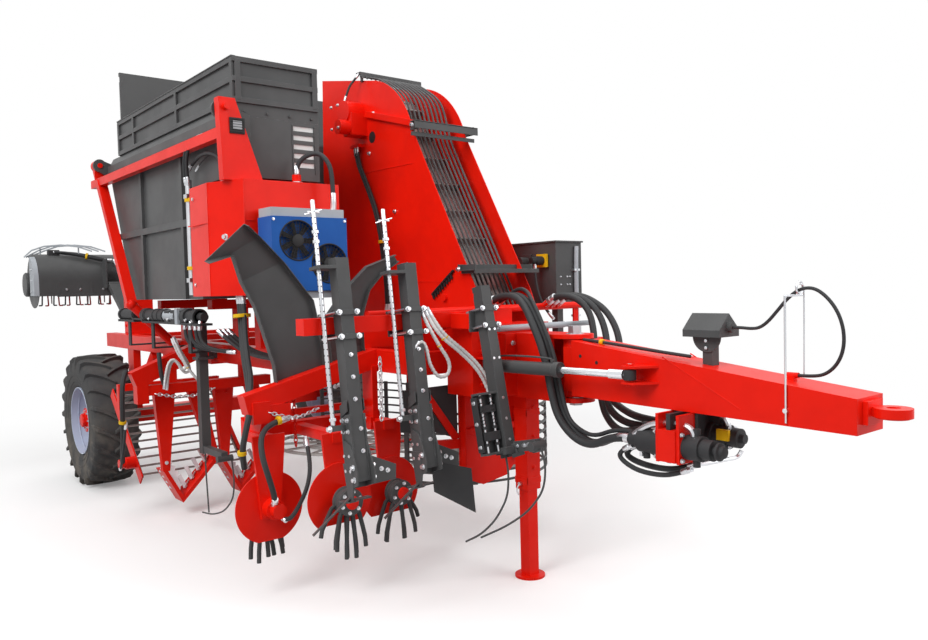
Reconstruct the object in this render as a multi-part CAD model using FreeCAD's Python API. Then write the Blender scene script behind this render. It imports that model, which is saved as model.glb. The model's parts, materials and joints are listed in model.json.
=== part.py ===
"""Trailed two-row sugar beet harvester, one STEP file for each named piece.

Machine frame while modelling: X forward along the drawbar, Y to the left, Z up, in millimetres,
with X = 0 at the axle, Y = 0 on the drawbar's centre line and Z = 0 on the ground.  The finished
pieces are moved so that the origin is the middle of the overall box, on the ground.
"""
import FreeCAD
import Part
import math
import os

from FreeCAD import Vector

# ---------------------------------------------------------------- driving dimensions
RUN_GAP = 0.05          # radial running clearance of a shaft in its bore
SEAT_GAP = 0.3          # gap between curved faces that only lie together

# wheels and axle
TYRE_R = 635.0
TYRE_WIDTH = 420.0
RIM_R = 325.0
RIM_WALL = 8.0
WHEEL_Y = 1300.0
STUB_R = 45.0
HUB_R = 115.0
HUB_LENGTH = 220.0
AXLE_SIDE = 140.0

# chassis
RAIL_Y = 950.0
RAIL_WIDTH = 100.0
RAIL_BOTTOM = 1300.0
RAIL_HEIGHT = 140.0
RAIL_REAR = -400.0
RAIL_TAIL = -760.0
RAIL_FRONT = 3500.0
INNER_RIGHT_Y = -550.0
INNER_LEFT_Y = 610.0
HEAD_REAR = 4400.0
HEAD_FRONT = 4650.0
HEAD_RIGHT = -370.0
HEAD_LEFT = 285.0
HEAD_BOTTOM = 1170.0
HEAD_TOP = 1600.0
NOSE_FRONT = 4765.0
NOSE_RIGHT = -200.0
NOSE_LEFT = 150.0
NOSE_TOP = 1550.0
BEARER_HEIGHT = 120.0

# drawbar and its pivot
PIVOT_X = 5150.0
PIVOT_PIN_R = 30.0
PIVOT_HUB_R = 70.0
LUG_THICKNESS = 25.0
LUG_GAP = 5.0
DRAWBAR_REAR = 5230.0
DRAWBAR_FRONT = 6840.0
DRAWBAR_HALF_WIDTH = 120.0
DRAWBAR_WALL = 10.0
DRAWBAR_BOTTOM_REAR = 1205.0
DRAWBAR_BOTTOM_FRONT = 1180.0
DRAWBAR_TOP_REAR = 1520.0
DRAWBAR_TOP_FRONT = 1335.0
EYE_X = 6935.0
EYE_Z = 1275.0
EYE_OUTER_R = 75.0
EYE_BORE_R = 27.5
EYE_THICKNESS = 40.0

# steering cylinders
STEER_Z = 1365.0
STEER_REAR_X = 4710.0
STEER_REAR_Y = 300.0
STEER_EYE_X = 5720.0
STEER_EYE_Y = 205.0
STEER_BARREL_R = 38.0
STEER_ROD_R = 20.0
STEER_BARREL_LENGTH = 560.0

# jack
JACK_X = 4725.0
JACK_Y = 0.0
JACK_HOUSING_SIDE = 110.0
JACK_LEG_SIDE = 80.0
JACK_WALL = 6.0
JACK_HOUSING_BOTTOM = 560.0
JACK_HOUSING_TOP = 1150.0
JACK_FOOT_R = 95.0
JACK_FOOT_THICKNESS = 14.0
JACK_TRAVEL = 420.0
JACK_GAP = 0.5

# hopper and its towers
SHEET = 5.0
PANEL = 8.0
HOPPER_RIGHT = -1300.0
HOPPER_LEFT = 1150.0
HOPPER_BOTTOM = 1800.0
HOPPER_FLOOR_Y = -600.0
HOPPER_KEEL_Y = -860.0
HOPPER_KEEL_RISE = 250.0
HOPPER_LEFT_FLOOR_Z = 2450.0
HOPPER_LEDGE_Z = 3000.0
EXTENSION_BOTTOM = 3080.0
EXTENSION_TOP = 3380.0
EXTENSION_INSET = 40.0
HOPPER_REAR_BOTTOM = 1200.0
HOPPER_REAR_TOP = 660.0
HOPPER_FRONT_LEFT = 2220.0
HOPPER_FRONT_DEEP = 2790.0
HOPPER_FRONT = 3360.0
HOPPER_NOSE_Z = 2600.0
HOPPER_NOSE_LEFT = -650.0
DEFLECTOR_TOP = 3830.0
TIP_Y = -1372.0
TIP_Z = 3020.0
TIP_PIN_R = 22.0
TOWER_X = 3400.0
TOWER_DEPTH = 70.0
BAR_Z = 2830.0

# oil tank and cooler
TANK_REAR = 2900.0
TANK_FRONT = 3560.0
TANK_RIGHT = -1430.0
TANK_LEFT = -620.0
TANK_BOTTOM = 1820.0
TANK_TOP = 2560.0
TANK_BEVEL = 150.0
COOLER_FRONT = 3790.0
COOLER_RIGHT = -1240.0
COOLER_LEFT = -705.0
COOLER_BOTTOM = 1840.0
COOLER_TOP = 2310.0
FAN_R = 120.0

# elevator
ELEV_RIGHT = -20.0
ELEV_LEFT = 480.0
ELEV_BOTTOM = RAIL_BOTTOM + RAIL_HEIGHT + BEARER_HEIGHT
GUARD_BAR_R = 7.0
GUARD_BARS = 10

# row tools
TOOL_BEAM_X = 4500.0
TOOL_BEAM_SIDE = 90.0
TOOL_BEAM_RIGHT = -1440.0
TOOL_BEAM_LEFT = 60.0
POST_SIDE = 80.0
POST_STAND_OFF = 7.0
POST_ROWS = (-1220.0, -770.0)
FEELER_ROW = -410.0
FEELER_X = 4765.0
FEELER_TILT = 12.0
FEELER_FOOT_Z = 850.0
POST_TILT = 7.0
POST_FOOT_Z = 740.0
FLAP_TOP = 800.0
FLAP_THICKNESS = 6.0

# cleaner and its flail rotors
HANGER_X = 3900.0
CROSS_X = 3640.0
CROSS_Z = 925.0
CROSS_SIDE = 80.0
ROTOR_OUTER = (3880.0, -1400.0, 560.0)
ROTOR_MIDDLE = (4310.0, -1070.0, 600.0)
ROTOR_INNER = (4150.0, -600.0, 540.0)
ROTORS = (("outer", ROTOR_OUTER, 1, -6.0), ("middle", ROTOR_MIDDLE, -1, 0.0),
          ("inner", ROTOR_INNER, -1, 8.0))
FLAIL_ANGLES = (-148, -128, -109, -90, -71, -52, -32)
ROTOR_DISC_R = 82.0
ROTOR_DISC_THICKNESS = 80.0
ROTOR_STUB_R = 20.0
FLAIL_REACH = 345.0
FLAIL_WIDTH = 30.0
FLAIL_THICKNESS = 22.0
GUARD_R = 215.0
GUARD_THICKNESS = 8.0
GUARD_SET_BACK = 90.0

# lifter
LIFTER_X = 1850.0
LIFTER_TIPS = (-1150.0, -650.0)
LIFTER_BEAM_Z = 1040.0
SHARE_TIP_Z = 118.0
WEB_LOW = (1540.0, 345.0)
WEB_HIGH = (880.0, 940.0)
WEB_BARS = 11
WEB_BAR_R = 9.0

# cleaning turbines
TURBINE_R = 590.0
CAGE_R = 650.0
TURBINE_Z = 560.0
TURBINE_FRONT = (3640.0, 330.0)
TURBINE_REAR = (2480.0, 20.0)

# hoses, pipe and valves
MANIFOLD_X = 4398.0
MANIFOLD_Z = 1690.0
MANIFOLD_R = 24.0
PORT_END = (4450.0, 1722.0)
FRONT_HOSE_PORTS = ((-62.0, 22.0), (-10.0, 22.0), (34.0, 12.0), (494.0, 22.0), (550.0, 22.0),
                    (606.0, 22.0))
RIGHT_HOSE_LANES = ((-187.0, 0.0, (-188.0, 1030.0)), (-136.0, 0.0, (-141.0, 1030.0)),
                    (-152.0, 48.0, (-165.0, 1066.0)))
LEFT_HOSE_LANES = ((0.0, (101.0, 1030.0)), (58.0, (149.0, 1030.0)), (116.0, (125.0, 1074.0)))
ELEV_HOSE_R = 12.0
ELEV_HOSE_ROUTE = ((2880.0, 2960.0), (2880.0, 2860.0), (3010.0, 2660.0), (3140.0, 2430.0),
                   (3200.0, 2220.0), (3225.0, 2040.0), (3260.0, 1840.0), (3260.0, 1660.0))
COOLER_HOSE_R = 16.0
COOLER_HOSE_ROUTE = ((3470.0, -890.0, 2620.0), (3470.0, -890.0, 2710.0), (3575.0, -790.0, 2775.0),
                     (3665.0, -745.0, 2690.0), (3690.0, -740.0, 2550.0), (3690.0, -740.0, 2365.0))
PIPE_X = 2755.0
PIPE_R = 22.0
PIPE_STAND_OFF = 60.0
PIPE_BOTTOM = 1830.0
PIPE_TOP = 2640.0
SIDE_VALVE_X = 1520.0
SIDE_VALVE_Y = -1290.0
SIDE_VALVE_Z = 1672.0
SIDE_VALVE_LENGTH = 1290.0
REAR_VALVE_OFFSET = 660.0

# leaf topper behind the chassis
TOPPER_PIVOT_X = -470.0
TOPPER_PIVOT_Z = 1520.0
TOPPER_ARM_X = -1150.0
TOPPER_ARM_Z = 1960.0
TOPPER_LINK_RISE = 260.0
TOPPER_CENTRE = (-1560.0, 2020.0)
TOPPER_RIGHT = -1530.0
TOPPER_LEFT = -430.0
TOPPER_R = 300.0
TOPPER_FLAIL_R = 255.0

# drawbar cable and its holder: rod's place, ring's height, cable radius and route
HOLDER_X = 6530.0
HOLDER_Y = -128.0
RING_Z = 1800.0
CABLE_R = 8.0
CABLE_ROUTE = [
    (6192.2, 0, 1612), (6238, 0, 1612), (6283, 2, 1608), (6328, 2, 1612), (6372, 0, 1640),
    (6420, 0, 1692), (6470, 0, 1750), (6530, 0, 1795), (6600, -4, 1800), (6665, -10, 1755),
    (6712, -12, 1690), (6735, -10, 1612), (6732, -6, 1530), (6700, 0, 1460), (6645, 4, 1412),
    (6580, 6, 1400), (6520.2, 6, 1400),
]

# leaf chutes: edge lines from the cleaner up and out, mm
OUTER_CHUTE_RIGHT = [(3852, -950, 1367.6), (3852, -952, 1460), (3850, -1020, 1780),
                     (3850, -1210, 2020), (3895, -1380, 2170), (3950, -1490, 2240)]
OUTER_CHUTE_LEFT = [(3852, -1290, 1287.4), (3852, -1300, 1390), (3850, -1410, 1750),
                    (3850, -1490, 1900), (3895, -1560, 2065), (3950, -1735, 2020)]
INNER_CHUTE_RIGHT = [(3852, -650, 1438.4), (3852, -655, 1480), (3900, -690, 1670),
                     (3920, -640, 1840), (3940, -540, 1950), (3960, -430, 2020)]
INNER_CHUTE_LEFT = [(3852, -905, 1378.0), (3852, -905, 1440), (3900, -960, 1670),
                    (3920, -830, 1840), (3940, -670, 1990), (3960, -455, 2065)]

PARTS = {}


# ---------------------------------------------------------------- shape helpers
def box(x0, x1, y0, y1, z0, z1):
    """Box between two corners."""
    return Part.makeBox(x1 - x0, y1 - y0, z1 - z0, Vector(x0, y0, z0))


def join(*shapes):
    """One shape out of touching shapes."""
    first = shapes[0]
    if len(shapes) == 1:
        return first
    return first.multiFuse(list(shapes[1:])).removeSplitter()


def cut(shape, *tools):
    """Shape with every tool taken away."""
    for tool in tools:
        shape = shape.cut(tool)
    return shape


def group(*shapes):
    """Solids of one node that don't touch."""
    solids = []
    for shape in shapes:
        solids.extend(shape.Solids)
    return Part.makeCompound(solids)


def rod(start, end, radius):
    """Round bar between two points."""
    a = Vector(*start)
    b = Vector(*end)
    return Part.makeCylinder(radius, (b - a).Length, a, b - a)


def tube(start, end, radius, bore):
    """Round tube between two points."""
    return cut(rod(start, end, radius), rod(start, end, bore))


def bar(start, end, width, height, up=(0, 0, 1)):
    """Rectangular bar between two points; height is along up, width across it."""
    a = Vector(*start)
    b = Vector(*end)
    along = (b - a).normalize()
    side = Vector(*up).cross(along).normalize()
    rise = along.cross(side)
    turn = FreeCAD.Rotation(along, side, rise, "XYZ")
    solid = Part.makeBox((b - a).Length, width, height, Vector(0, -width / 2, -height / 2))
    solid.Placement = FreeCAD.Placement(a, turn)
    return solid


def face_xz(points, y):
    """Flat face in an XZ plane; a point given as ("arc", middle, end) makes a round stretch."""
    edges = []
    last = Vector(points[0][0], y, points[0][1])
    first = last
    for item in points[1:]:
        if item[0] == "arc":
            middle = Vector(item[1][0], y, item[1][1])
            end = Vector(item[2][0], y, item[2][1])
            edges.append(Part.Arc(last, middle, end).toShape())
        else:
            end = Vector(item[0], y, item[1])
            edges.append(Part.LineSegment(last, end).toShape())
        last = end
    if (last - first).Length > 0.01:
        edges.append(Part.LineSegment(last, first).toShape())
    return Part.Face(Part.Wire(edges))


def plate_xz(points, y0, y1):
    """Plate with its outline in XZ, between two values of Y."""
    return face_xz(points, y0).extrude(Vector(0, y1 - y0, 0))


def plate_yz(points, x0, x1):
    """Plate with its outline in YZ, between two values of X."""
    corners = [Vector(x0, y, z) for y, z in points]
    return Part.Face(Part.makePolygon(corners + corners[:1])).extrude(Vector(x1 - x0, 0, 0))


def plate_xy(points, z0, z1):
    """Plate with its outline in XY, between two values of Z."""
    corners = [Vector(x, y, z0) for x, y in points]
    return Part.Face(Part.makePolygon(corners + corners[:1])).extrude(Vector(0, 0, z1 - z0))


def hose(points, radius, label=""):
    """Hose of straight runs and tangent arcs through a route, each arc as large as its runs allow."""
    route = [Vector(*point) for point in points]
    edges = []
    last = route[0]
    radii = []
    for before, here, after in zip(route, route[1:], route[2:]):
        back = (before - here).normalize()
        ahead = (after - here).normalize()
        half_turn = (math.pi - back.getAngle(ahead)) / 2
        reach = 0.45 * min((before - here).Length, (after - here).Length)
        start = here + back * reach
        end = here + ahead * reach
        bend = reach / math.tan(half_turn)
        radii.append(bend)
        centre = here + (back + ahead).normalize() * (bend / math.cos(half_turn))
        middle = centre + (here - centre).normalize() * bend
        edges.append(Part.LineSegment(last, start).toShape())
        edges.append(Part.Arc(start, middle, end).toShape())
        last = end
    edges.append(Part.LineSegment(last, route[-1]).toShape())
    path = Part.Wire(edges)
    direction = (route[1] - route[0]).normalize()
    profile = Part.Wire(Part.Circle(route[0], direction, radius).toShape())
    solid = path.makePipeShell([profile], True, False)
    ideal = math.pi * radius ** 2 * path.Length
    if label:
        rounded = [round(r / (2 * radius), 1) for r in radii]
        print(f"{label}: length {path.Length:.0f}, bends in diameters {rounded}, "
              f"volume ratio {solid.Volume / ideal:.4f}")
    return solid


def add(name, shape):
    """Keep a finished node."""
    PARTS[name] = shape


# ---------------------------------------------------------------- wheels and axle
def tyre_profile_points():
    """Half section of the tyre as (radius, offset) pairs."""
    half = TYRE_WIDTH / 2
    bead = 0.78 * half
    return half, bead


def make_tyre(centre_y):
    """Tyre, solid to the rim, with a bulged side wall and a rounded shoulder."""
    half, bead = tyre_profile_points()
    inner = RIM_R + SEAT_GAP
    shoulder = TYRE_R - 45.0
    crown = TYRE_R - 12.0
    waist = (inner + shoulder) / 2

    def point(radius, offset):
        return Vector(radius, centre_y + offset, 0)

    edges = [
        Part.LineSegment(point(inner, -bead), point(inner, bead)).toShape(),
        Part.Arc(point(inner, bead), point(waist, half), point(shoulder, half - 12)).toShape(),
        Part.Arc(point(shoulder, half - 12), point(TYRE_R - 20, half - 30),
                 point(crown, half - 70)).toShape(),
        Part.Arc(point(crown, half - 70), point(TYRE_R, 0), point(crown, -half + 70)).toShape(),
        Part.Arc(point(crown, -half + 70), point(TYRE_R - 20, -half + 30),
                 point(shoulder, -half + 12)).toShape(),
        Part.Arc(point(shoulder, -half + 12), point(waist, -half), point(inner, -bead)).toShape(),
    ]
    section = Part.Face(Part.Wire(edges))
    tyre = section.revolve(Vector(0, centre_y, 0), Vector(0, 1, 0), 360)
    tyre.translate(Vector(0, 0, TYRE_R))
    return tyre


def make_rim(side):
    """Dished rim with its hub, bored for the stub axle; side is 1 on the left, -1 on the right."""
    half = TYRE_WIDTH / 2 - 25
    y = side * WHEEL_Y
    z = TYRE_R
    outer = (0, y + half, z)
    inner = (0, y - half, z)
    barrel = tube(inner, outer, RIM_R, RIM_R - RIM_WALL)
    disc_y = y + side * 20
    disc = rod((0, disc_y - 6, z), (0, disc_y + 6, z), RIM_R - RIM_WALL)
    hub_end = y + side * 130
    hub = rod((0, hub_end - side * HUB_LENGTH, z), (0, hub_end, z), HUB_R)
    cap = rod((0, hub_end, z), (0, hub_end + side * 40, z), HUB_R * 0.55)
    bore = rod((0, hub_end - side * (HUB_LENGTH + 1), z), (0, hub_end - side * 10, z),
               STUB_R + RUN_GAP)
    return cut(join(barrel, disc, hub, cap), bore)


def make_axle():
    """Axle beam with a stub at each end and the posts that carry the chassis on it."""
    half = AXLE_SIDE / 2
    beam_end = WHEEL_Y - TYRE_WIDTH / 2 - 30
    beam = box(-half, half, -beam_end, beam_end, TYRE_R - half, TYRE_R + half)
    stub_end = WHEEL_Y + 130 - 15
    stub = rod((0, -stub_end, TYRE_R), (0, stub_end, TYRE_R), STUB_R)
    collar = rod((0, -beam_end - 12, TYRE_R), (0, beam_end + 12, TYRE_R), STUB_R + 22)
    posts = []
    for side in (1, -1):
        y = side * RAIL_Y
        posts.append(box(-90, 90, y - 35, y + 35, TYRE_R + half, RAIL_BOTTOM))
        brace_start = (620, y, RAIL_BOTTOM - 30)
        posts.append(cut(bar(brace_start, (40, y, TYRE_R + half + 60), 50, 90),
                         box(400, 900, y - 60, y + 60, RAIL_BOTTOM, RAIL_BOTTOM + 200)))
    return join(beam, stub, collar, *posts)


# ---------------------------------------------------------------- chassis
def make_chassis():
    """Two rails with cross members, inner beams to the head and the elevator's bearers."""
    z0 = RAIL_BOTTOM
    z1 = RAIL_BOTTOM + RAIL_HEIGHT
    inner = RAIL_Y - RAIL_WIDTH / 2
    pieces = []
    for side in (1, -1):
        y = side * RAIL_Y
        pieces.append(box(RAIL_TAIL, RAIL_FRONT, y - RAIL_WIDTH / 2, y + RAIL_WIDTH / 2, z0, z1))
    for x in (RAIL_REAR, 460, 1500, 2650, RAIL_FRONT - 100):
        pieces.append(box(x, x + 100, -inner, inner, z0 + 10, z1 - 10))
    for y in (INNER_RIGHT_Y, INNER_LEFT_Y):
        pieces.append(box(RAIL_FRONT, HEAD_REAR - 100, y - 50, y + 50, z0, z1))
    for x in (3640, 4200):
        pieces.append(box(x, x + 80, INNER_RIGHT_Y - 50, INNER_LEFT_Y + 50, z1, ELEV_BOTTOM))
    return join(*pieces, make_hopper_cradle(), make_topper_bracket())


def make_hopper_cradle():
    """Posts and pads that the lowered hopper rests on, and the tank's legs."""
    top = RAIL_BOTTOM + RAIL_HEIGHT
    pads = []
    for x in (1460, 2560):
        pads.append(box(x, x + 90, -RAIL_Y - 40, -RAIL_Y + 50, top, HOPPER_BOTTOM - 80))
        pads.append(box(x, x + 90, -1180, HOPPER_FLOOR_Y, HOPPER_BOTTOM - 80, HOPPER_BOTTOM - 10))
        pads.append(box(x, x + 90, RAIL_Y - 45, RAIL_Y + 45, top, 2250))
    for x in (2960, 3400):
        pads.append(box(x, x + 90, -RAIL_Y - 45, -RAIL_Y + 45, top, TANK_BOTTOM))
    pads.append(box(2960, 3490, -RAIL_Y - 45, -RAIL_Y + 45, TANK_BOTTOM - 130, TANK_BOTTOM - 60))
    return join(*pads)


def make_head():
    """Front head: the box that carries the drawbar pivot, its lugs and pin, and the cross beam."""
    wall = 12.0
    shell = box(HEAD_REAR, HEAD_FRONT, HEAD_RIGHT, HEAD_LEFT, HEAD_BOTTOM, HEAD_TOP)
    hollow = box(HEAD_REAR + wall, HEAD_FRONT - wall, HEAD_RIGHT + wall, HEAD_LEFT - wall,
                 HEAD_BOTTOM + wall, HEAD_TOP - wall)
    nose = box(HEAD_FRONT, NOSE_FRONT, NOSE_RIGHT, NOSE_LEFT, HEAD_BOTTOM, NOSE_TOP)
    nose_hollow = box(HEAD_FRONT + 1, NOSE_FRONT - wall, NOSE_RIGHT + wall, NOSE_LEFT - wall,
                      HEAD_BOTTOM + wall, NOSE_TOP - wall)
    z0 = RAIL_BOTTOM
    z1 = RAIL_BOTTOM + RAIL_HEIGHT
    beam = box(HEAD_REAR - 100, HEAD_REAR, INNER_RIGHT_Y - 50, 1150, z0, z1)
    return join(cut(shell, hollow), cut(nose, nose_hollow), beam, make_pivot_lugs(),
                make_steer_ears(), make_tool_beam(), make_feeler_arm(), make_hose_rail())


def make_pivot_lugs():
    """Lugs, webs and pin that hold the drawbar."""
    lug_low_top = DRAWBAR_BOTTOM_REAR - 20 - LUG_GAP
    lug_high_bottom = DRAWBAR_TOP_REAR + LUG_GAP
    lugs = []
    for z in (lug_low_top - LUG_THICKNESS, lug_high_bottom):
        plate = box(HEAD_FRONT, PIVOT_X, -110, 110, z, z + LUG_THICKNESS)
        nose = rod((PIVOT_X, 0, z), (PIVOT_X, 0, z + LUG_THICKNESS), 110)
        lugs.append(join(plate, nose))
    pin = rod((PIVOT_X, 0, lug_low_top - LUG_THICKNESS - 20),
              (PIVOT_X, 0, lug_high_bottom + LUG_THICKNESS + 20), PIVOT_PIN_R)
    webs = [box(NOSE_FRONT, PIVOT_X - PIVOT_HUB_R - 10, y, y + 20,
                lug_low_top - 5, lug_high_bottom + 5) for y in (-110, 90)]
    return join(pin, *lugs, *webs)


def make_steer_ears():
    """Forks and pins that hold the rear ends of the steering cylinders."""
    ears = []
    for side in (1, -1):
        y = side * STEER_REAR_Y
        for z in (STEER_Z - 45, STEER_Z + 33):
            inner = side * (STEER_REAR_Y - 60)
            ear = box(HEAD_FRONT - 40, STEER_REAR_X, min(inner, y + side * 35),
                      max(inner, y + side * 35), z, z + 12)
            ears.append(join(ear, rod((STEER_REAR_X, y, z), (STEER_REAR_X, y, z + 12), 35)))
        ears.append(rod((STEER_REAR_X, y, STEER_Z - 55), (STEER_REAR_X, y, STEER_Z + 55), 14))
    return join(*ears)


def make_feeler_arm():
    """Short arm that carries the row feeler's post in front of the head."""
    return box(TOOL_BEAM_X, FEELER_X, FEELER_ROW - 35, FEELER_ROW + 35, HEAD_TOP - 10,
               HEAD_TOP + 80)


def make_tool_beam():
    """Square beam across the front that carries the row tools."""
    half = TOOL_BEAM_SIDE / 2
    outer = box(TOOL_BEAM_X - half, TOOL_BEAM_X + half, TOOL_BEAM_RIGHT, TOOL_BEAM_LEFT,
                HEAD_TOP, HEAD_TOP + TOOL_BEAM_SIDE)
    wall = 6.0
    bore = box(TOOL_BEAM_X - half + wall, TOOL_BEAM_X + half - wall, TOOL_BEAM_RIGHT + 12,
               TOOL_BEAM_LEFT + 1, HEAD_TOP + wall, HEAD_TOP + TOOL_BEAM_SIDE - wall)
    return cut(outer, bore)


# ---------------------------------------------------------------- drawbar
def drawbar_top(x):
    """Height of the drawbar's top face."""
    share = (x - DRAWBAR_REAR) / (DRAWBAR_FRONT - DRAWBAR_REAR)
    return DRAWBAR_TOP_REAR + share * (DRAWBAR_TOP_FRONT - DRAWBAR_TOP_REAR)


def drawbar_bottom(x):
    """Height of the drawbar's bottom face."""
    share = (x - DRAWBAR_REAR) / (DRAWBAR_FRONT - DRAWBAR_REAR)
    return DRAWBAR_BOTTOM_REAR + share * (DRAWBAR_BOTTOM_FRONT - DRAWBAR_BOTTOM_REAR)


def drawbar_outline(inset, x0, x1):
    """Tapered side view of the drawbar, drawn in by inset above and below."""
    return [(x0, drawbar_bottom(x0) + inset), (x1, drawbar_bottom(x1) + inset),
            (x1, drawbar_top(x1) - inset), (x0, drawbar_top(x0) - inset)]


def make_drawbar():
    """Tapered box drawbar with its pivot hub and the lugs of the steering cylinders."""
    half = DRAWBAR_HALF_WIDTH
    wall = DRAWBAR_WALL
    beam = plate_xz(drawbar_outline(0, DRAWBAR_REAR, DRAWBAR_FRONT), -half, half)
    hollow = plate_xz(drawbar_outline(wall, DRAWBAR_REAR + wall, DRAWBAR_FRONT - wall),
                      -half + wall, half - wall)
    z0 = DRAWBAR_BOTTOM_REAR - 20
    z1 = DRAWBAR_TOP_REAR
    hub = rod((PIVOT_X, 0, z0), (PIVOT_X, 0, z1), PIVOT_HUB_R)
    neck = box(PIVOT_X, DRAWBAR_REAR, -100, 100, DRAWBAR_BOTTOM_REAR + 20, z1 - 40)
    bore = rod((PIVOT_X, 0, z0 - 1), (PIVOT_X, 0, z1 + 1), PIVOT_PIN_R + RUN_GAP)
    lugs = []
    for side in (1, -1):
        for z in (STEER_Z - 48, STEER_Z + 36):
            y_in = side * half
            y_out = side * (STEER_EYE_Y + 30)
            corners = [(STEER_EYE_X - 35, y_in), (STEER_EYE_X + 120, y_in),
                       (STEER_EYE_X + 40, y_out), (STEER_EYE_X - 35, y_out)]
            lugs.append(plate_xy(corners, z, z + 12))
            head_z = z + 12 if z > STEER_Z else z - 10
            lugs.append(rod((STEER_EYE_X, side * STEER_EYE_Y, head_z),
                            (STEER_EYE_X, side * STEER_EYE_Y, head_z + 10), 20))
    body = cut(join(beam, hub, neck), hollow, bore)
    return join(body, *lugs, make_cable_gland())


def make_hitch_eye():
    """Forged ring eye on a flanged shank at the drawbar's front."""
    ring = tube((EYE_X, 0, EYE_Z - EYE_THICKNESS / 2), (EYE_X, 0, EYE_Z + EYE_THICKNESS / 2),
                EYE_OUTER_R, EYE_BORE_R)
    shank = box(DRAWBAR_FRONT, EYE_X - EYE_BORE_R - 12, -32, 32, EYE_Z - 20, EYE_Z + 20)
    flange = box(DRAWBAR_FRONT, DRAWBAR_FRONT + 22, -70, 70, EYE_Z - 55, EYE_Z + 45)
    bore = rod((EYE_X, 0, EYE_Z - 50), (EYE_X, 0, EYE_Z + 50), EYE_BORE_R)
    return join(ring, cut(shank, bore), flange)


def make_pump_set():
    """Two gearbox and pump stacks on a bracket under the drawbar."""
    x0 = 5700.0
    bracket_top = drawbar_bottom(6000)
    plate = box(5960, 5985, -230, 210, 950, bracket_top)
    cheeks = [box(5900, 6050, y, y + 12, 1110, drawbar_bottom(6050)) for y in (-105, 93)]
    stacks = []
    for y, z, front in ((-165, 1030, 6190), (125, 1045, 6150)):
        stacks.append(rod((x0 + 60, y, z), (front - 60, y, z), 62))
        stacks.append(rod((x0, y, z), (x0 + 60, y, z), 45))
        stacks.append(rod((front - 60, y, z), (front, y, z), 50))
        stacks.append(rod((5930, y, z), (6015, y, z), 78))
        stacks.append(rod((front, y, z), (front + 25, y, z), 24))
        for x in (x0 + 90, front - 100):
            stacks.append(rod((x, y, z), (x, y, z + 95), 20))
            stacks.append(rod((x, y, z - 92), (x, y, z), 18))
    return cut(join(plate, *cheeks, *stacks),
               plate_xz(drawbar_outline(0, DRAWBAR_REAR, DRAWBAR_FRONT), -200, 200))


def make_connector_box():
    """Hood over the parked connectors, on a post and a half-round plate on the drawbar."""
    x0, x1 = 5960.0, 6170.0
    post_x = 6065.0
    post = box(post_x - 28, post_x + 28, -28, 28, drawbar_top(post_x) - 0.0, 1545)
    post = cut(post, plate_xz(drawbar_outline(0, DRAWBAR_REAR, DRAWBAR_FRONT), -200, 200))
    post = join(post, cut(box(post_x - 28, post_x + 28, -28, 28, drawbar_top(post_x) - 20, 1500),
                          plate_xz(drawbar_outline(0, DRAWBAR_REAR, DRAWBAR_FRONT), -200, 200)))
    half = 85.0
    outer = [(-half, 1565), (half, 1565), (half, 1600), (0, 1680), (-half, 1600)]
    inner = [(-half + 4, 1560), (half - 4, 1560), (half - 4, 1598), (0, 1674), (-half + 4, 1598)]
    hood = cut(plate_yz(outer, x0, x1), plate_yz(inner, x0 - 1, x1 - 30))
    hood = join(hood, box(x0, x1, -half, half, 1565, 1569))
    round_plate = cut(rod((post_x, -30, 1567), (post_x, -36, 1567), 80),
                      box(post_x - 100, post_x + 100, -40, -20, 1565, 1700))
    socket = rod((x1 - 60, 0, 1612), (x1 + 22, 0, 1612), 26)
    bridge = box(post_x - 28, post_x + 28, -30, 28, 1520, 1565)
    return join(post, hood, round_plate, bridge, socket)


def make_cable_holder():
    """Thin bent rod beside the drawbar with a ring on top that holds up the cable."""
    low = drawbar_bottom(HOLDER_X) + 15
    up = rod((HOLDER_X, HOLDER_Y, low), (HOLDER_X, HOLDER_Y, RING_Z - 34), 5)
    across = rod((HOLDER_X, HOLDER_Y, RING_Z - 34), (HOLDER_X + 8, 8, RING_Z - 34), 5)
    knee = Part.makeSphere(5, Vector(HOLDER_X, HOLDER_Y, RING_Z - 34))
    ring = Part.makeTorus(28, 5, Vector(HOLDER_X, 0, RING_Z), Vector(1, 0, 0))
    clamp = rod((HOLDER_X, HOLDER_Y - 10, 1255), (HOLDER_X, -DRAWBAR_HALF_WIDTH, 1255), 11)
    return join(up, knee, across, ring, clamp)


def make_drawbar_cable():
    """Cable from the connector box through the holder's ring and back to the drawbar."""
    return hose(CABLE_ROUTE, CABLE_R, "drawbar_cable")


def make_cable_gland():
    """Gland on the drawbar's top where the cable goes in."""
    x = 6520.0
    top = drawbar_top(x)
    body = rod((x - 55, 6, 1400), (x, 6, 1400), 13)
    foot = box(x - 50, x - 15, -8, 20, top - 20, 1400)
    beam = plate_xz(drawbar_outline(0, DRAWBAR_REAR, DRAWBAR_FRONT), -200, 200)
    return cut(join(body, foot), beam)


# ---------------------------------------------------------------- steering cylinders
def steer_line(side):
    """Unit vector and length from the rear pin to the rod's eye."""
    start = Vector(STEER_REAR_X, side * STEER_REAR_Y, STEER_Z)
    end = Vector(STEER_EYE_X, side * STEER_EYE_Y, STEER_Z)
    return start, (end - start).normalize(), (end - start).Length


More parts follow.
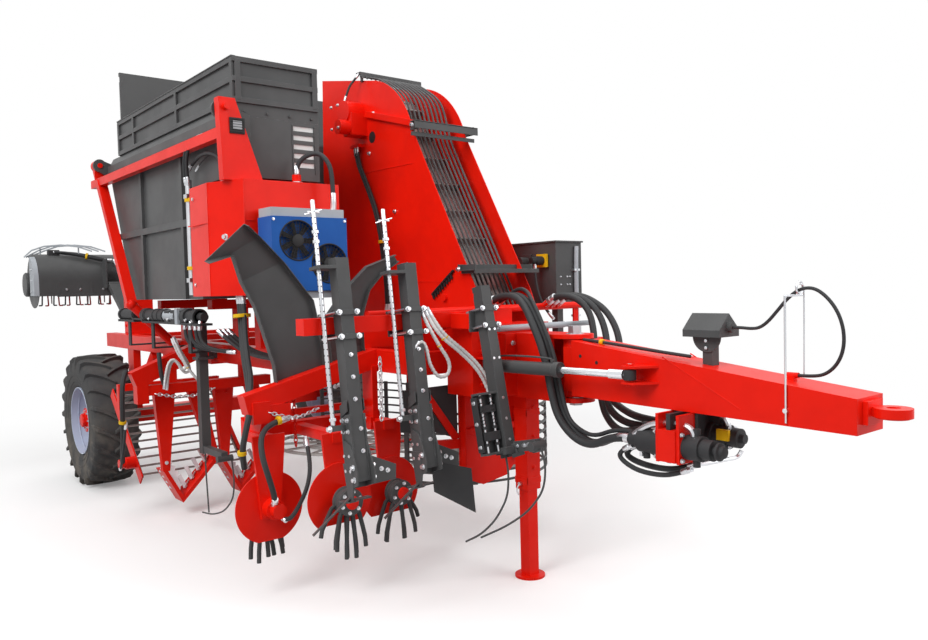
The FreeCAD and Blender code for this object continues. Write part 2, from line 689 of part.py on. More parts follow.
def make_steer_barrel(side):
    """Cylinder barrel, bored for its rear pin and its rod."""
    start, along, _ = steer_line(side)
    far = start + along * STEER_BARREL_LENGTH
    near = start + along * 42
    barrel = Part.makeCylinder(STEER_BARREL_R, STEER_BARREL_LENGTH - 42, near, along)
    knuckle = rod((start.x, start.y, STEER_Z - 28), (start.x, start.y, STEER_Z + 28), 30)
    link = Part.makeCylinder(24, 50, start, along)
    pin_bore = rod((start.x, start.y, STEER_Z - 60), (start.x, start.y, STEER_Z + 60),
                   14 + RUN_GAP)
    gland = Part.makeCylinder(STEER_BARREL_R + 6, 40, far - along * 40, along)
    rod_bore = Part.makeCylinder(STEER_ROD_R + RUN_GAP, STEER_BARREL_LENGTH - 60,
                                 start + along * 65, along)
    return cut(join(barrel, knuckle, link, gland), pin_bore, rod_bore)


def make_steer_rod(side):
    """Piston rod with its eye, which lies between the drawbar's lugs."""
    start, along, length = steer_line(side)
    shaft_start = 65 + 135
    shaft = Part.makeCylinder(STEER_ROD_R, length - shaft_start - 20, start + along * shaft_start,
                              along)
    collar = Part.makeCylinder(26, 90, start + along * (length - 125), along)
    eye = rod((STEER_EYE_X, side * STEER_EYE_Y, STEER_Z - 24),
              (STEER_EYE_X, side * STEER_EYE_Y, STEER_Z + 24), 32)
    hole = rod((STEER_EYE_X, side * STEER_EYE_Y, STEER_Z - 30),
               (STEER_EYE_X, side * STEER_EYE_Y, STEER_Z + 30), 15)
    return cut(join(shaft, collar, eye), hole)


# ---------------------------------------------------------------- jack
def make_jack_housing():
    """Square sleeve bolted to the head's front face."""
    half = JACK_HOUSING_SIDE / 2
    inside = half - JACK_WALL
    sleeve = box(JACK_X - half, JACK_X + half, JACK_Y - half, JACK_Y + half,
                 JACK_HOUSING_BOTTOM, JACK_HOUSING_TOP)
    bore = box(JACK_X - inside, JACK_X + inside, JACK_Y - inside, JACK_Y + inside,
               JACK_HOUSING_BOTTOM - 1, JACK_HOUSING_TOP - 10)
    bracket = join(box(HEAD_REAR + 60, HEAD_FRONT, JACK_Y - 40, JACK_Y + 40,
                       HEAD_BOTTOM - 90, HEAD_BOTTOM),
                   box(HEAD_FRONT, JACK_X - half, JACK_Y - 40, JACK_Y + 40,
                       HEAD_BOTTOM - 90, JACK_HOUSING_TOP))
    pin_z = JACK_HOUSING_BOTTOM + 70
    hole = rod((JACK_X, JACK_Y - 80, pin_z), (JACK_X, JACK_Y + 80, pin_z), 9 + RUN_GAP)
    return cut(join(sleeve, bracket), bore, hole)


def make_jack_leg():
    """Inner leg with its round foot."""
    half = JACK_LEG_SIDE / 2
    leg = box(JACK_X - half, JACK_X + half, JACK_Y - half, JACK_Y + half,
              JACK_FOOT_THICKNESS, JACK_HOUSING_BOTTOM + 130)
    bore = box(JACK_X - half + 6, JACK_X + half - 6, JACK_Y - half + 6, JACK_Y + half - 6,
               JACK_FOOT_THICKNESS + 6, JACK_HOUSING_BOTTOM + 140)
    foot = rod((JACK_X, JACK_Y, 0), (JACK_X, JACK_Y, JACK_FOOT_THICKNESS), JACK_FOOT_R)
    slides = []
    inside = JACK_HOUSING_SIDE / 2 - JACK_WALL - JACK_GAP
    for z in (JACK_HOUSING_BOTTOM + 95,):
        ring = cut(box(JACK_X - inside, JACK_X + inside, JACK_Y - inside, JACK_Y + inside,
                       z, z + 30),
                   box(JACK_X - half, JACK_X + half, JACK_Y - half, JACK_Y + half, z, z + 30))
        slides.append(ring)
    return join(cut(leg, bore), foot, *slides)


# ---------------------------------------------------------------- hopper
def rear_x(z):
    """Place of the hopper's sloping rear wall at a height."""
    share = (z - HOPPER_BOTTOM) / (HOPPER_LEDGE_Z - HOPPER_BOTTOM)
    return HOPPER_REAR_BOTTOM + share * (HOPPER_REAR_TOP - HOPPER_REAR_BOTTOM)


def hopper_block(inset, top):
    """Outer volume of the hopper up to top, drawn in by inset on every side."""
    i = inset
    right = HOPPER_RIGHT + i
    left = HOPPER_LEFT - i
    section = [(right, HOPPER_BOTTOM + i), (HOPPER_FLOOR_Y, HOPPER_BOTTOM + i),
               (left, HOPPER_LEFT_FLOOR_Z + i), (left, top), (right, top)]
    back = rear_x(HOPPER_BOTTOM) + i
    side = [(back, HOPPER_BOTTOM), (HOPPER_FRONT_LEFT - i, HOPPER_BOTTOM),
            (HOPPER_FRONT_LEFT - i, top), (rear_x(top) + i, top)]
    left_part = plate_yz(section, 0, 4000).common(plate_xz(side, -2000, 2000))
    nose_left = HOPPER_NOSE_LEFT - i
    keel = [(right, HOPPER_BOTTOM + i), (HOPPER_KEEL_Y - 0.47 * i, HOPPER_BOTTOM + i),
            (nose_left, HOPPER_BOTTOM + HOPPER_KEEL_RISE + 0.37 * i), (nose_left, top),
            (right, top)]
    deep = plate_yz(keel, HOPPER_FRONT_LEFT - i - 10, HOPPER_FRONT_DEEP - i)
    nose = box(HOPPER_FRONT_DEEP - i - 10, HOPPER_FRONT - i, right, nose_left,
               HOPPER_NOSE_Z + i, top)
    return join(left_part, deep, nose)


def make_hopper_body():
    """Lower hopper of sheet walls, open at the top, with slots in the nose's front wall."""
    top = HOPPER_LEDGE_Z
    shell = cut(hopper_block(0, top), hopper_block(SHEET, top + 1))
    slots = []
    for index in range(5):
        z = 2690 + index * 62
        slots.append(box(HOPPER_FRONT - 20, HOPPER_FRONT + 20, -845, -690, z, z + 34))
    shell = cut(shell, *slots)
    lug_x = HOPPER_FRONT
    lugs = []
    for x0, x1 in ((lug_x, lug_x + 25), (HOPPER_REAR_TOP - 45, HOPPER_REAR_TOP - 20)):
        plate = plate_yz([(TIP_Y, TIP_Z - 60), (HOPPER_RIGHT + 130, TIP_Z - 190),
                          (HOPPER_RIGHT + 130, HOPPER_LEDGE_Z), (TIP_Y, TIP_Z + 55)], x0, x1)
        eye = rod((x0, TIP_Y, TIP_Z), (x1, TIP_Y, TIP_Z), 57)
        hole = rod((x0 - 1, TIP_Y, TIP_Z), (x1 + 1, TIP_Y, TIP_Z), TIP_PIN_R + RUN_GAP)
        lugs.append(cut(join(plate, eye), hole))
    rear_pad = cut(box(HOPPER_REAR_TOP - 20, HOPPER_REAR_TOP + 160, HOPPER_RIGHT + 20,
                       HOPPER_RIGHT + 130, TIP_Z - 160, top),
                   hopper_block(0, top))
    return join(shell, rear_pad, make_hopper_ribs(), *lugs)


def make_hopper_ribs():
    """Channel ribs on the right wall, the front wall and the rear wall."""
    ribs = []
    out = HOPPER_RIGHT
    depth = 26.0
    for x, foot in ((1560, HOPPER_BOTTOM), (2480, HOPPER_BOTTOM)):
        ribs.append(box(x, x + 45, out - depth, out, foot, HOPPER_LEDGE_Z - 60))
    ribs.append(box(rear_x(2350) + 10, HOPPER_FRONT_DEEP, out - depth, out, 2330, 2380))
    ribs.append(box(rear_x(2900) + 10, HOPPER_FRONT, out - depth, out, 2940, 3000))
    return join(*ribs)


def make_hopper_extension():
    """Upper hopper wall of panels round the L-shaped mouth, with its sloping shoulder."""
    z0 = EXTENSION_BOTTOM
    z1 = EXTENSION_TOP
    y_r = HOPPER_RIGHT + EXTENSION_INSET
    x_r = HOPPER_REAR_TOP + 200
    t = PANEL
    walls = [
        box(x_r, HOPPER_FRONT, y_r, y_r + t, z0, z1),
        box(HOPPER_FRONT - t, HOPPER_FRONT, y_r, HOPPER_NOSE_LEFT, z0, z1),
        box(HOPPER_FRONT_LEFT, HOPPER_FRONT, HOPPER_NOSE_LEFT - t, HOPPER_NOSE_LEFT, z0, z1),
        box(x_r, HOPPER_FRONT_LEFT, HOPPER_LEFT - EXTENSION_INSET - t,
            HOPPER_LEFT - EXTENSION_INSET, z0, z1),
        box(x_r, x_r + t, y_r, HOPPER_LEFT - EXTENSION_INSET, z0, z1),
    ]
    shoulder = shoulder_ring()
    return join(*walls, shoulder, make_deflector())


def shoulder_ring():
    """Flat frame on the hopper's rim that carries the upper wall."""
    z0 = HOPPER_LEDGE_Z
    z1 = EXTENSION_BOTTOM
    outline = [(HOPPER_REAR_TOP, HOPPER_RIGHT), (HOPPER_FRONT, HOPPER_RIGHT),
               (HOPPER_FRONT, HOPPER_NOSE_LEFT), (HOPPER_FRONT_LEFT, HOPPER_NOSE_LEFT),
               (HOPPER_FRONT_LEFT, HOPPER_LEFT), (HOPPER_REAR_TOP, HOPPER_LEFT)]
    t = EXTENSION_INSET + PANEL
    front_lip = 30.0
    inner = [(HOPPER_REAR_TOP + 225, HOPPER_RIGHT + t), (HOPPER_FRONT - t, HOPPER_RIGHT + t),
             (HOPPER_FRONT - t, HOPPER_NOSE_LEFT - 25),
             (HOPPER_FRONT_LEFT - front_lip, HOPPER_NOSE_LEFT - 25),
             (HOPPER_FRONT_LEFT - front_lip, HOPPER_LEFT - t),
             (HOPPER_REAR_TOP + 225, HOPPER_LEFT - t)]
    ring = cut(plate_xy(outline, z0, z1), plate_xy(inner, z0 - 1, z1 + 1))
    slope = plate_yz([(HOPPER_RIGHT - 1, z0), (HOPPER_RIGHT + EXTENSION_INSET, z1),
                      (HOPPER_RIGHT + EXTENSION_INSET, z1 + 1), (HOPPER_RIGHT - 1, z1 + 1)],
                     HOPPER_REAR_TOP - 10, HOPPER_FRONT + 10)
    return cut(ring, slope)


def make_deflector():
    """Plate above the rear wall that stops thrown beets."""
    x0 = HOPPER_REAR_TOP + 170
    z1 = DEFLECTOR_TOP
    plate = box(x0 + 5, x0 + 15, -1230, 900, EXTENSION_BOTTOM, z1)
    stays = [box(x0 - 25, x0 + 5, y, y + 40, EXTENSION_BOTTOM, z1 - 80) for y in (-1225, -200, 855)]
    lip = box(x0 - 20, x0 + 5, -1230, 900, z1 - 30, z1)
    return join(plate, lip, *stays)


def make_towers():
    """Front tower on the tank, rear strut from the rail, the bar between them and both pins."""
    x0 = TOWER_X
    x1 = TOWER_X + TOWER_DEPTH
    tower = plate_yz([(TANK_RIGHT + 30, TANK_TOP), (-1130, TANK_TOP), (TIP_Y + 65, TIP_Z + 60),
                      (TIP_Y - 45, TIP_Z + 60)], x0, x1)
    pin_front = rod((HOPPER_FRONT - 8, TIP_Y, TIP_Z), (x1 + 30, TIP_Y, TIP_Z), TIP_PIN_R)
    strut_top = (570.0, TIP_Y, 2990.0)
    strut_knee = (1390.0, TIP_Y, 1760.0)
    foot = (1440.0, -1010.0, 1370.0)
    strut = bar(strut_top, strut_knee, 60, 80, up=(0, 1, 0))
    leg = join(Part.makeSphere(45, Vector(*strut_knee)), rod(strut_knee, foot, 38))
    boss = rod((540, TIP_Y, TIP_Z), (600, TIP_Y, TIP_Z), 55)
    pin_rear = rod((530, TIP_Y, TIP_Z), (HOPPER_REAR_TOP - 12, TIP_Y, TIP_Z), TIP_PIN_R)
    side_bar = box(430, x0 + 20, TIP_Y - 30, TIP_Y + 30, BAR_Z, BAR_Z + 70)
    keep_out = box(605, x0 - 5, TIP_Y - 200, TIP_Y + 200, TIP_Z - 130, TIP_Z + 200)
    strut = cut(strut, keep_out)
    rail = box(RAIL_REAR, RAIL_FRONT, -RAIL_Y - RAIL_WIDTH / 2, -RAIL_Y + RAIL_WIDTH / 2,
               RAIL_BOTTOM, RAIL_BOTTOM + RAIL_HEIGHT)
    return cut(join(tower, pin_front, strut, leg, boss, pin_rear, side_bar), rail)


# ---------------------------------------------------------------- tank and cooler
def make_tank():
    """Welded oil tank with a bevelled front corner, a filler and a return elbow boss."""
    b = TANK_BEVEL
    plan = [(TANK_REAR, TANK_RIGHT + 20), (TANK_FRONT - 2 * b, TANK_RIGHT),
            (TANK_FRONT, TANK_RIGHT + b - 30), (TANK_FRONT, TANK_LEFT), (TANK_REAR, TANK_LEFT)]
    outer = plate_xy(plan, TANK_BOTTOM, TANK_TOP)
    t = 6.0
    inner_plan = [(TANK_REAR + t, TANK_RIGHT + 20 + t), (TANK_FRONT - 2 * b, TANK_RIGHT + t + 2),
                  (TANK_FRONT - t, TANK_RIGHT + b - 30 + t), (TANK_FRONT - t, TANK_LEFT - t),
                  (TANK_REAR + t, TANK_LEFT - t)]
    inner = plate_xy(inner_plan, TANK_BOTTOM + t, TANK_TOP - t)
    x, y, z = COOLER_HOSE_ROUTE[0]
    filler = rod((x, y, TANK_TOP - t), (x, y, z), 30)
    return join(cut(outer, inner), filler)


def fan_centres():
    """Centres of the two cooler fans, as Y and Z pairs."""
    return ((COOLER_RIGHT + 180, COOLER_TOP - 150), (COOLER_LEFT - 135, COOLER_BOTTOM + 175))


def make_cooler():
    """Cooler core between two header tanks, with a round recess for each fan."""
    x0 = TANK_FRONT
    x1 = COOLER_FRONT
    core = box(x0 + 40, x1, COOLER_RIGHT, COOLER_LEFT, COOLER_BOTTOM, COOLER_TOP)
    recesses = [rod((x1 - 45, y, z), (x1 + 1, y, z), FAN_R + 8) for y, z in fan_centres()]
    hubs = [rod((x1 - 60, y, z), (x1 - 18, y, z), 12) for y, z in fan_centres()]
    top = box(x0 + 40, x1 - 20, COOLER_RIGHT + 10, COOLER_LEFT - 10, COOLER_TOP, COOLER_TOP + 55)
    low = box(x0 + 40, x1 - 20, COOLER_RIGHT + 10, COOLER_LEFT - 10,
              COOLER_BOTTOM - 45, COOLER_BOTTOM)
    feet = [box(x0, x0 + 40, y, y + 40, z, z + 60) for y in (COOLER_RIGHT + 60, COOLER_LEFT - 100)
            for z in (COOLER_BOTTOM + 30, COOLER_TOP - 90)]
    return join(cut(core, *recesses), top, low, *feet, *hubs)


def make_fan(centre):
    """Fan rotor: a bored hub with flat blades."""
    y, z = centre
    x0 = COOLER_FRONT - 34
    x1 = COOLER_FRONT - 8
    hub = rod((x0, y, z), (x1, y, z), 34)
    blades = []
    count = 7
    for index in range(count):
        angle = 2 * math.pi * index / count
        tip = (x0 + 13, y + (FAN_R - 5) * math.cos(angle), z + (FAN_R - 5) * math.sin(angle))
        blades.append(bar((x0 + 13, y, z), tip, 34, 3, up=(1, 0.5 * math.sin(angle), 0.5 * -math.cos(angle))))
    bore = rod((x0 - 1, y, z), (x1 - 9, y, z), 12 + RUN_GAP)
    return cut(join(hub, *blades), bore)


# ---------------------------------------------------------------- elevator
def elevator_outline(inset):
    """Side view of the elevator casing."""
    i = inset
    return [(2330 + i, 3610 - i), (3150 - i / 2, 3440 - i),
            ("arc", (3440 - i, 3270 - i), (3610 - i, 2990 - i)),
            (4285 - i, 1820), (4400 - i, ELEV_BOTTOM + i), (2700 + i, ELEV_BOTTOM + i),
            (2560 + i, 1760), (2300 + i, 2780)]


def make_elevator_casing():
    """Two side plates, a rear wall under the discharge mouth and cross tubes."""
    t = 6.0
    plates = [plate_xz(elevator_outline(0), y, y + t) for y in (ELEV_RIGHT, ELEV_LEFT - t)]
    y0 = ELEV_RIGHT + t
    y1 = ELEV_LEFT - t
    wall = bar((2318, (y0 + y1) / 2, 2860), (2574, (y0 + y1) / 2, 1790), y1 - y0, 6,
               up=(1, 0, 0.24))
    floor = box(2720, 3400, y0, y1, ELEV_BOTTOM, ELEV_BOTTOM + 6)
    tubes = [rod((x, y0, z), (x, y1, z), 22) for x, z in ((3000, 2000), (2700, 3000), (3550, 1900))]
    shaft_top = rod((2900, ELEV_RIGHT - 30, 3230), (2900, ELEV_LEFT + 20, 3230), 25)
    shaft_low = rod((3950, ELEV_RIGHT - 20, 1770), (3950, ELEV_LEFT + 20, 1770), 25)
    return join(*plates, wall, floor, *tubes, shaft_top, shaft_low, *make_hose_brackets())


def make_elevator_web():
    """Flighted web as one fixed loop round the two shafts."""
    top = (2900.0, 3230.0)
    low = (3950.0, 1770.0)
    r_top = 150.0
    r_low = 125.0
    y0 = ELEV_RIGHT + 30
    y1 = ELEV_LEFT - 30
    outer = web_loop(top, low, r_top, r_low, y0, y1)
    inner = web_loop(top, low, r_top - 14, r_low - 14, y0 - 1, y1 + 1)
    flights = []
    direction = Vector(low[0] - top[0], 0, low[1] - top[1])
    length = direction.Length
    unit = direction.normalize()
    normal = Vector(-unit.z, 0, unit.x)
    if normal.x < 0:
        normal = normal * -1
    for index in range(7):
        place = 120 + index * (length - 240) / 6
        share = place / length
        reach = r_top + share * (r_low - r_top)
        foot = Vector(top[0], 0, top[1]) + unit * place + normal * (reach - 4)
        tip = foot + normal * 70
        flights.append(bar((foot.x, (y0 + y1) / 2, foot.z), (tip.x, (y0 + y1) / 2, tip.z),
                           y1 - y0 - 20, 10, up=(unit.x, 0, unit.z)))
    discs = [rod((c[0], y, c[1]), (c[0], y + 20, c[1]), r - 14 - SEAT_GAP)
             for c, r in ((top, r_top), (low, r_low)) for y in (y0 + 30, y1 - 50)]
    bores = [rod((c[0], y0 - 40, c[1]), (c[0], y1 + 40, c[1]), 25 + SEAT_GAP) for c in (top, low)]
    return group(join(cut(outer, inner), *flights), *[cut(d, *bores) for d in discs])


def web_loop(top, low, r_top, r_low, y0, y1):
    """Filled belt shape round two circles in the XZ plane."""
    dx = low[0] - top[0]
    dz = low[1] - top[1]
    distance = math.hypot(dx, dz)
    heading = math.atan2(dz, dx)
    swing = math.acos((r_top - r_low) / distance)
    corners = []
    for angle, reach, centre in ((heading + swing, r_top, top), (heading + swing, r_low, low),
                                 (heading - swing, r_low, low), (heading - swing, r_top, top)):
        corners.append((centre[0] + reach * math.cos(angle), centre[1] + reach * math.sin(angle)))
    belt = plate_xz(corners, y0, y1)
    ends = [rod((c[0], y0, c[1]), (c[0], y1, c[1]), r) for c, r in ((top, r_top), (low, r_low))]
    return join(belt, *ends)


def guard_line(offset):
    """Points of the guard along the casing's front edge, moved out by offset."""
    o = offset
    return [(2960, 3490 + o), (3155, 3440 + o), (3440 + 0.7 * o, 3275 + 0.7 * o),
            (3615 + o, 2990 + 0.5 * o), (4250 + o, 1889 + 0.5 * o), (4345 + o, 1724 + 0.5 * o)]


def make_elevator_guard():
    """Round bars over the elevator's front, held by angle cross members and a top strap."""
    y0 = ELEV_RIGHT + 25
    y1 = ELEV_LEFT - 25
    step = (y1 - y0) / (GUARD_BARS - 1)
    line = guard_line(22)
    bars = [hose([(x, y0 + index * step, z) for x, z in line], GUARD_BAR_R)
            for index in range(GUARD_BARS)]
    strap = bar((3000, ELEV_RIGHT - 10, 3508), (3000, ELEV_LEFT + 10, 3508), 60, 8)
    upper = box(3640, 3700, ELEV_RIGHT - 45, ELEV_LEFT + 45, 2985, 3045)
    lower = box(4150, 4330, ELEV_RIGHT - 45, ELEV_LEFT + 45, 1930, 1955)
    casing = join(*[plate_xz(elevator_outline(0), y, y + 6) for y in (ELEV_RIGHT, ELEV_LEFT - 6)])
    cheeks = [box(x, x + 60, y, y + 8, z, z + 60) for x, z in ((3560, 2985), (4150, 1930))
              for y in (ELEV_RIGHT - 8, ELEV_LEFT)]
    members = cut(join(upper, *cheeks[:2]), casing)
    return join(*bars, strap, members, cut(join(lower, *cheeks[2:]), casing))


def make_gearbox():
    """Gearbox and motor on the elevator's right plate, round the top shaft."""
    x, z = 2900.0, 3230.0
    body = join(rod((x, ELEV_RIGHT - 150, z), (x, ELEV_RIGHT, z), 85),
                box(x - 20, x + 110, ELEV_RIGHT - 140, ELEV_RIGHT, z - 190, z - 20),
                rod((x + 45, ELEV_RIGHT - 230, z - 130), (x + 45, ELEV_RIGHT - 140, z - 130), 55))
    return cut(body, rod((x, ELEV_RIGHT - 31, z), (x, ELEV_RIGHT + 1, z), 25 + SEAT_GAP))


def make_cabinet():
    """Valve cabinet on the left, on a bracket from the inner beam, with its control motor."""
    x0, x1 = 3560.0, 4130.0
    y0, y1 = 900.0, 1180.0
    z0, z1 = 1680.0, 2160.0
    shell = cut(box(x0, x1, y0, y1, z0, z1), box(x0 + 4, x1 - 4, y0 + 4, y1 - 4, z0 + 4, z1 - 4))
    lid = box(x0 - 12, x1 + 12, y0 - 12, y1 + 12, z1, z1 + 12)
    legs = [box(x, x + 60, y0 + 60, y0 + 120, RAIL_BOTTOM + RAIL_HEIGHT, z0) for x in (3600, 4020)]
    shelf = box(3600, 4080, INNER_LEFT_Y + 50, y0 + 120, RAIL_BOTTOM + 90,
                RAIL_BOTTOM + RAIL_HEIGHT)
    plate = box(3760, 3880, y0 - 14, y0, 1960, 2080)
    motor = rod((3820, y0 - 90, 2020), (3820, y0 - 14, 2020), 38)
    return join(shell, lid, *legs, shelf, plate, motor)


# ---------------------------------------------------------------- chutes
def chute_section(right, left, tangent, flange, thickness):
    """Channel section of a chute between its two edge points, flanges to the front."""
    across = (left - right).normalize()
    forward = across.cross(tangent).normalize()
    if forward.x < 0:
        forward = forward * -1
    rise = forward * flange
    skin = forward * thickness
    side = across * thickness
    points = [right + rise, right, left, left + rise, left - side + rise, left - side + skin,
              right + side + skin, right + side + rise]
    return Part.makePolygon(points + points[:1])


def make_chute(right, left, flange, thickness):
    """Bent leaf chute: a channel of sheet lofted straight between its stations."""
    right = [Vector(*point) for point in right]
    left = [Vector(*point) for point in left]
    middle = [(r + l) * 0.5 for r, l in zip(right, left)]
    last = len(middle) - 1
    sections = []
    for i in range(len(middle)):
        tangent = middle[min(i + 1, last)] - middle[max(i - 1, 0)]
        sections.append(chute_section(right[i], left[i], tangent, flange, thickness))
    return Part.makeLoft(sections, True, True)


def make_chutes():
    """Outer and inner leaf chute on the rear face of the cleaner's hanger."""
    outer = make_chute(OUTER_CHUTE_RIGHT, OUTER_CHUTE_LEFT, 44.0, 5.0)
    inner = make_chute(INNER_CHUTE_RIGHT, INNER_CHUTE_LEFT, 36.0, 5.0)
    return group(outer, inner)


# ---------------------------------------------------------------- row tools
def tilt(shape, degrees, x, z):
    """Shape leaned about a cross axis so that its lower end moves forward."""
    turned = shape.copy()
    turned.rotate(Vector(x, 0, z), Vector(0, 1, 0), -degrees)
    return turned


def make_scalper(row, top_z, foot_z):
    """Post with its clamp on the tool beam, height rod, bolted foot and scalping knife."""
    beam_z0 = HEAD_TOP
    beam_z1 = HEAD_TOP + TOOL_BEAM_SIDE
    back = TOOL_BEAM_X - TOOL_BEAM_SIDE / 2
    px0 = back + TOOL_BEAM_SIDE + POST_STAND_OFF
    px1 = px0 + POST_SIDE
    half = POST_SIDE / 2
    wall = 5.0
    post = cut(box(px0, px1, row - half, row + half, foot_z + 60, top_z),
               box(px0 + wall, px1 - wall, row - half + wall, row + half - wall,
                   foot_z + 59, top_z - wall))
    clamp = [box(back - 12, back, row - 75, row + 75, beam_z0 - 30, beam_z1 + 30)]
    for z in (beam_z0 - 27, beam_z1 + 15):
        clamp.append(box(back - 12, px1 + 12, row - 62, row - half, z, z + 12))
        clamp.append(box(back - 12, px1 + 12, row + half, row + 62, z, z + 12))
        clamp.append(box(px1, px1 + 12, row - 75, row + 75, z - 8, z + 20))
    top_arm = box(px0 - 20, px1, row - 150, row - half, top_z - 60, top_z - 42)
    screw = rod((px0 + 30, row - 120, foot_z + 345), (px0 + 30, row - 120, top_z + 160), 11)
    foot_arm = box(px0 + 18, px0 + 42, row - 132, row - half, foot_z + 340, foot_z + 370)
    cheeks = [box(px0 - 10, px1 + 6, y, y + 10, foot_z + 60, foot_z + 420)
              for y in (row - half - 10, row + half)]
    foot = plate_xz([(px0 - 10, foot_z + 160), (px1 + 6, foot_z + 160), (px1 - 4, foot_z + 40),
                     (px0 + 52, foot_z - 40), (px0 + 12, foot_z - 40)], row - half - 20,
                    row - half - 10)
    arm = plate_yz([(row - half - 20, foot_z + 20), (row - half - 20, foot_z + 110),
                    (row + half, foot_z + 210), (row + 260, foot_z + 110),
                    (row + 250, foot_z + 30)], px0 + 10, px0 + 20)
    knife = plate_xy([(px0 - 60, row - 80), (px0 + 40, row - 80), (px0 + 40, row - 30),
                      (px0 + 6, row + 10), (px0 + 6, row + 90), (px0 - 50, row + 100)],
                     foot_z - 48, foot_z - 40)
    ski = bar((px0 + 24, row - half - 15, foot_z - 20), (px0 - 60, row - 250, foot_z - 190), 34, 8)
    unit = join(post, *clamp, top_arm, screw, foot_arm, *cheeks, foot, arm, knife, ski)
    beam = box(back, back + TOOL_BEAM_SIDE, row - 300, row + 300, beam_z0, beam_z1)
    return cut(tilt(unit, POST_TILT, back + TOOL_BEAM_SIDE, (beam_z0 + beam_z1) / 2), beam)


def make_row_flap():
    """Rubber sheet bolted to the front of the inner scalper's arm."""
    row = POST_ROWS[1]
    front = TOOL_BEAM_X + TOOL_BEAM_SIDE / 2
    x0 = front + POST_STAND_OFF + 20
    sheet = plate_yz([(row + 52, FLAP_TOP + 30), (row + 52, FLAP_TOP - 150),
                      (row + 340, FLAP_TOP - 325), (row + 340, FLAP_TOP - 60)],
                     x0, x0 + FLAP_THICKNESS)
    return tilt(sheet, POST_TILT, front, HEAD_TOP + TOOL_BEAM_SIDE / 2)


def make_row_feeler():
    """Third post with the row sensor box, its arm and two bent feeler wires."""
    row = FEELER_ROW
    half = 35.0
    plate_t = 12.0
    x0 = FEELER_X + plate_t + 14
    x1 = x0 + POST_SIDE
    low = FEELER_FOOT_Z
    wall = 5.0
    post = cut(box(x0, x1, row - half, row + half, low + 40, 1830),
               box(x0 + wall, x1 - wall, row - half + wall, row + half - wall, low + 39, 1825))
    seat = box(x0 - 20, x0, row - half, row + half, HEAD_TOP - 10, HEAD_TOP + 90)
    sensor = [box(x0 + 10, x0 + 20, row - 175, row - half, low + 10, low + 350),
              box(x0 + 10, x1 - 10, row - 175, row - half, low + 350, low + 362),
              box(x0 + 10, x1 - 10, row - 175, row - half, low + 10, low + 22)]
    foot = box(x0 + 10, x1 + 20, row - 60, row + 60, low, low + 40)
    arm = box(x1 - 20, x1 + 190, row + 20, row + 60, low + 2, low + 62)
    coil = rod((x1 + 180, row - 20, low + 22), (x1 + 180, row + 75, low + 22), 26)
    wire_a = hose([(x0 + 45, row - 20, low + 5), (x0 + 50, row - 24, low - 110),
                   (x0 + 20, row - 34, low - 240), (x0 - 80, row - 60, low - 360),
                   (x0 - 200, row - 90, low - 440), (x0 - 330, row - 110, low - 480)], 6)
    wire_b = hose([(x1 + 198, row + 40, low + 25), (x1 + 214, row + 40, low - 90),
                   (x1 + 170, row + 36, low - 220), (x1 + 40, row + 20, low - 330),
                   (x1 - 140, row - 10, low - 410), (x1 - 350, row - 40, low - 470)], 6)
    leaned = tilt(join(post, seat, *sensor, foot, arm, coil, wire_a, wire_b), FEELER_TILT,
                  FEELER_X, HEAD_TOP + 35)
    mount = box(FEELER_X, FEELER_X + plate_t, row - 75, row + 75, HEAD_TOP - 25, HEAD_TOP + 100)
    beam = box(TOOL_BEAM_X, FEELER_X, row - 300, row + 300, HEAD_TOP - 200, HEAD_TOP + 200)
    return cut(join(leaned, mount), beam)


def make_lifter_feeler():
    """Row feeler of the lifter: clamped post, sensor arm and two bent wires."""
    x = 2230.0
    row = -1110.0
    half = 35.0
    post = box(x - half, x + half, row - half, row + half, 620, 1600)
    bracket = box(x - half, x + half, -1000 - 40, -1000, 1330, 1400)
    bracket = join(bracket, box(x - half - 20, x + half + 20, row - 55, -1035, 1325, 1345),
                   box(x - half - 20, x + half + 20, row - 55, -1035, 1385, 1405))
    arm = box(x + half, x + 390, row - 30, row + 20, 600, 650)
    holder = box(x - half, x + half, row - half, row + half, 590, 620)
    coil = rod((x + 375, row - 60, 600), (x + 375, row + 60, 600), 24)
    wire_a = hose([(x - 10, row, 590), (x + 5, row - 4, 420), (x + 20, row - 4, 260),
                   (x + 22, row, 120)], 6)
    wire_b = hose([(x + 385, row + 50, 590), (x + 415, row + 52, 440), (x + 390, row + 50, 290),
                   (x + 260, row + 30, 170), (x + 100, row, 118), (x - 60, row - 20, 108)], 6)
    return join(post, bracket, arm, holder, coil, wire_a, wire_b)


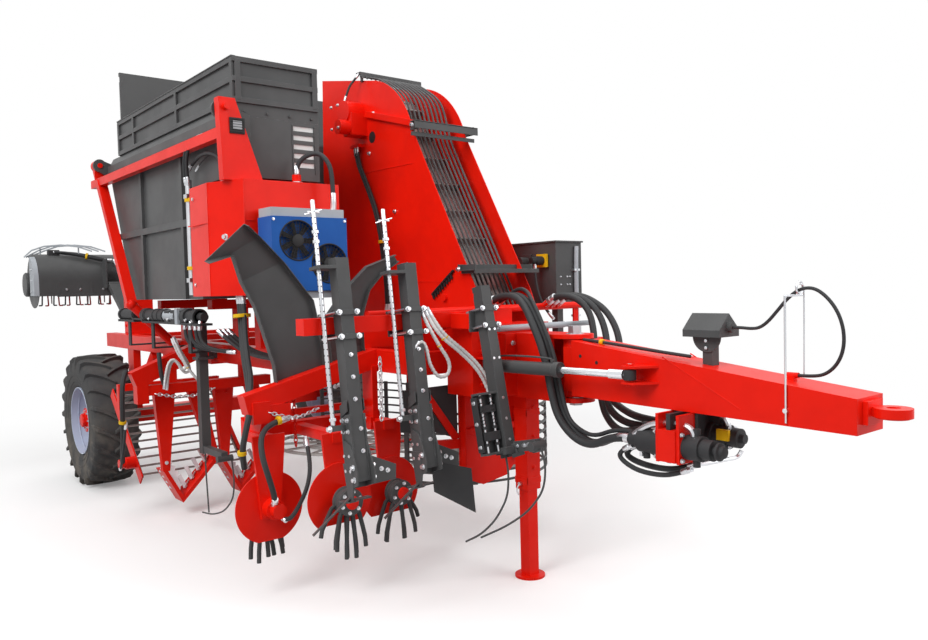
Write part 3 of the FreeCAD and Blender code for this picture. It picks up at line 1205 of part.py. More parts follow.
# ---------------------------------------------------------------- cleaner
def make_cleaner_frame():
    """Sloping hanger with the drop arm, the cross beam and the bearers of the flail rotors."""
    inner_face = INNER_RIGHT_Y - 50
    hx = HANGER_X
    low_end = (hx, -1515, 1172)
    high_end = (hx, inner_face + 60, 1402)
    hanger = bar(low_end, high_end, 100, 120)
    hanger = cut(hanger, box(hx - 200, hx + 200, inner_face, inner_face + 300, 1200, 1600))
    end_box = box(hx - 65, hx + 65, -1480, -1370, 1060, 1190)
    sleeve = box(hx - 60, hx + 60, -1370, -1235, 1040, 1165)
    cross_top = CROSS_Z + CROSS_SIDE
    drop = plate_xz([(hx - 60, 1150), (hx + 60, 1150), ("arc", (hx + 20, 1020), (hx - 60, 922)),
                     (CROSS_X, 922), (CROSS_X, cross_top + 60),
                     ("arc", (hx - 110, 1060), (hx - 60, 1150))], -1420, -1385)
    cross = box(CROSS_X, CROSS_X + CROSS_SIDE, -1400, -430, CROSS_Z, cross_top)
    inner_drop = box(hx - 60, hx + 60, -650, -610, cross_top, 1340)
    bridge = box(CROSS_X + CROSS_SIDE, hx + 60, -670, -590, CROSS_Z, cross_top)
    chain_bar = box(hx - 60, hx - 20, -1235, -650, 1070, 1110)
    bearers = [rotor_bearer(centre, side) for _, centre, side, _ in ROTORS]
    return join(hanger, end_box, sleeve, drop, cross, inner_drop, bridge, chain_bar, *bearers)


def rotor_bearer(centre, side):
    """Arm, hanging plate, round guard and spindle of one rotor; side is 1 for a guard in front."""
    x, y, z = centre
    near = x + side * (GUARD_SET_BACK - GUARD_THICKNESS)
    far = x + side * GUARD_SET_BACK
    outer = far + side * 20
    front = max(near, outer)
    arm = box(CROSS_X + CROSS_SIDE - 20, front, y - 38, y + 38, CROSS_Z + 10, CROSS_Z + 70)
    plate = plate_yz([(y - 60, z - 60), (y + 60, z - 60), (y + 105, CROSS_Z + 70),
                      (y - 105, CROSS_Z + 70)], min(far, outer), max(far, outer))
    guard = rod((near, y, z), (far, y, z), GUARD_R)
    low = GUARD_R * 0.7 if side < 0 else GUARD_R * 0.93
    guard = cut(guard, box(min(near, far) - 1, max(near, far) + 1, y - 300, y + 300,
                           z - 300, z - low))
    half = ROTOR_DISC_THICKNESS / 2
    hub = rod((far, y, z), (x + side * half, y, z), 42)
    stub = rod((x + side * half, y, z), (x - side * (half - 20), y, z), ROTOR_STUB_R)
    pieces = [arm, plate, guard, hub, stub]
    if side > 0:
        pieces.append(rod((outer, y, z), (outer + 70, y, z), 60))
        pieces.append(rod((outer + 70, y, z), (outer + 120, y, z), 44))
    return join(*pieces)


def make_flail_rotor(centre, side, phase):
    """Disc rotor with a fore-and-aft axis and rubber flails that hang from its rim."""
    x, y, z = centre
    half = ROTOR_DISC_THICKNESS / 2
    disc = rod((x - half, y, z), (x + half, y, z), ROTOR_DISC_R)
    flails = []
    for index, degrees in enumerate(FLAIL_ANGLES):
        angle = math.radians(degrees + phase)
        reach = ROTOR_DISC_R - 16
        root = (y + reach * math.cos(angle), z + reach * math.sin(angle))
        lean = math.radians(-90 + (degrees + 90) * 0.52 + phase * 0.4)
        length = FLAIL_REACH - reach - (10 if index % 2 else 0)
        tip = (root[0] + length * math.cos(lean), root[1] + length * math.sin(lean))
        offset = 20 if index % 2 else -20
        flails.append(bar((x + offset, *root), (x + offset, *tip), FLAIL_WIDTH, FLAIL_THICKNESS,
                          up=(1, 0, 0)))
    bore = rod((x + side * (half + 1), y, z), (x - side * (half - 19.5), y, z),
               ROTOR_STUB_R + RUN_GAP)
    return cut(join(disc, *flails), bore)


# ---------------------------------------------------------------- lifter
def make_lifter_frame():
    """Hanger, cross beam and the tapered legs and share bowls of both rows."""
    x = LIFTER_X
    outer_face = -RAIL_Y - RAIL_WIDTH / 2
    hanger = cut(bar((x, -1530, 1170), (x, outer_face, 1375), 100, 130),
                 box(x - 100, x + 100, outer_face, outer_face + 200, 1200, 1600))
    drop_out = box(x - 50, x + 50, -1510, -1420, LIFTER_BEAM_Z - 60, 1200)
    cross = box(x - 45, x + 45, -1420, -380, LIFTER_BEAM_Z, LIFTER_BEAM_Z + 80)
    hang_in = box(x - 40, x + 40, -640, -560, LIFTER_BEAM_Z + 80, RAIL_BOTTOM)
    top_link = box(x - 40, x + 40, -900, -560, RAIL_BOTTOM - 50, RAIL_BOTTOM)
    rows = [share_bowl(tip) for tip in LIFTER_TIPS]
    return join(hanger, drop_out, cross, hang_in, top_link, *rows)


def share_bowl(tip):
    """Two tapered legs that come together in the pointed share bowl of one row."""
    x = LIFTER_X
    z_top = LIFTER_BEAM_Z + 40
    left_leg = plate_yz([(tip - 205, z_top), (tip - 30, z_top), (tip - 98, 400), (tip - 153, 400)],
                        x - 100, x - 40)
    right_leg = plate_yz([(tip + 60, z_top), (tip + 190, z_top), (tip + 322, 440),
                          (tip + 262, 420)], x - 100, x - 40)
    outline = [(tip - 153, 405), (tip, SHARE_TIP_Z), (tip + 322, 445), (tip + 285, 455),
               (tip + 8, SHARE_TIP_Z + 52), (tip - 118, 405)]
    bowl = plate_yz(outline, x - 230, x - 40)
    return join(left_leg, right_leg, bowl)


def web_point(share):
    """Point of the lifter web's centre line, from its low end at 0 to its high end at 1."""
    return (WEB_LOW[0] + share * (WEB_HIGH[0] - WEB_LOW[0]),
            WEB_LOW[1] + share * (WEB_HIGH[1] - WEB_LOW[1]))


def make_lifter_web():
    """Round bars of the inclined web between its side plates."""
    bars = []
    for index in range(WEB_BARS):
        x, z = web_point(index / (WEB_BARS - 1))
        bars.append(rod((x, -1402, z), (x, -518, z), WEB_BAR_R))
    belts = []
    for y in (-1396, -536):
        start = web_point(-0.03)
        end = web_point(1.03)
        belts.append(bar((start[0], y + 6, start[1]), (end[0], y + 6, end[1]), 12, 24))
    return join(*bars, *belts)


def make_lifter_sides():
    """Side plates of the inclined web, hung from the chassis, with the web's drive motor."""
    plates = []
    for y in (-1408, -512):
        plates.append(bar((WEB_LOW[0] + 40, y, WEB_LOW[1] - 34),
                          (WEB_HIGH[0] - 40, y, WEB_HIGH[1] + 34), 12, 96))
    x, z = web_point(0.16)
    motor = join(rod((x, -1490, z), (x, -1414, z), 50), rod((x, -1540, z), (x, -1490, z), 38))
    hang = box(1000, 1060, -1000, -900, 1060, RAIL_BOTTOM)
    yoke = box(1000, 1060, -1414, -506, 1000, 1060)
    ears = [box(1000, 1060, y, y + 12, 800, 1000) for y in (-1414, -518)]
    return join(*plates, motor, yoke, *ears, hang)


# ---------------------------------------------------------------- cleaning turbines
def make_turbine(centre):
    """Sieve star: hub, ring and radial spokes."""
    x, y = centre
    z = TURBINE_Z
    hub = rod((x, y, z - 30), (x, y, z + 120), 80)
    rings = [tube((x, y, z - 10), (x, y, z + 10), TURBINE_R, TURBINE_R - 25),
             tube((x, y, z - 10), (x, y, z + 10), TURBINE_R * 0.62, TURBINE_R * 0.62 - 20)]
    spokes = []
    count = 12
    for index in range(count):
        angle = 2 * math.pi * index / count
        spokes.append(rod((x, y, z), (x + (TURBINE_R - 12) * math.cos(angle),
                                      y + (TURBINE_R - 12) * math.sin(angle), z), 10))
    bore = rod((x, y, z - 31), (x, y, z + 90), 30 + RUN_GAP)
    return cut(join(hub, *rings, *spokes), bore)


def make_turbine_carriers():
    """Spindle and carrier arm of each turbine, hung from the chassis."""
    pieces = []
    for x, y in (TURBINE_FRONT, TURBINE_REAR):
        z = TURBINE_Z
        spindle = rod((x, y, z - 70), (x, y, z + 89), 30)
        arm = box(x - 40, x + 40, y - 40, y + CAGE_R + 60, z - 150, z - 70)
        near = y + CAGE_R + 12 + SEAT_GAP
        rise = box(x - 40, x + 40, near, y + CAGE_R + 60, z - 150, RAIL_BOTTOM)
        reach_to = RAIL_Y if x < RAIL_FRONT else INNER_LEFT_Y
        y_a = min(near, reach_to)
        y_b = max(y + CAGE_R + 60, reach_to)
        top = box(x - 40, x + 40, y_a, y_b, RAIL_BOTTOM - 60, RAIL_BOTTOM)
        pieces.append(join(spindle, arm, rise, top))
    return group(*pieces)


def make_turbine_cages():
    """Cages of bent bars round the outer side of both turbines, on flat uprights."""
    cages = []
    for (x, y), first, last in ((TURBINE_FRONT, -75, 100), (TURBINE_REAR, 60, 170)):
        z0 = TURBINE_Z - 70
        z1 = TURBINE_Z + 430
        hoops = []
        count = 8
        for index in range(count):
            z = z0 + 12 + index * (z1 - z0 - 24) / (count - 1)
            hoop = tube((x, y, z - 7), (x, y, z + 7), CAGE_R + 6, CAGE_R - 8)
            hoops.append(hoop.common(wedge(x, y, first, last, z - 10, z + 10)))
        uprights = []
        stations = 5
        ring = tube((x, y, z0), (x, y, z1), CAGE_R + 12, CAGE_R - 2)
        for index in range(stations):
            middle = first + 1.5 + (last - first - 3) * index / (stations - 1)
            uprights.append(ring.common(wedge(x, y, middle - 1.5, middle + 1.5, z0, z1)))
        seat = ring.common(wedge(x, y, 87, 93, z0, z1))
        cages.append(join(*hoops, *uprights, seat))
    return group(*cages)


def wedge(x, y, first, last, z0, z1):
    """Pie slice used to trim rings."""
    points = [(x, y)]
    steps = 8
    for index in range(steps + 1):
        angle = math.radians(first + (last - first) * index / steps)
        points.append((x + 1500 * math.cos(angle), y + 1500 * math.sin(angle)))
    return plate_xy(points, z0, z1)


# ---------------------------------------------------------------- hose manifold and hoses


def make_hose_rail():
    """Round rail across the front with the stubs of its hoses, on three stand-offs."""
    rail = rod((MANIFOLD_X, -950, MANIFOLD_Z), (MANIFOLD_X, 900, MANIFOLD_Z), MANIFOLD_R)
    beam_top = RAIL_BOTTOM + RAIL_HEIGHT
    stands = [box(MANIFOLD_X - 14, MANIFOLD_X - 2, y, y + 50, beam_top - 10, MANIFOLD_Z - 10)
              for y in (-590, 800)]
    stands.append(box(HEAD_REAR, MANIFOLD_X + 24, -340, -300, HEAD_TOP - 10, MANIFOLD_Z))
    stubs = [rod((MANIFOLD_X, y, MANIFOLD_Z), (*PORT_END[:1], y, PORT_END[1]), radius + 2)
             for y, radius in FRONT_HOSE_PORTS]
    return join(rail, *stands, *stubs)


def make_front_hoses():
    """Hoses from the rail over the head and down past the pivot to the pumps."""
    hoses = []
    for port, (side, fore, end) in zip(FRONT_HOSE_PORTS[:3], RIGHT_HOSE_LANES):
        hoses.append(hose(right_hose_route(port[0], side, fore, end), port[1]))
    for port, (shift, end) in zip(FRONT_HOSE_PORTS[3:], LEFT_HOSE_LANES):
        hoses.append(hose(left_hose_route(port[0], shift, end), port[1]))
    return group(*hoses)


def right_hose_route(y, side, fore, end):
    """Route of a hose that passes the pivot on its right, side off centre and fore in front."""
    x, z = PORT_END
    lift = 0.9 * fore
    return [(x, y, z), (x + 65, y, z + 40), (4640, y, 1782 + lift),
            (4780, (2 * y + side) / 3, 1765 + lift), (4890, (y + 2 * side) / 3, 1705 + lift),
            (4985 + fore / 2, side, 1622 + lift), (5052 + fore, side, 1500),
            (5100 + fore, side, 1370), (5130 + fore, side, 1230),
            (5175 + fore, side, 1090), (5290, side, 985 + fore), (5430, end[0], 950 + fore),
            (5590, *end), (5700, *end)]


def left_hose_route(y, shift, end):
    """Route of a hose that passes the pivot on its left, shift behind the last one."""
    x, z = PORT_END
    return [(x, y, z), (x + 65, y, z + 40), (4620, y, 1765), (4740, y, 1735),
            (4840 + shift / 2, y - 10, 1650), (4900 + shift, y - 40, 1490),
            (4925 + shift, y - 85, 1320), (4985 + shift, 400, 1150 + shift / 2),
            (5110 + shift / 3, 300, 1020 + shift), (5320, 191 + 0.5 * shift, 959 + shift),
            (5560, *end), (5700, *end)]


def make_elevator_hoses():
    """Two hoses down the elevator's right plate, between a fitting and a bulkhead plate."""
    y = ELEV_RIGHT - 34
    hoses = [hose([(x + offset, y, z) for x, z in ELEV_HOSE_ROUTE], ELEV_HOSE_R)
             for offset in (0, 2.6 * ELEV_HOSE_R)]
    return group(*hoses)


def make_hose_brackets():
    """Bulkhead brackets on the elevator's right plate that hold the two hoses."""
    brackets = []
    for x, z in (ELEV_HOSE_ROUTE[0], ELEV_HOSE_ROUTE[-1]):
        low = z if z > 2500 else z - 24
        brackets.append(box(x - 40, x + 80, ELEV_RIGHT - 60, ELEV_RIGHT, low, low + 24))
    return brackets


def make_cooler_hose():
    """Hose from the fitting on the tank's top to the cooler's upper header."""
    return hose(COOLER_HOSE_ROUTE, COOLER_HOSE_R)


def make_riser_pipe():
    """Oil pipe up the hopper's right side with its clamps."""
    y = HOPPER_RIGHT - PIPE_STAND_OFF
    pipe = rod((PIPE_X, y, PIPE_BOTTOM), (PIPE_X, y, PIPE_TOP), PIPE_R)
    feet = [box(PIPE_X - 30, PIPE_X + 30, y - PIPE_R - 6, HOPPER_RIGHT, z, z + 30)
            for z in (PIPE_BOTTOM + 90, PIPE_TOP - 130)]
    return join(pipe, *feet)


def make_side_valves():
    """Row of valves and a pressure cylinder along the right rail, under the hopper."""
    y = SIDE_VALVE_Y
    z = SIDE_VALVE_Z
    x = SIDE_VALVE_X
    shelf = box(x, x + SIDE_VALVE_LENGTH, y - 45, y + 45, z - 62, z - 46)
    legs = [box(x + reach, x + reach + 60, y - 20, -RAIL_Y - RAIL_WIDTH / 2,
                RAIL_BOTTOM + RAIL_HEIGHT - 40, RAIL_BOTTOM + RAIL_HEIGHT - 28)
            for reach in (150, SIDE_VALVE_LENGTH - 320)]
    struts = [box(x + reach, x + reach + 60, y - 20, y - 8,
                  RAIL_BOTTOM + RAIL_HEIGHT - 40, z - 62)
              for reach in (150, SIDE_VALVE_LENGTH - 320)]
    cylinder = rod((x + 30, y, z), (x + 500, y, z), 50)
    caps = [rod((x + start, y, z), (x + start + 30, y, z), 55) for start in (30, 250, 470)]
    blocks = [box(x + start, x + start + 110, y - 42, y + 42, z - 50, z + 45)
              for start in (540, 675, 810)]
    motor = join(rod((x + 960, y, z), (x + 1180, y, z), 44),
                 rod((x + 1180, y, z), (x + 1260, y, z), 30))
    link = box(x + 490, x + 970, y - 25, y + 25, z - 50, z - 10)
    rear = x - REAR_VALVE_OFFSET
    rear_shelf = box(rear, rear + 450, y - 45, y + 45, z - 62, z - 42)
    rear_leg = [box(rear + 200, rear + 260, y - 20, -RAIL_Y - RAIL_WIDTH / 2,
                    RAIL_BOTTOM + RAIL_HEIGHT - 40, RAIL_BOTTOM + RAIL_HEIGHT - 28),
                box(rear + 200, rear + 260, y - 20, y - 8, RAIL_BOTTOM + RAIL_HEIGHT - 40, z - 62)]
    rear_barrel = [rod((rear + 10, y, z), (rear + 440, y, z), 46),
                   rod((rear + 30, y, z), (rear + 70, y, z), 55),
                   rod((rear + 380, y, z), (rear + 420, y, z), 55)]
    crossover = rod((rear + 440, y - 40, z - 34), (x + 30, y - 40, z - 34), 9)
    ends = [box(rear + 430, rear + 450, y - 50, y + 10, z - 50, z - 20),
            box(x, x + 30, y - 50, y + 10, z - 50, z - 20)]
    return join(shelf, *legs, *struts, cylinder, *caps, *blocks, motor, link, rear_shelf,
                *rear_leg, *rear_barrel, crossover, *ends)


# ---------------------------------------------------------------- leaf topper
def make_topper_bracket():
    """Upright bracket on the chassis' rear with the pins of the topper's arms."""
    x = TOPPER_PIVOT_X
    z = TOPPER_PIVOT_Z
    pieces = []
    for y in (-880, -640):
        pieces.append(box(x - 45, RAIL_REAR, y, y + 20, RAIL_BOTTOM, z + TOPPER_LINK_RISE + 45))
    back = box(RAIL_REAR, RAIL_REAR + 12, -880, -620, RAIL_BOTTOM + RAIL_HEIGHT - 10,
               z + TOPPER_LINK_RISE + 45)
    pins = [rod((x, -890, h), (x, -610, h), 16) for h in (z, z + TOPPER_LINK_RISE)]
    return join(*pieces, back, *pins)


def topper_link(z_shift, y0, y1, width):
    """Arm of the topper's parallel linkage between a chassis pin and a topper pin."""
    a = (TOPPER_PIVOT_X, (y0 + y1) / 2, TOPPER_PIVOT_Z + z_shift)
    b = (TOPPER_ARM_X, (y0 + y1) / 2, TOPPER_ARM_Z + z_shift)
    body = bar(a, b, y1 - y0, width)
    ends = [rod((p[0], y0, p[2]), (p[0], y1, p[2]), width / 2 + 8) for p in (a, b)]
    bores = [rod((p[0], y0 - 1, p[2]), (p[0], y1 + 1, p[2]), 16 + RUN_GAP) for p in (a, b)]
    return cut(join(body, *ends), *bores)


def make_topper_housing():
    """Arched hood with end plates, a hitch bracket, a curved guard and the rotor's stubs."""
    cx, cz = TOPPER_CENTRE
    y0, y1 = TOPPER_RIGHT, TOPPER_LEFT
    r = TOPPER_R
    hood = cut(join(rod((cx, y0, cz), (cx, y1, cz), r),
                    box(cx - r, cx + r, y0, y1, cz - 170, cz)),
               rod((cx, y0 + 6, cz), (cx, y1 - 6, cz), r - 6),
               box(cx - r + 6, cx + r - 6, y0 + 6, y1 - 6, cz - 180, cz),
               box(cx - r - 1, cx + r + 1, y0 + 6, y1 - 6, cz - 320, cz - 169))
    ears = []
    for y in (-882, -654):
        ears.append(plate_xz([(cx + 200, cz + 150), (cx + 330, cz - 90),
                              (TOPPER_ARM_X + 20, TOPPER_ARM_Z - 35),
                              (TOPPER_ARM_X + 35, TOPPER_ARM_Z + TOPPER_LINK_RISE + 30),
                              (TOPPER_ARM_X - 40, TOPPER_ARM_Z + TOPPER_LINK_RISE + 40)], y, y + 16))
    ears = [cut(ear, rod((cx, -2000, cz), (cx, 0, cz), r - 3)) for ear in ears]
    pins = [rod((TOPPER_ARM_X, -882, TOPPER_ARM_Z + h), (TOPPER_ARM_X, -638, TOPPER_ARM_Z + h), 16)
            for h in (0, TOPPER_LINK_RISE)]
    stubs = [rod((cx, y0 + 5, cz), (cx, y0 + 70, cz), 26),
             rod((cx, y1 - 70, cz), (cx, y1 - 5, cz), 26)]
    return join(hood, *ears, *pins, *stubs)


def make_topper_rotor():
    """Flail shaft of the topper with hanging tines."""
    cx, cz = TOPPER_CENTRE
    y0 = TOPPER_RIGHT + 42
    y1 = TOPPER_LEFT - 42
    core = rod((cx, y0, cz), (cx, y1, cz), 70)
    tines = []
    count = 11
    step = (y1 - y0 - 80) / (count - 1)
    for index in range(count):
        y = y0 + 40 + index * step
        for degrees in ((-90, 30, 150) if index % 2 else (-30, 90, 210)):
            angle = math.radians(degrees)
            tip = (cx + TOPPER_FLAIL_R * math.cos(angle), y, cz + TOPPER_FLAIL_R * math.sin(angle))
            tines.append(bar((cx, y, cz), tip, 16, 10, up=(0, 1, 0)))
    bores = [rod((cx, y0 - 1, cz), (cx, y0 + 30, cz), 26 + RUN_GAP),
             rod((cx, y1 - 30, cz), (cx, y1 + 1, cz), 26 + RUN_GAP)]
    return cut(join(core, *tines), *bores)


# ---------------------------------------------------------------- assembly
def build():
    """Make every node in the machine frame."""
    for name, side in (("right", -1), ("left", 1)):
        add(f"tyre_{name}", make_tyre(side * WHEEL_Y))
        add(f"rim_{name}", make_rim(side))
        add(f"steering_barrel_{name}", make_steer_barrel(side))
        add(f"steering_rod_{name}", make_steer_rod(side))
    add("axle", make_axle())
    add("chassis_frame", make_chassis())
    add("front_head", make_head())
    add("drawbar", make_drawbar())
    add("hitch_eye", make_hitch_eye())
    add("pump_set", make_pump_set())
    add("connector_box", make_connector_box())
    add("cable_holder", make_cable_holder())
    add("drawbar_cable", make_drawbar_cable())
    add("jack_housing", make_jack_housing())
    add("jack_leg", make_jack_leg())
    add("hopper_body", make_hopper_body())
    add("hopper_extension", make_hopper_extension())
    add("hopper_towers", make_towers())
    add("oil_tank", make_tank())
    add("oil_cooler", make_cooler())
    for name, centre in zip(("upper", "lower"), fan_centres()):
        add(f"cooler_fan_{name}", make_fan(centre))
    add("elevator_casing", make_elevator_casing())
    add("elevator_web", make_elevator_web())
    add("elevator_guard", make_elevator_guard())
    add("elevator_gearbox", make_gearbox())
    add("valve_cabinet", make_cabinet())
    add("leaf_chutes", make_chutes())
    add("scalper_right", make_scalper(POST_ROWS[0], 2010, POST_FOOT_Z))
    add("scalper_left", make_scalper(POST_ROWS[1], 1980, POST_FOOT_Z))
    add("row_flap", make_row_flap())
    add("row_feeler", make_row_feeler())
    add("front_hoses", make_front_hoses())
    add("elevator_hoses", make_elevator_hoses())
    add("cooler_hose", make_cooler_hose())
    add("riser_pipe", make_riser_pipe())
    add("side_valves", make_side_valves())
    add("lifter_feeler", make_lifter_feeler())
    add("cleaner_frame", make_cleaner_frame())
    for name, centre, side, phase in ROTORS:
        add(f"flail_rotor_{name}", make_flail_rotor(centre, side, phase))
    add("lifter_frame", make_lifter_frame())
    add("lifter_web", make_lifter_web())
    add("lifter_sides", make_lifter_sides())
    add("turbine_front", make_turbine(TURBINE_FRONT))
    add("turbine_rear", make_turbine(TURBINE_REAR))
    add("turbine_carriers", make_turbine_carriers())
    add("turbine_cages", make_turbine_cages())
    add("topper_lower_arm", topper_link(0, -856, -664, 60))
    add("topper_upper_link", topper_link(TOPPER_LINK_RISE, -800, -740, 50))
    add("topper_housing", make_topper_housing())
    add("topper_rotor", make_topper_rotor())


def export():
    """Move the pieces to the row's origin and write one STEP file for each."""
    whole = Part.makeCompound(list(PARTS.values()))
    limits = whole.optimalBoundingBox(False, False)
    shift = Vector(-(limits.XMin + limits.XMax) / 2, -(limits.YMin + limits.YMax) / 2, 0)
    print("shift", [round(v, 3) for v in shift], "lowest", round(limits.ZMin, 3))
    print("size", [round(v, 1) for v in (limits.XLength, limits.YLength, limits.ZLength)])
    os.makedirs("parts", exist_ok=True)
    for name, shape in PARTS.items():
        moved = shape.copy()
        moved.translate(shift)
        moved.exportStep(f"parts/{name}.step")
        if not moved.isValid():
            print("invalid", name)
    print(len(PARTS), "nodes")


build()
export()
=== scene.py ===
"""Looks of a towed sugar beet harvester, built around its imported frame."""

import json
import logging
import math
from dataclasses import dataclass, field, replace
from enum import Enum
from itertools import product
from typing import ClassVar, Iterable, Sequence

import bmesh
import bpy
from mathutils import Matrix, Vector


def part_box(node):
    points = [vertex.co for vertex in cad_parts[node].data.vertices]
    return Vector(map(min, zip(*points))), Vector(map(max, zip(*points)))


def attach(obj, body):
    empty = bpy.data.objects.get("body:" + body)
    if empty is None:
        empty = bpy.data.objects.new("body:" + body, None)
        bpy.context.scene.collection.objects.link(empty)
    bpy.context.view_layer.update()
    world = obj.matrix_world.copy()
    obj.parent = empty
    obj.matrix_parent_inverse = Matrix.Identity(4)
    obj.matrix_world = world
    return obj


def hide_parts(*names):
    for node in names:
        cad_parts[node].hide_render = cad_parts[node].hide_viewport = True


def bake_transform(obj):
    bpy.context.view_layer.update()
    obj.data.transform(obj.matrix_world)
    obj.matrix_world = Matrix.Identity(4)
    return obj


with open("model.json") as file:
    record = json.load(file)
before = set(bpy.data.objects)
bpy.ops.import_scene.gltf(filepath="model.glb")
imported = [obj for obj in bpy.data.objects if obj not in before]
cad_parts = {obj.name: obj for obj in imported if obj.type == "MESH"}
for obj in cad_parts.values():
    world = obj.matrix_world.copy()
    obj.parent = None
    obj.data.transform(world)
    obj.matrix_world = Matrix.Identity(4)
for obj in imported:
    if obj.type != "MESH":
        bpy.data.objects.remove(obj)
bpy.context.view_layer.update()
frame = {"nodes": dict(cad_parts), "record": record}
LOG = logging.getLogger("harvester")

Point = tuple[float, float, float]
Colour = tuple[float, float, float]

# ---------------------------------------------------------------- frame anchors
TYRE_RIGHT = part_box("tyre_right")
TYRE_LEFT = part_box("tyre_left")
AXLE_X = (TYRE_RIGHT[0].x + TYRE_RIGHT[1].x) / 2
CENTRE_Y = (TYRE_RIGHT[0].y + TYRE_LEFT[1].y) / 2
ORIGIN = Vector((AXLE_X, CENTRE_Y, 0.0))
FORE = Vector((1, 0, 0))
LEFT = Vector((0, 1, 0))
UP = Vector((0, 0, 1))


def at(x: float, y: float, z: float) -> Vector:
    """Place in the row frame of a point in machine metres.

    Args:
        x: metres forward of the axle.
        y: metres to the left of the centre line.
        z: metres above the ground.

    Returns:
        The same point in the row frame.
    """
    return ORIGIN + Vector((x, y, z))


def lean(point: Point, degrees: float, x: float, z: float) -> Vector:
    """Place in the row frame of a machine point leaned about a cross axis.

    Args:
        point: the upright point, in machine metres.
        degrees: the lean, with the lower end forward.
        x: the axis's place along the machine.
        z: the axis's height.

    Returns:
        The leaned point.
    """
    pivot = Vector((x, 0.0, z))
    return ORIGIN + pivot + Matrix.Rotation(-math.radians(degrees), 3, "Y") @ (Vector(point) - pivot)


# ---------------------------------------------------------------- shader groups
FLOAT, INT, VECTOR, ROTATION, MATERIAL, GEOMETRY = (
    "NodeSocket" + kind for kind in ("Float", "Int", "Vector", "Rotation", "Material", "Geometry"))


class NodeSheet:
    """A short way to write shader or geometry nodes and their links."""

    def __init__(self, tree: bpy.types.NodeTree) -> None:
        """Keep the tree that the nodes go into."""
        self.tree = tree

    def node(self, kind: str, feeds: dict | None = None, **settings: object) -> bpy.types.Node:
        """Add a node.

        Args:
            kind: the node's type name.
            feeds: what goes into its inputs, by name or number.
            settings: attributes of the node to set.

        Returns:
            The new node.
        """
        made = self.tree.nodes.new(kind)
        for name, value in settings.items():
            setattr(made, name, value)
        for key, value in (feeds or {}).items():
            self.feed(made.inputs[key], value)
        return made

    def feed(self, target: bpy.types.NodeSocket, value: object) -> None:
        """Link a node's first output or a socket to an input, or set the input's value.

        Args:
            target: the input.
            value: a node, a socket or a plain value.
        """
        if isinstance(value, bpy.types.Node):
            value = value.outputs[0]
        if isinstance(value, bpy.types.NodeSocket):
            self.tree.links.new(value, target)
        else:
            target.default_value = value

    def maths(self, operation: str, first: object, second: object = 0.0) -> bpy.types.NodeSocket:
        """The result of a Math node on two sockets or numbers."""
        return self.node("ShaderNodeMath", {0: first, 1: second}, operation=operation).outputs[0]

    def ramp(self, source: bpy.types.NodeSocket, low: float, high: float) -> bpy.types.NodeSocket:
        """A value stretched smoothly from 0 at low to 1 at high."""
        feeds = {"Value": source, "From Min": low, "From Max": high}
        return self.node("ShaderNodeMapRange", feeds, interpolation_type="SMOOTHSTEP").outputs["Result"]

    def noise(self, place: bpy.types.NodeSocket, scale: object, detail: float,
              roughness: float = 0.5) -> bpy.types.NodeSocket:
        """The value of a noise over a place."""
        feeds = {"Vector": place, "Scale": scale, "Detail": detail, "Roughness": roughness}
        return self.node("ShaderNodeTexNoise", feeds).outputs["Fac"]

    def place(self) -> bpy.types.NodeSocket:
        """The place on the object."""
        return self.node("ShaderNodeTexCoord").outputs["Object"]

    def normal(self) -> bpy.types.NodeSocket:
        """The surface's own normal."""
        return self.node("ShaderNodeNewGeometry").outputs["Normal"]

    def height(self, vector: bpy.types.NodeSocket) -> bpy.types.NodeSocket:
        """The upward part of a vector."""
        return self.node("ShaderNodeSeparateXYZ", {0: vector}).outputs["Z"]

    def seen(self, *more: str) -> bpy.types.NodeSocket:
        """1 on rays from the camera or off a glossy face, and on any other kind that is named.

        Args:
            more: the light path's names of the other kinds.

        Returns:
            The value, 0 or 1.
        """
        path = self.node("ShaderNodeLightPath").outputs
        shown = self.maths("MAXIMUM", path["Is Camera Ray"], path["Is Glossy Ray"])
        for kind in more:
            shown = self.maths("MAXIMUM", shown, path[kind])
        return shown


class Effect:
    """A shader node group with named sockets, made once and placed in many materials."""

    def __init__(self, name: str, inputs: Sequence[tuple[str, float]],
                 outputs: Sequence[tuple[str, str]]) -> None:
        """Start the group.

        Args:
            name: the group's name.
            inputs: name and first value of each input.
            outputs: name and kind of each output.
        """
        self.group = bpy.data.node_groups.new(name, "ShaderNodeTree")
        face = self.group.interface
        for title, value in inputs:
            face.new_socket(name=title, in_out="INPUT", socket_type=FLOAT).default_value = value
        for title, kind in outputs:
            face.new_socket(name=title, in_out="OUTPUT", socket_type=kind)
        self.sheet = NodeSheet(self.group)
        self.start = self.sheet.node("NodeGroupInput").outputs
        self.lay_out()

    def lay_out(self) -> None:
        """Place the group's own nodes and call close()."""
        raise NotImplementedError

    def close(self, **results: bpy.types.NodeSocket) -> None:
        """Feed the group's outputs."""
        self.sheet.node("NodeGroupOutput", results)

    def put(self, sheet: NodeSheet, **values: float) -> bpy.types.NodeOutputs:
        """Place the group with its own values.

        Args:
            sheet: where it goes.
            values: its inputs by name.

        Returns:
            Its outputs.
        """
        return sheet.node("ShaderNodeGroup", values, node_tree=self.group).outputs


class Grain(Effect):
    """Fine unevenness as a height, and a slow mottle."""

    def lay_out(self) -> None:
        """Two noises of the object's own space."""
        sheet = self.sheet
        place = sheet.place()
        slow = sheet.noise(place, self.start["Mottle Scale"], 4.0, 0.6)
        self.close(Height=sheet.noise(place, self.start["Scale"], 3.0), Mottle=sheet.ramp(slow, 0.35, 0.68))


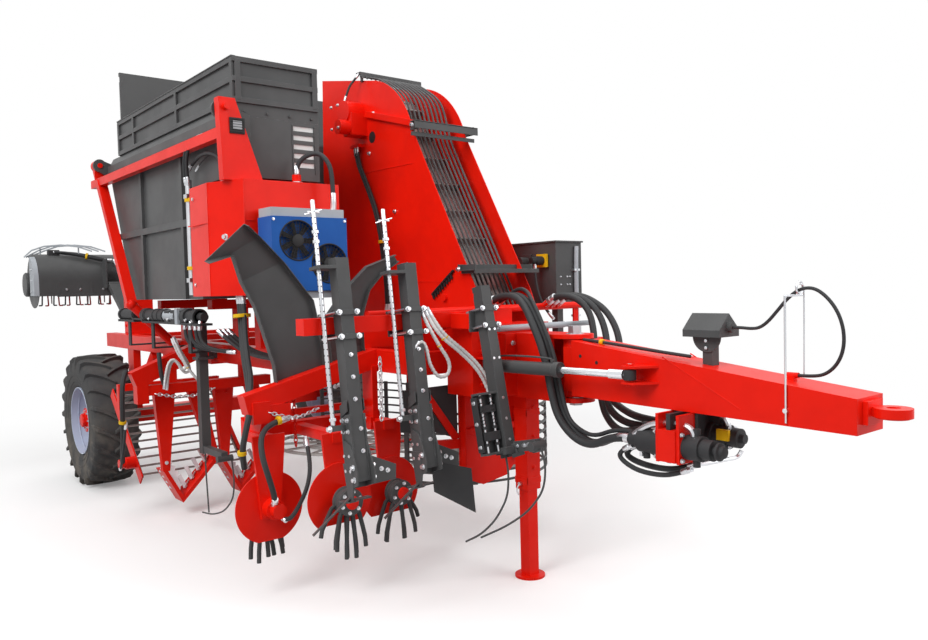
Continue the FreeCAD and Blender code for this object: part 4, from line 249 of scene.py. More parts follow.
class EdgeHighlight(Effect):
    """Rounded edges, and a painted highlight: a narrow line along them, broken up by noise."""

    def lay_out(self) -> None:
        """A softened normal, compared with the plain one."""
        sheet = self.sheet
        soft = sheet.node("ShaderNodeBevel", {"Radius": self.start["Radius"]}, samples=4)
        compare = sheet.node("ShaderNodeVectorMath", {0: soft, 1: sheet.normal()}, operation="DOT_PRODUCT")
        # Mask of the painted highlight: where the softened normal turns away from the plain one, broken up by
        # a noise.
        sharp = sheet.ramp(sheet.maths("SUBTRACT", 1.0, compare.outputs["Value"]), 0.02, 0.16)
        broken = sheet.ramp(sheet.noise(sheet.place(), self.start["Breakup"], 5.0), 0.42, 0.62)
        self.close(Normal=soft, Highlight=sheet.maths("MULTIPLY", sharp, broken))


class Dust(Effect):
    """Pale dust that lies low on the machine and in patches on faces that look up."""

    def lay_out(self) -> None:
        """Height and facing, broken up by a noise."""
        sheet = self.sheet
        place = sheet.place()
        low = sheet.maths("SUBTRACT", 1.0, sheet.maths("DIVIDE", sheet.height(place), self.start["Top"]))
        upward = sheet.ramp(sheet.height(sheet.normal()), 0.4, 1.0)
        cover = sheet.maths("ADD", sheet.ramp(low, 0.0, 1.0), sheet.maths("MULTIPLY", upward, 0.35))
        cover = sheet.maths("MULTIPLY", cover, sheet.ramp(sheet.noise(place, 7.0, 7.0), 0.38, 0.7))
        self.close(Dust=sheet.maths("MULTIPLY", cover, self.start["Amount"]))


class Effects:
    """The node groups that the finishes share, each made once."""

    def __init__(self) -> None:
        """Build every group."""
        self.grain = Grain("surface_grain", (("Scale", 60.0), ("Mottle Scale", 2.5)),
                           (("Height", FLOAT), ("Mottle", FLOAT)))
        # Rounded edges, and the painted highlight along them.
        self.edge_highlight = EdgeHighlight("painted_edge_highlight", (("Radius", 0.004), ("Breakup", 30.0)),
                         (("Normal", VECTOR), ("Highlight", FLOAT)))
        self.dust = Dust("field_dust", (("Amount", 0.2), ("Top", 1.2)), (("Dust", FLOAT),))


# ---------------------------------------------------------------- finishes
class Kind(Enum):
    """What a finish is made of."""

    PAINT = "paint"
    METAL = "metal"
    RUBBER = "rubber"
    PLASTIC = "plastic"


DUST_COLOUR = (0.42, 0.36, 0.29)
DUST_ROUGHNESS = 0.4
COAT_ROUGHNESS = 0.06


@dataclass(frozen=True)
class Finish:
    """A surface finish and everything that its material needs.

    Attributes:
        slotted: whether the record has a material slot of the same name.
    """

    name: str
    kind: Kind
    colour: Colour
    shade: Colour
    roughness: float
    rough_spread: float = 0.05
    grain_scale: float = 300.0
    grain_height: float = 0.0002
    edge_radius: float = 0.003
    # Colour and share of the painted highlight along sharp edges.
    edge_highlight_colour: Colour = (0.6, 0.6, 0.6)
    edge_highlight_amount: float = 0.2
    dust: float = 0.05
    coat: float = 0.0
    gloss: float = 0.18
    slotted: bool = True

    def build(self, effects: Effects) -> bpy.types.Material:
        """Make the material.

        Args:
            effects: the shared node groups.

        Returns:
            The finished material.
        """
        material = bpy.data.materials.new(self.name)
        material.use_nodes = True
        sheet = NodeSheet(material.node_tree)
        sheet.tree.nodes.clear()
        grain = effects.grain.put(sheet, Scale=self.grain_scale)
        edge_highlight = effects.edge_highlight.put(sheet, Radius=self.edge_radius)
        dust = effects.dust.put(sheet, Amount=self.dust)["Dust"]
        base = self._mix(sheet, grain["Mottle"], self.colour, self.shade)
        # Painted highlight: the edge colour mixed in along sharp edges.
        base = self._mix(sheet, sheet.maths("MULTIPLY", edge_highlight["Highlight"], self.edge_highlight_amount), base,
                         self.edge_highlight_colour)
        rough = sheet.maths("MULTIPLY", grain["Mottle"], self.rough_spread)
        rough = sheet.maths("ADD", rough, self.roughness)
        rough = sheet.maths("ADD", rough, sheet.maths("MULTIPLY", dust, DUST_ROUGHNESS))
        bump = sheet.node("ShaderNodeBump", {"Strength": 1.0, "Distance": self.grain_height,
                                             "Height": grain["Height"], "Normal": edge_highlight["Normal"]})
        shader = sheet.node("ShaderNodeBsdfPrincipled", {
            "Base Color": self._mix(sheet, dust, base, DUST_COLOUR), "Roughness": rough, "Normal": bump,
            "Metallic": 1.0 if self.kind is Kind.METAL else 0.0, "Coat Weight": self.coat,
            "Coat Roughness": COAT_ROUGHNESS, "IOR": 1.5, "Specular IOR Level": self.gloss})
        sheet.node("ShaderNodeOutputMaterial", {"Surface": shader})
        return material

    @staticmethod
    def _mix(sheet: NodeSheet, factor: bpy.types.NodeSocket, first: object,
             second: object) -> bpy.types.NodeSocket:
        """Mix two colours, each a socket or a plain colour.

        Args:
            sheet: the tree's nodes.
            factor: how much of the second colour.
            first: the first colour.
            second: the second colour.

        Returns:
            The mixed colour.
        """
        feeds = {0: factor}
        for index, value in ((6, first), (7, second)):
            feeds[index] = (*value, 1.0) if isinstance(value, tuple) else value
        return sheet.node("ShaderNodeMix", feeds, data_type="RGBA").outputs[2]


# Each finish's edge colour is a painted highlight along its sharp edges, mostly a lighter tone of its own
# colour.
FINISHES = (
    Finish("red_paint", Kind.PAINT, (0.86, 0.012, 0.003), (0.76, 0.01, 0.003), 0.34, coat=0.04,
           edge_highlight_colour=(0.95, 0.1, 0.06), edge_highlight_amount=0.3, dust=0.02, gloss=0.12),
    Finish("grey_paint", Kind.PAINT, (0.082, 0.083, 0.084), (0.068, 0.069, 0.07), 0.42,
           edge_highlight_colour=(0.32, 0.33, 0.34), edge_highlight_amount=0.55, dust=0.04),
    Finish("rim_paint", Kind.PAINT, (0.52, 0.58, 0.72), (0.46, 0.52, 0.66), 0.35, coat=0.2,
           edge_highlight_colour=(0.8, 0.82, 0.85), dust=0.15, gloss=0.4),
    Finish("blue_paint", Kind.PAINT, (0.014, 0.105, 0.4), (0.012, 0.085, 0.34), 0.4,
           edge_highlight_colour=(0.05, 0.2, 0.55), gloss=0.12),
    Finish("tyre_rubber", Kind.RUBBER, (0.06, 0.06, 0.062), (0.085, 0.083, 0.08), 0.78,
           grain_scale=120.0, grain_height=0.0008, edge_highlight_colour=(0.13, 0.13, 0.13), edge_highlight_amount=0.5,
           edge_radius=0.006, dust=0.3),
    Finish("flail_rubber", Kind.RUBBER, (0.05, 0.051, 0.053), (0.065, 0.066, 0.068), 0.62,
           grain_scale=160.0, grain_height=0.0006, edge_highlight_colour=(0.12, 0.12, 0.12)),
    Finish("cable_rubber", Kind.RUBBER, (0.035, 0.036, 0.038), (0.045, 0.046, 0.048), 0.5,
           grain_scale=220.0, grain_height=0.0003, edge_highlight_colour=(0.08, 0.08, 0.08)),
    Finish("fan_plastic", Kind.PLASTIC, (0.02, 0.02, 0.021), (0.03, 0.03, 0.031), 0.45,
           edge_highlight_colour=(0.06, 0.06, 0.06)),
    Finish("chromed_steel", Kind.METAL, (0.78, 0.8, 0.83), (0.7, 0.72, 0.75), 0.14,
           grain_height=0.0, dust=0.0),
    Finish("raw_steel", Kind.METAL, (0.33, 0.31, 0.3), (0.24, 0.22, 0.21), 0.42,
           edge_highlight_colour=(0.55, 0.54, 0.52), edge_highlight_amount=0.5, dust=0.1),
    Finish("zinc_steel", Kind.METAL, (0.66, 0.67, 0.69), (0.52, 0.53, 0.56), 0.32,
           grain_scale=90.0),
    Finish("cast_iron", Kind.PAINT, (0.03, 0.03, 0.032), (0.045, 0.045, 0.047), 0.55,
           grain_scale=140.0, grain_height=0.001, edge_highlight_colour=(0.12, 0.12, 0.12)),
    Finish("silver_paint", Kind.PAINT, (0.42, 0.45, 0.48), (0.36, 0.39, 0.42), 0.38, slotted=False),
    Finish("yellow_plastic", Kind.PLASTIC, (0.85, 0.52, 0.01), (0.78, 0.47, 0.01), 0.45, slotted=False),
    Finish("white_plastic", Kind.PLASTIC, (0.72, 0.72, 0.71), (0.66, 0.66, 0.65), 0.4, slotted=False),
    Finish("lamp_glass", Kind.PLASTIC, (0.42, 0.43, 0.45), (0.3, 0.31, 0.33), 0.12, grain_scale=90.0,
           grain_height=0.002, slotted=False),
)


class Finishes:
    """Every finish by name, made once."""

    def __init__(self) -> None:
        """Build the shared effects and all materials."""
        effects = Effects()
        self.made = {finish.name: finish.build(effects) for finish in FINISHES}
        self.slotted = {finish.name for finish in FINISHES if finish.slotted}

    def __getitem__(self, name: str) -> bpy.types.Material:
        """The material of a finish."""
        return self.made[name]

    def dress_frame(self) -> None:
        """Give each CAD node that stays visible the finish of its slot."""
        for part in frame["record"]["subparts"]:
            node = frame["nodes"][part["node"]]
            material = self.made[part["material_slot"]]
            if not node.material_slots:
                node.data.materials.append(material)
            for place in node.material_slots:
                place.material = material


# ---------------------------------------------------------------- mesh making
def circle(centre: Vector, axis: Vector, radius: float, sides: int) -> list[Vector]:
    """Points round an axis, anticlockwise about it.

    Args:
        centre: the circle's centre.
        axis: the direction that it turns about.
        radius: the circle's radius.
        sides: how many points it has.

    Returns:
        The points.
    """
    turn = axis.to_track_quat("Z", "Y")
    steps = (2 * math.pi * index / sides for index in range(sides))
    return [centre + turn @ Vector((radius * math.cos(a), radius * math.sin(a), 0)) for a in steps]


def tube_mesh(points: Sequence[Vector], radius: float, sides: int = 12) -> bpy.types.Mesh:
    """A round tube along a smooth spline.

    Args:
        points: the spline's control points.
        radius: the tube's radius, or 0 for its line alone.
        sides: the sides of its section.

    Returns:
        The tube's mesh, with closed ends.
    """
    curve = bpy.data.curves.new("route", "CURVE")
    curve.dimensions = "3D"
    curve.resolution_u = 6
    curve.bevel_depth = radius
    curve.bevel_resolution = max(sides // 4 - 1, 0)
    curve.use_fill_caps = True
    spline = curve.splines.new("NURBS")
    spline.points.add(len(points) - 1)
    for place, point in zip(spline.points, points):
        place.co = (*point, 1.0)
    spline.order_u = 3
    spline.use_endpoint_u = True
    holder = bpy.data.objects.new("route", curve)
    mesh = bpy.data.meshes.new_from_object(holder)
    bpy.data.objects.remove(holder)
    bpy.data.curves.remove(curve)
    return mesh


class Heap:
    """Closed shapes gathered into one mesh, all in the row frame apart from block()."""

    def __init__(self) -> None:
        """Start with nothing."""
        self.mesh = bmesh.new()

    def rings(self, rings: Sequence[Sequence[Vector]], closed: bool = False) -> None:
        """Skin a row of rings of equal count.

        Args:
            rings: the rings' points in order.
            closed: whether the last ring meets the first, so that there are no ends.
        """
        rows = [[self.mesh.verts.new(point) for point in ring] for ring in rings]
        pairs = list(zip(rows, rows[1:])) + ([(rows[-1], rows[0])] if closed else [])
        for low, high in pairs:
            for index in range(len(low)):
                after = (index + 1) % len(low)
                self.mesh.faces.new((low[index], low[after], high[after], high[index]))
        if not closed:
            self.mesh.faces.new(reversed(rows[0]))
            self.mesh.faces.new(rows[-1])

    def rod(self, start: Vector, end: Vector, radius: float, sides: int = 12) -> None:
        """Add a round rod.

        Args:
            start: the centre of its first end.
            end: the centre of its other end.
            radius: its radius.
            sides: the sides of its section.
        """
        axis = end - start
        self.rings((circle(start, axis, radius, sides), circle(end, axis, radius, sides)))

    def turned(self, base: Vector, axis: Vector, profile: Sequence[tuple[float, float]],
               sides: int = 24) -> None:
        """Add a turned shape.

        Args:
            base: the point that the profile starts from.
            axis: the direction of its axis.
            profile: pairs of the distance along the axis and the radius there.
            sides: the sides of its section.
        """
        line = axis.normalized()
        self.rings([circle(base + line * along, axis, radius, sides) for along, radius in profile])

    def block(self, low: Point, high: Point) -> None:
        """Add a straight block between two corners in machine metres.

        Args:
            low: its lowest corner.
            high: its highest corner.
        """
        x0, y0, z0 = low
        x1, y1, z1 = high
        self.rings([[at(x0, y0, z), at(x1, y0, z), at(x1, y1, z), at(x0, y1, z)] for z in (z0, z1)])

    def bar(self, start: Vector, end: Vector, width: float, depth: float, side: Vector) -> None:
        """Add a bar of rectangular section.

        Args:
            start: the centre of its first end.
            end: the centre of its other end.
            width: its size along side.
            depth: its size square to side.
            side: the direction that its width lies in.
        """
        line = (end - start).normalized()
        across = (side - line * side.dot(line)).normalized() * width / 2
        deep = line.cross(across).normalized() * depth / 2
        self.rings([[p - across - deep, p + across - deep, p + across + deep, p - across + deep]
                    for p in (start, end)])

    def strap(self, points: Sequence[Vector], width: float, depth: float, side: Vector) -> None:
        """Sweep a flat section with bevelled corners along points.

        Args:
            points: the points of its centre line.
            width: its size along side.
            depth: its size square to side.
            side: the direction of its width.
        """
        a, b, cut = width / 2, depth / 2, 0.28 * depth
        section = ((a, b - cut), (a - cut, b), (cut - a, b), (-a, b - cut), (-a, cut - b), (cut - a, -b),
                   (a - cut, -b), (a, cut - b))
        rings = []
        for index, point in enumerate(points):
            way = (points[min(index + 1, len(points) - 1)] - points[max(index - 1, 0)]).normalized()
            wide = (side - way * side.dot(way)).normalized()
            deep = way.cross(wide)
            rings.append([point + wide * u + deep * v for u, v in section])
        self.rings(rings)

    def plate(self, outline: Sequence[Vector], thickness: Vector) -> None:
        """Add a plate of any outline.

        Args:
            outline: its corners in order.
            thickness: the way and distance from this face to the other.
        """
        self.rings([list(outline), [point + thickness for point in outline]])

    def tube(self, points: Sequence[Vector], radius: float, sides: int = 8) -> None:
        """Add a tube along a smooth line."""
        self.take(tube_mesh(points, radius, sides))

    def hoop(self, centre: Vector, axis: Vector, radius: float, wire: float, sides: int = 24) -> None:
        """Add a round ring of wire."""
        points = circle(centre, axis, radius, sides)
        self.rings([circle(point, axis.cross(point - centre), wire, 6) for point in points], closed=True)

    def take(self, mesh: bpy.types.Mesh) -> None:
        """Add a finished mesh and drop it."""
        self.mesh.from_mesh(mesh)
        bpy.data.meshes.remove(mesh)

    def seed(self, name: str) -> bpy.types.Mesh:
        """Close the heap as the plain mesh that a repeating tree starts from.

        Args:
            name: the mesh's name.

        Returns:
            The mesh.
        """
        mesh = bpy.data.meshes.new(name)
        self.mesh.to_mesh(mesh)
        self.mesh.free()
        return mesh

    def deliver(self, name: str, material: bpy.types.Material, sharp: float = 38.0) -> bpy.types.Object:
        """Close the heap and make its object.

        Args:
            name: the piece's name.
            material: its finish.
            sharp: the angle in degrees above which an edge stays crisp.

        Returns:
            The piece, at the origin.
        """
        bmesh.ops.remove_doubles(self.mesh, verts=self.mesh.verts[:], dist=0.00001)
        bmesh.ops.recalc_face_normals(self.mesh, faces=self.mesh.faces[:])
        for face in self.mesh.faces:
            face.smooth = True
        for edge in self.mesh.edges:
            edge.smooth = len(edge.link_faces) == 2 and edge.calc_face_angle(0.0) < math.radians(sharp)
        mesh = self.seed(name)
        mesh.materials.append(material)
        piece = bpy.data.objects.new(name, mesh)
        bpy.context.scene.collection.objects.link(piece)
        return piece


# ---------------------------------------------------------------- repeating trees
class RepeatTree:
    """A geometry node tree with named inputs, built once and run for many pieces."""

    def __init__(self, name: str, **inputs: str) -> None:
        """Start the tree.

        Args:
            name: the tree's name.
            inputs: name and socket kind of each input after the geometry.
        """
        self.tree = bpy.data.node_groups.new(name, "GeometryNodeTree")
        face = self.tree.interface
        for way in ("INPUT", "OUTPUT"):
            face.new_socket(name="Geometry", in_out=way, socket_type=GEOMETRY)
        self.keys = {}
        for title, kind in (*inputs.items(), ("Finish", MATERIAL)):
            self.keys[title] = face.new_socket(name=title, in_out="INPUT", socket_type=kind).identifier
        self.sheet = NodeSheet(self.tree)
        self.start = self.sheet.node("NodeGroupInput").outputs
        self.lay_out()

    def lay_out(self) -> None:
        """Place the tree's own nodes and call close()."""
        raise NotImplementedError

    def close(self, shape: bpy.types.Node) -> None:
        """End the tree: real meshes, one finish.

        Args:
            shape: the node whose shapes are kept.
        """
        real = self.sheet.node("GeometryNodeRealizeInstances", {0: shape})
        coat = self.sheet.node("GeometryNodeSetMaterial",
                               {"Geometry": real, "Material": self.start["Finish"]})
        self.sheet.node("NodeGroupOutput", {0: coat})

    def copies(self, points: object, shape: object, **more: object) -> bpy.types.Node:
        """A copy of a shape on each point, with a Rotation and a Scale where they are given."""
        return self.sheet.node("GeometryNodeInstanceOnPoints", {"Points": points, "Instance": shape, **more})

    def steps(self) -> bpy.types.Node:
        """The incoming edge path, cut into steps of one pitch.

        Returns:
            The node that makes the stepped curve.
        """
        path = self.sheet.node("GeometryNodeMeshToCurve", {0: self.start["Geometry"]})
        feeds = {"Curve": path, "Length": self.start["Pitch"]}
        return self.sheet.node("GeometryNodeResampleCurve", feeds, mode="LENGTH")

    def ring(self, radius: object, points: int) -> bpy.types.Node:
        """A round curve."""
        return self.sheet.node("GeometryNodeCurvePrimitiveCircle", {"Resolution": points, "Radius": radius})

    def run(self, base: bpy.types.Mesh, **values: object) -> bpy.types.Mesh:
        """Run the tree on a mesh.

        Args:
            base: the mesh that it starts from, which is dropped.
            values: its inputs by name.

        Returns:
            The plain mesh that it makes.
        """
        holder = bpy.data.objects.new("repeat", base)
        bpy.context.scene.collection.objects.link(holder)
        modifier = holder.modifiers.new("repeat", "NODES")
        modifier.node_group = self.tree
        for title, value in values.items():
            modifier[self.keys[title]] = value
        graph = bpy.context.evaluated_depsgraph_get()
        made = bpy.data.meshes.new_from_object(holder.evaluated_get(graph), depsgraph=graph)
        bpy.data.objects.remove(holder)
        bpy.data.meshes.remove(base)
        return made


class BoltTree(RepeatTree):
    """A washer and a hexagon head on each point, along its aim and at its size."""

    def lay_out(self) -> None:
        """Head and washer of unit size, set by the points' own attributes."""
        sheet = self.sheet
        head = sheet.node("GeometryNodeMeshCylinder", {"Vertices": 6, "Radius": 1.0, "Depth": 1.1})
        feeds = {"Vertices": 14, "Depth": 0.4, "Radius": self.start["Washer"]}
        both = sheet.node("GeometryNodeJoinGeometry", {0: sheet.node("GeometryNodeMeshCylinder", feeds)})
        feeds = {"Geometry": head, "Translation": (0, 0, 0.75)}
        sheet.feed(both.inputs[0], sheet.node("GeometryNodeTransform", feeds))
        aim = sheet.node("GeometryNodeInputNamedAttribute", {"Name": "aim"}, data_type="FLOAT_VECTOR")
        size = sheet.node("GeometryNodeInputNamedAttribute", {"Name": "size"}, data_type="FLOAT")
        turn = sheet.node("FunctionNodeAlignRotationToVector", {"Vector": aim}, axis="Z")
        self.close(self.copies(self.start["Geometry"], both, Rotation=turn, Scale=size))


class RoundTree(RepeatTree):
    """One shape repeated round its Z axis, then turned and put in place."""

    def lay_out(self) -> None:
        """Copies of the incoming shape at equal angles."""
        sheet = self.sheet
        index = sheet.node("GeometryNodeInputIndex")
        angle = sheet.maths("DIVIDE", sheet.maths("MULTIPLY", index.outputs[0], 2 * math.pi),
                            self.start["Count"])
        spin = sheet.node("ShaderNodeCombineXYZ", {"Z": angle})
        line = sheet.node("GeometryNodeMeshLine", {"Offset": (0, 0, 0), "Count": self.start["Count"]})
        place = self.copies(line, self.start["Geometry"], Rotation=spin)
        self.close(sheet.node("GeometryNodeTransform", {"Geometry": place, "Rotation": self.start["Turn"],
                                                        "Translation": self.start["Place"]}))


class RowTree(RepeatTree):
    """One shape repeated in a straight row."""

    def lay_out(self) -> None:
        """Copies of the incoming shape one step apart."""
        feeds = {"Count": self.start["Count"], "Offset": self.start["Step"]}
        self.close(self.copies(self.sheet.node("GeometryNodeMeshLine", feeds), self.start["Geometry"]))


class ChainTree(RepeatTree):
    """Oval links along an edge path, every other one turned a quarter."""

    def lay_out(self) -> None:
        """A link of wire on each step of the path."""
        sheet = self.sheet
        loop = self.ring(sheet.maths("MULTIPLY", self.start["Pitch"], 0.72), 10)
        oval = sheet.node("GeometryNodeTransform", {"Scale": (0.62, 1.0, 1.0), "Geometry": loop})
        wire = sheet.node("GeometryNodeCurveToMesh",
                          {"Curve": oval, "Profile Curve": self.ring(self.start["Wire"], 6)})
        index = sheet.node("GeometryNodeInputIndex")
        quarter = sheet.maths("MULTIPLY", index.outputs[0], math.pi / 2)
        roll = sheet.node("FunctionNodeEulerToRotation",
                          {0: sheet.node("ShaderNodeCombineXYZ", {"Y": quarter})})
        tangent = sheet.node("GeometryNodeInputTangent")
        along = sheet.node("FunctionNodeAlignRotationToVector", {"Vector": tangent}, axis="Y")
        twist = sheet.node("FunctionNodeRotateRotation", {0: along, 1: roll}, rotation_space="LOCAL")
        self.close(self.copies(self.steps(), wire, Rotation=twist))


class RibbedTree(RepeatTree):
    """A hose wound with a flat strip: its radius steps up and down along an edge path."""

    def lay_out(self) -> None:
        """A tube whose every other pair of rings stands proud."""
        sheet = self.sheet
        index = sheet.node("GeometryNodeInputIndex")
        high = sheet.maths("GREATER_THAN", sheet.maths("MODULO", index.outputs[0], 4.0), 1.5)
        swell = sheet.maths("ADD", 1.0, sheet.maths("MULTIPLY", high, self.start["Depth"]))
        scale = sheet.node("GeometryNodeSetCurveRadius", {"Curve": self.steps(), "Radius": swell})
        self.close(sheet.node("GeometryNodeCurveToMesh", {
            "Curve": scale, "Profile Curve": self.ring(self.start["Radius"], 12), "Fill Caps": True,
            "Scale": sheet.node("GeometryNodeInputRadius")}))


def path_mesh(points: Sequence[Vector]) -> bpy.types.Mesh:
    """Bare edges through points.

    Args:
        points: the points in order.

    Returns:
        The mesh.
    """
    mesh = bpy.data.meshes.new("path")
    mesh.from_pydata([tuple(p) for p in points], [(i, i + 1) for i in range(len(points) - 1)], [])
    return mesh


class Trees:
    """Every repeating tree, built once."""

    def __init__(self) -> None:
        """Build the trees."""
        self.bolts = BoltTree("hex_bolts", Washer=FLOAT)
        self.round = RoundTree("repeat_round", Count=INT, Turn=ROTATION, Place=VECTOR)
        self.row = RowTree("repeat_row", Count=INT, Step=VECTOR)
        self.chain = ChainTree("chain_links", Pitch=FLOAT, Wire=FLOAT)
        self.ribbed = RibbedTree("ribbed_hose", Pitch=FLOAT, Radius=FLOAT, Depth=FLOAT)


# ---------------------------------------------------------------- bench
@dataclass
class Bench:
    """Where a sub-assembly's pieces are made, sorted by finish and body, from points in machine metres.

    Attributes:
        name: the sub-assembly's name, which starts every piece's name.
        body: the body that the next pieces ride on.
    """

    name: str
    finishes: Finishes
    trees: Trees
    body: str = "root"
    heaps: dict[tuple[str, str], Heap] = field(default_factory=dict)
    heads: dict[tuple[str, str], list[tuple[Vector, Vector, float]]] = field(default_factory=dict)

    def on(self, body: str) -> "Bench":
        """The same bench for another body."""
        return replace(self, body=body)

    def heap(self, finish: str) -> Heap:
        """The heap of a finish."""
        return self.heaps.setdefault((finish, self.body), Heap())

    def bolt(self, place: Vector, aim: Point, size: float = 0.011, finish: str = "zinc_steel") -> None:
        """Put a bolt head on a surface.

        Args:
            place: the point on the surface, in the row frame.
            aim: the direction that the head looks in.
            size: the head's radius.
            finish: its finish.
        """
        self.heads.setdefault((finish, self.body), []).append((place, Vector(aim), size))

    def bolts(self, places: Iterable[Point], aim: Point, size: float, finish: str = "zinc_steel") -> None:
        """Put bolt heads of one size on a surface.

        Args:
            places: their places in machine metres.
            aim: the direction that they look in.
            size: their radius.
            finish: their finish.
        """
        for place in places:
            self.bolt(at(*place), aim, size, finish)

    def chain(self, points: Sequence[Point], finish: str, pitch: float) -> None:
        """Hang a chain along points."""
        path = path_mesh([at(*point) for point in points])
        self.heap(finish).take(self.trees.chain.run(path, Pitch=pitch, Wire=pitch * 0.16))

    def hose(self, points: Sequence[Point], radius: float, ends: float = 0.0) -> None:
        """Lay a hose with pressed ferrules.

        Args:
            points: its route.
            radius: its radius.
            ends: the length of a ferrule at both ends, or 0 for none.
        """
        route = [at(*point) for point in points]
        self.heap("cable_rubber").tube(route, radius, 12)
        if ends:
            self.ferrule(route[0], route[1] - route[0], radius, ends)
            self.ferrule(route[-1], route[-2] - route[-1], radius, ends)

    def ferrule(self, end: Vector, way: Vector, radius: float, length: float) -> None:
        """Press a ferrule on a hose's end, with a nut before it.

        Args:
            end: the hose's end point.
            way: the way back along the hose.
            radius: the hose's radius.
            length: the ferrule's length.
        """
        heap = self.heap("zinc_steel")
        wide = radius * 1.22
        neck = wide * 0.93
        heap.turned(end, way, ((0, radius * 0.8), (length * 0.08, wide), (length * 0.45, wide),
                               (length * 0.47, neck), (length * 0.95, neck), (length, radius * 1.02)), 16)
        line = way.normalized()
        heap.rod(end - line * length * 0.42, end + line * 0.002, radius * 1.15, 6)

    def tie(self, centre: Point, way: Point, radius: float, width: float = 0.022) -> None:
        """Wrap a yellow tie round a hose.

        Args:
            centre: its middle.
            way: the hose's direction there.
            radius: the tie's radius.
            width: its width along the hose.
        """
        middle, line = at(*centre), Vector(way)
        half = line.normalized() * width / 2
        self.heap("yellow_plastic").rings((circle(middle - half, line, radius, 14),
                                           circle(middle + half, line, radius, 14)))

    def piece(self, heap: Heap, name: str, finish: str, node: str = "", sharp: float = 38.0) -> None:
        """Make a heap a piece of its own on this bench's body.

        Args:
            heap: its shapes.
            name: its name.
            finish: its finish.
            node: the CAD node that it stands for, or "" for none.
            sharp: the angle in degrees above which an edge stays crisp.
        """
        piece = heap.deliver(name, self.finishes[finish], sharp)
        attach(piece, self.body)
        if node:
            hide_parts(node)
        LOG.info("%s: %d faces", name, len(piece.data.polygons))

    def deliver(self) -> None:
        """Make a piece of each heap and of each set of bolts."""
        for (finish, body), heads in self.heads.items():
            mesh = path_mesh([place for place, _, _ in heads])
            mesh.attributes.new("aim", "FLOAT_VECTOR", "POINT")
            mesh.attributes.new("size", "FLOAT", "POINT")
            mesh.attributes["aim"].data.foreach_set("vector", [n for _, aim, _ in heads for n in aim])
            mesh.attributes["size"].data.foreach_set("value", [size for _, _, size in heads])
            self.on(body).heap(finish).take(self.trees.bolts.run(mesh, Washer=1.35))
        for (finish, body), heap in self.heaps.items():
            self.on(body).piece(heap, f"{self.name}_{finish}_{body}", finish)


@dataclass
class Trim:
    """The details of one sub-assembly, made on its bench."""

    bench: Bench

    def build(self) -> None:
        """Add every detail."""
        raise NotImplementedError


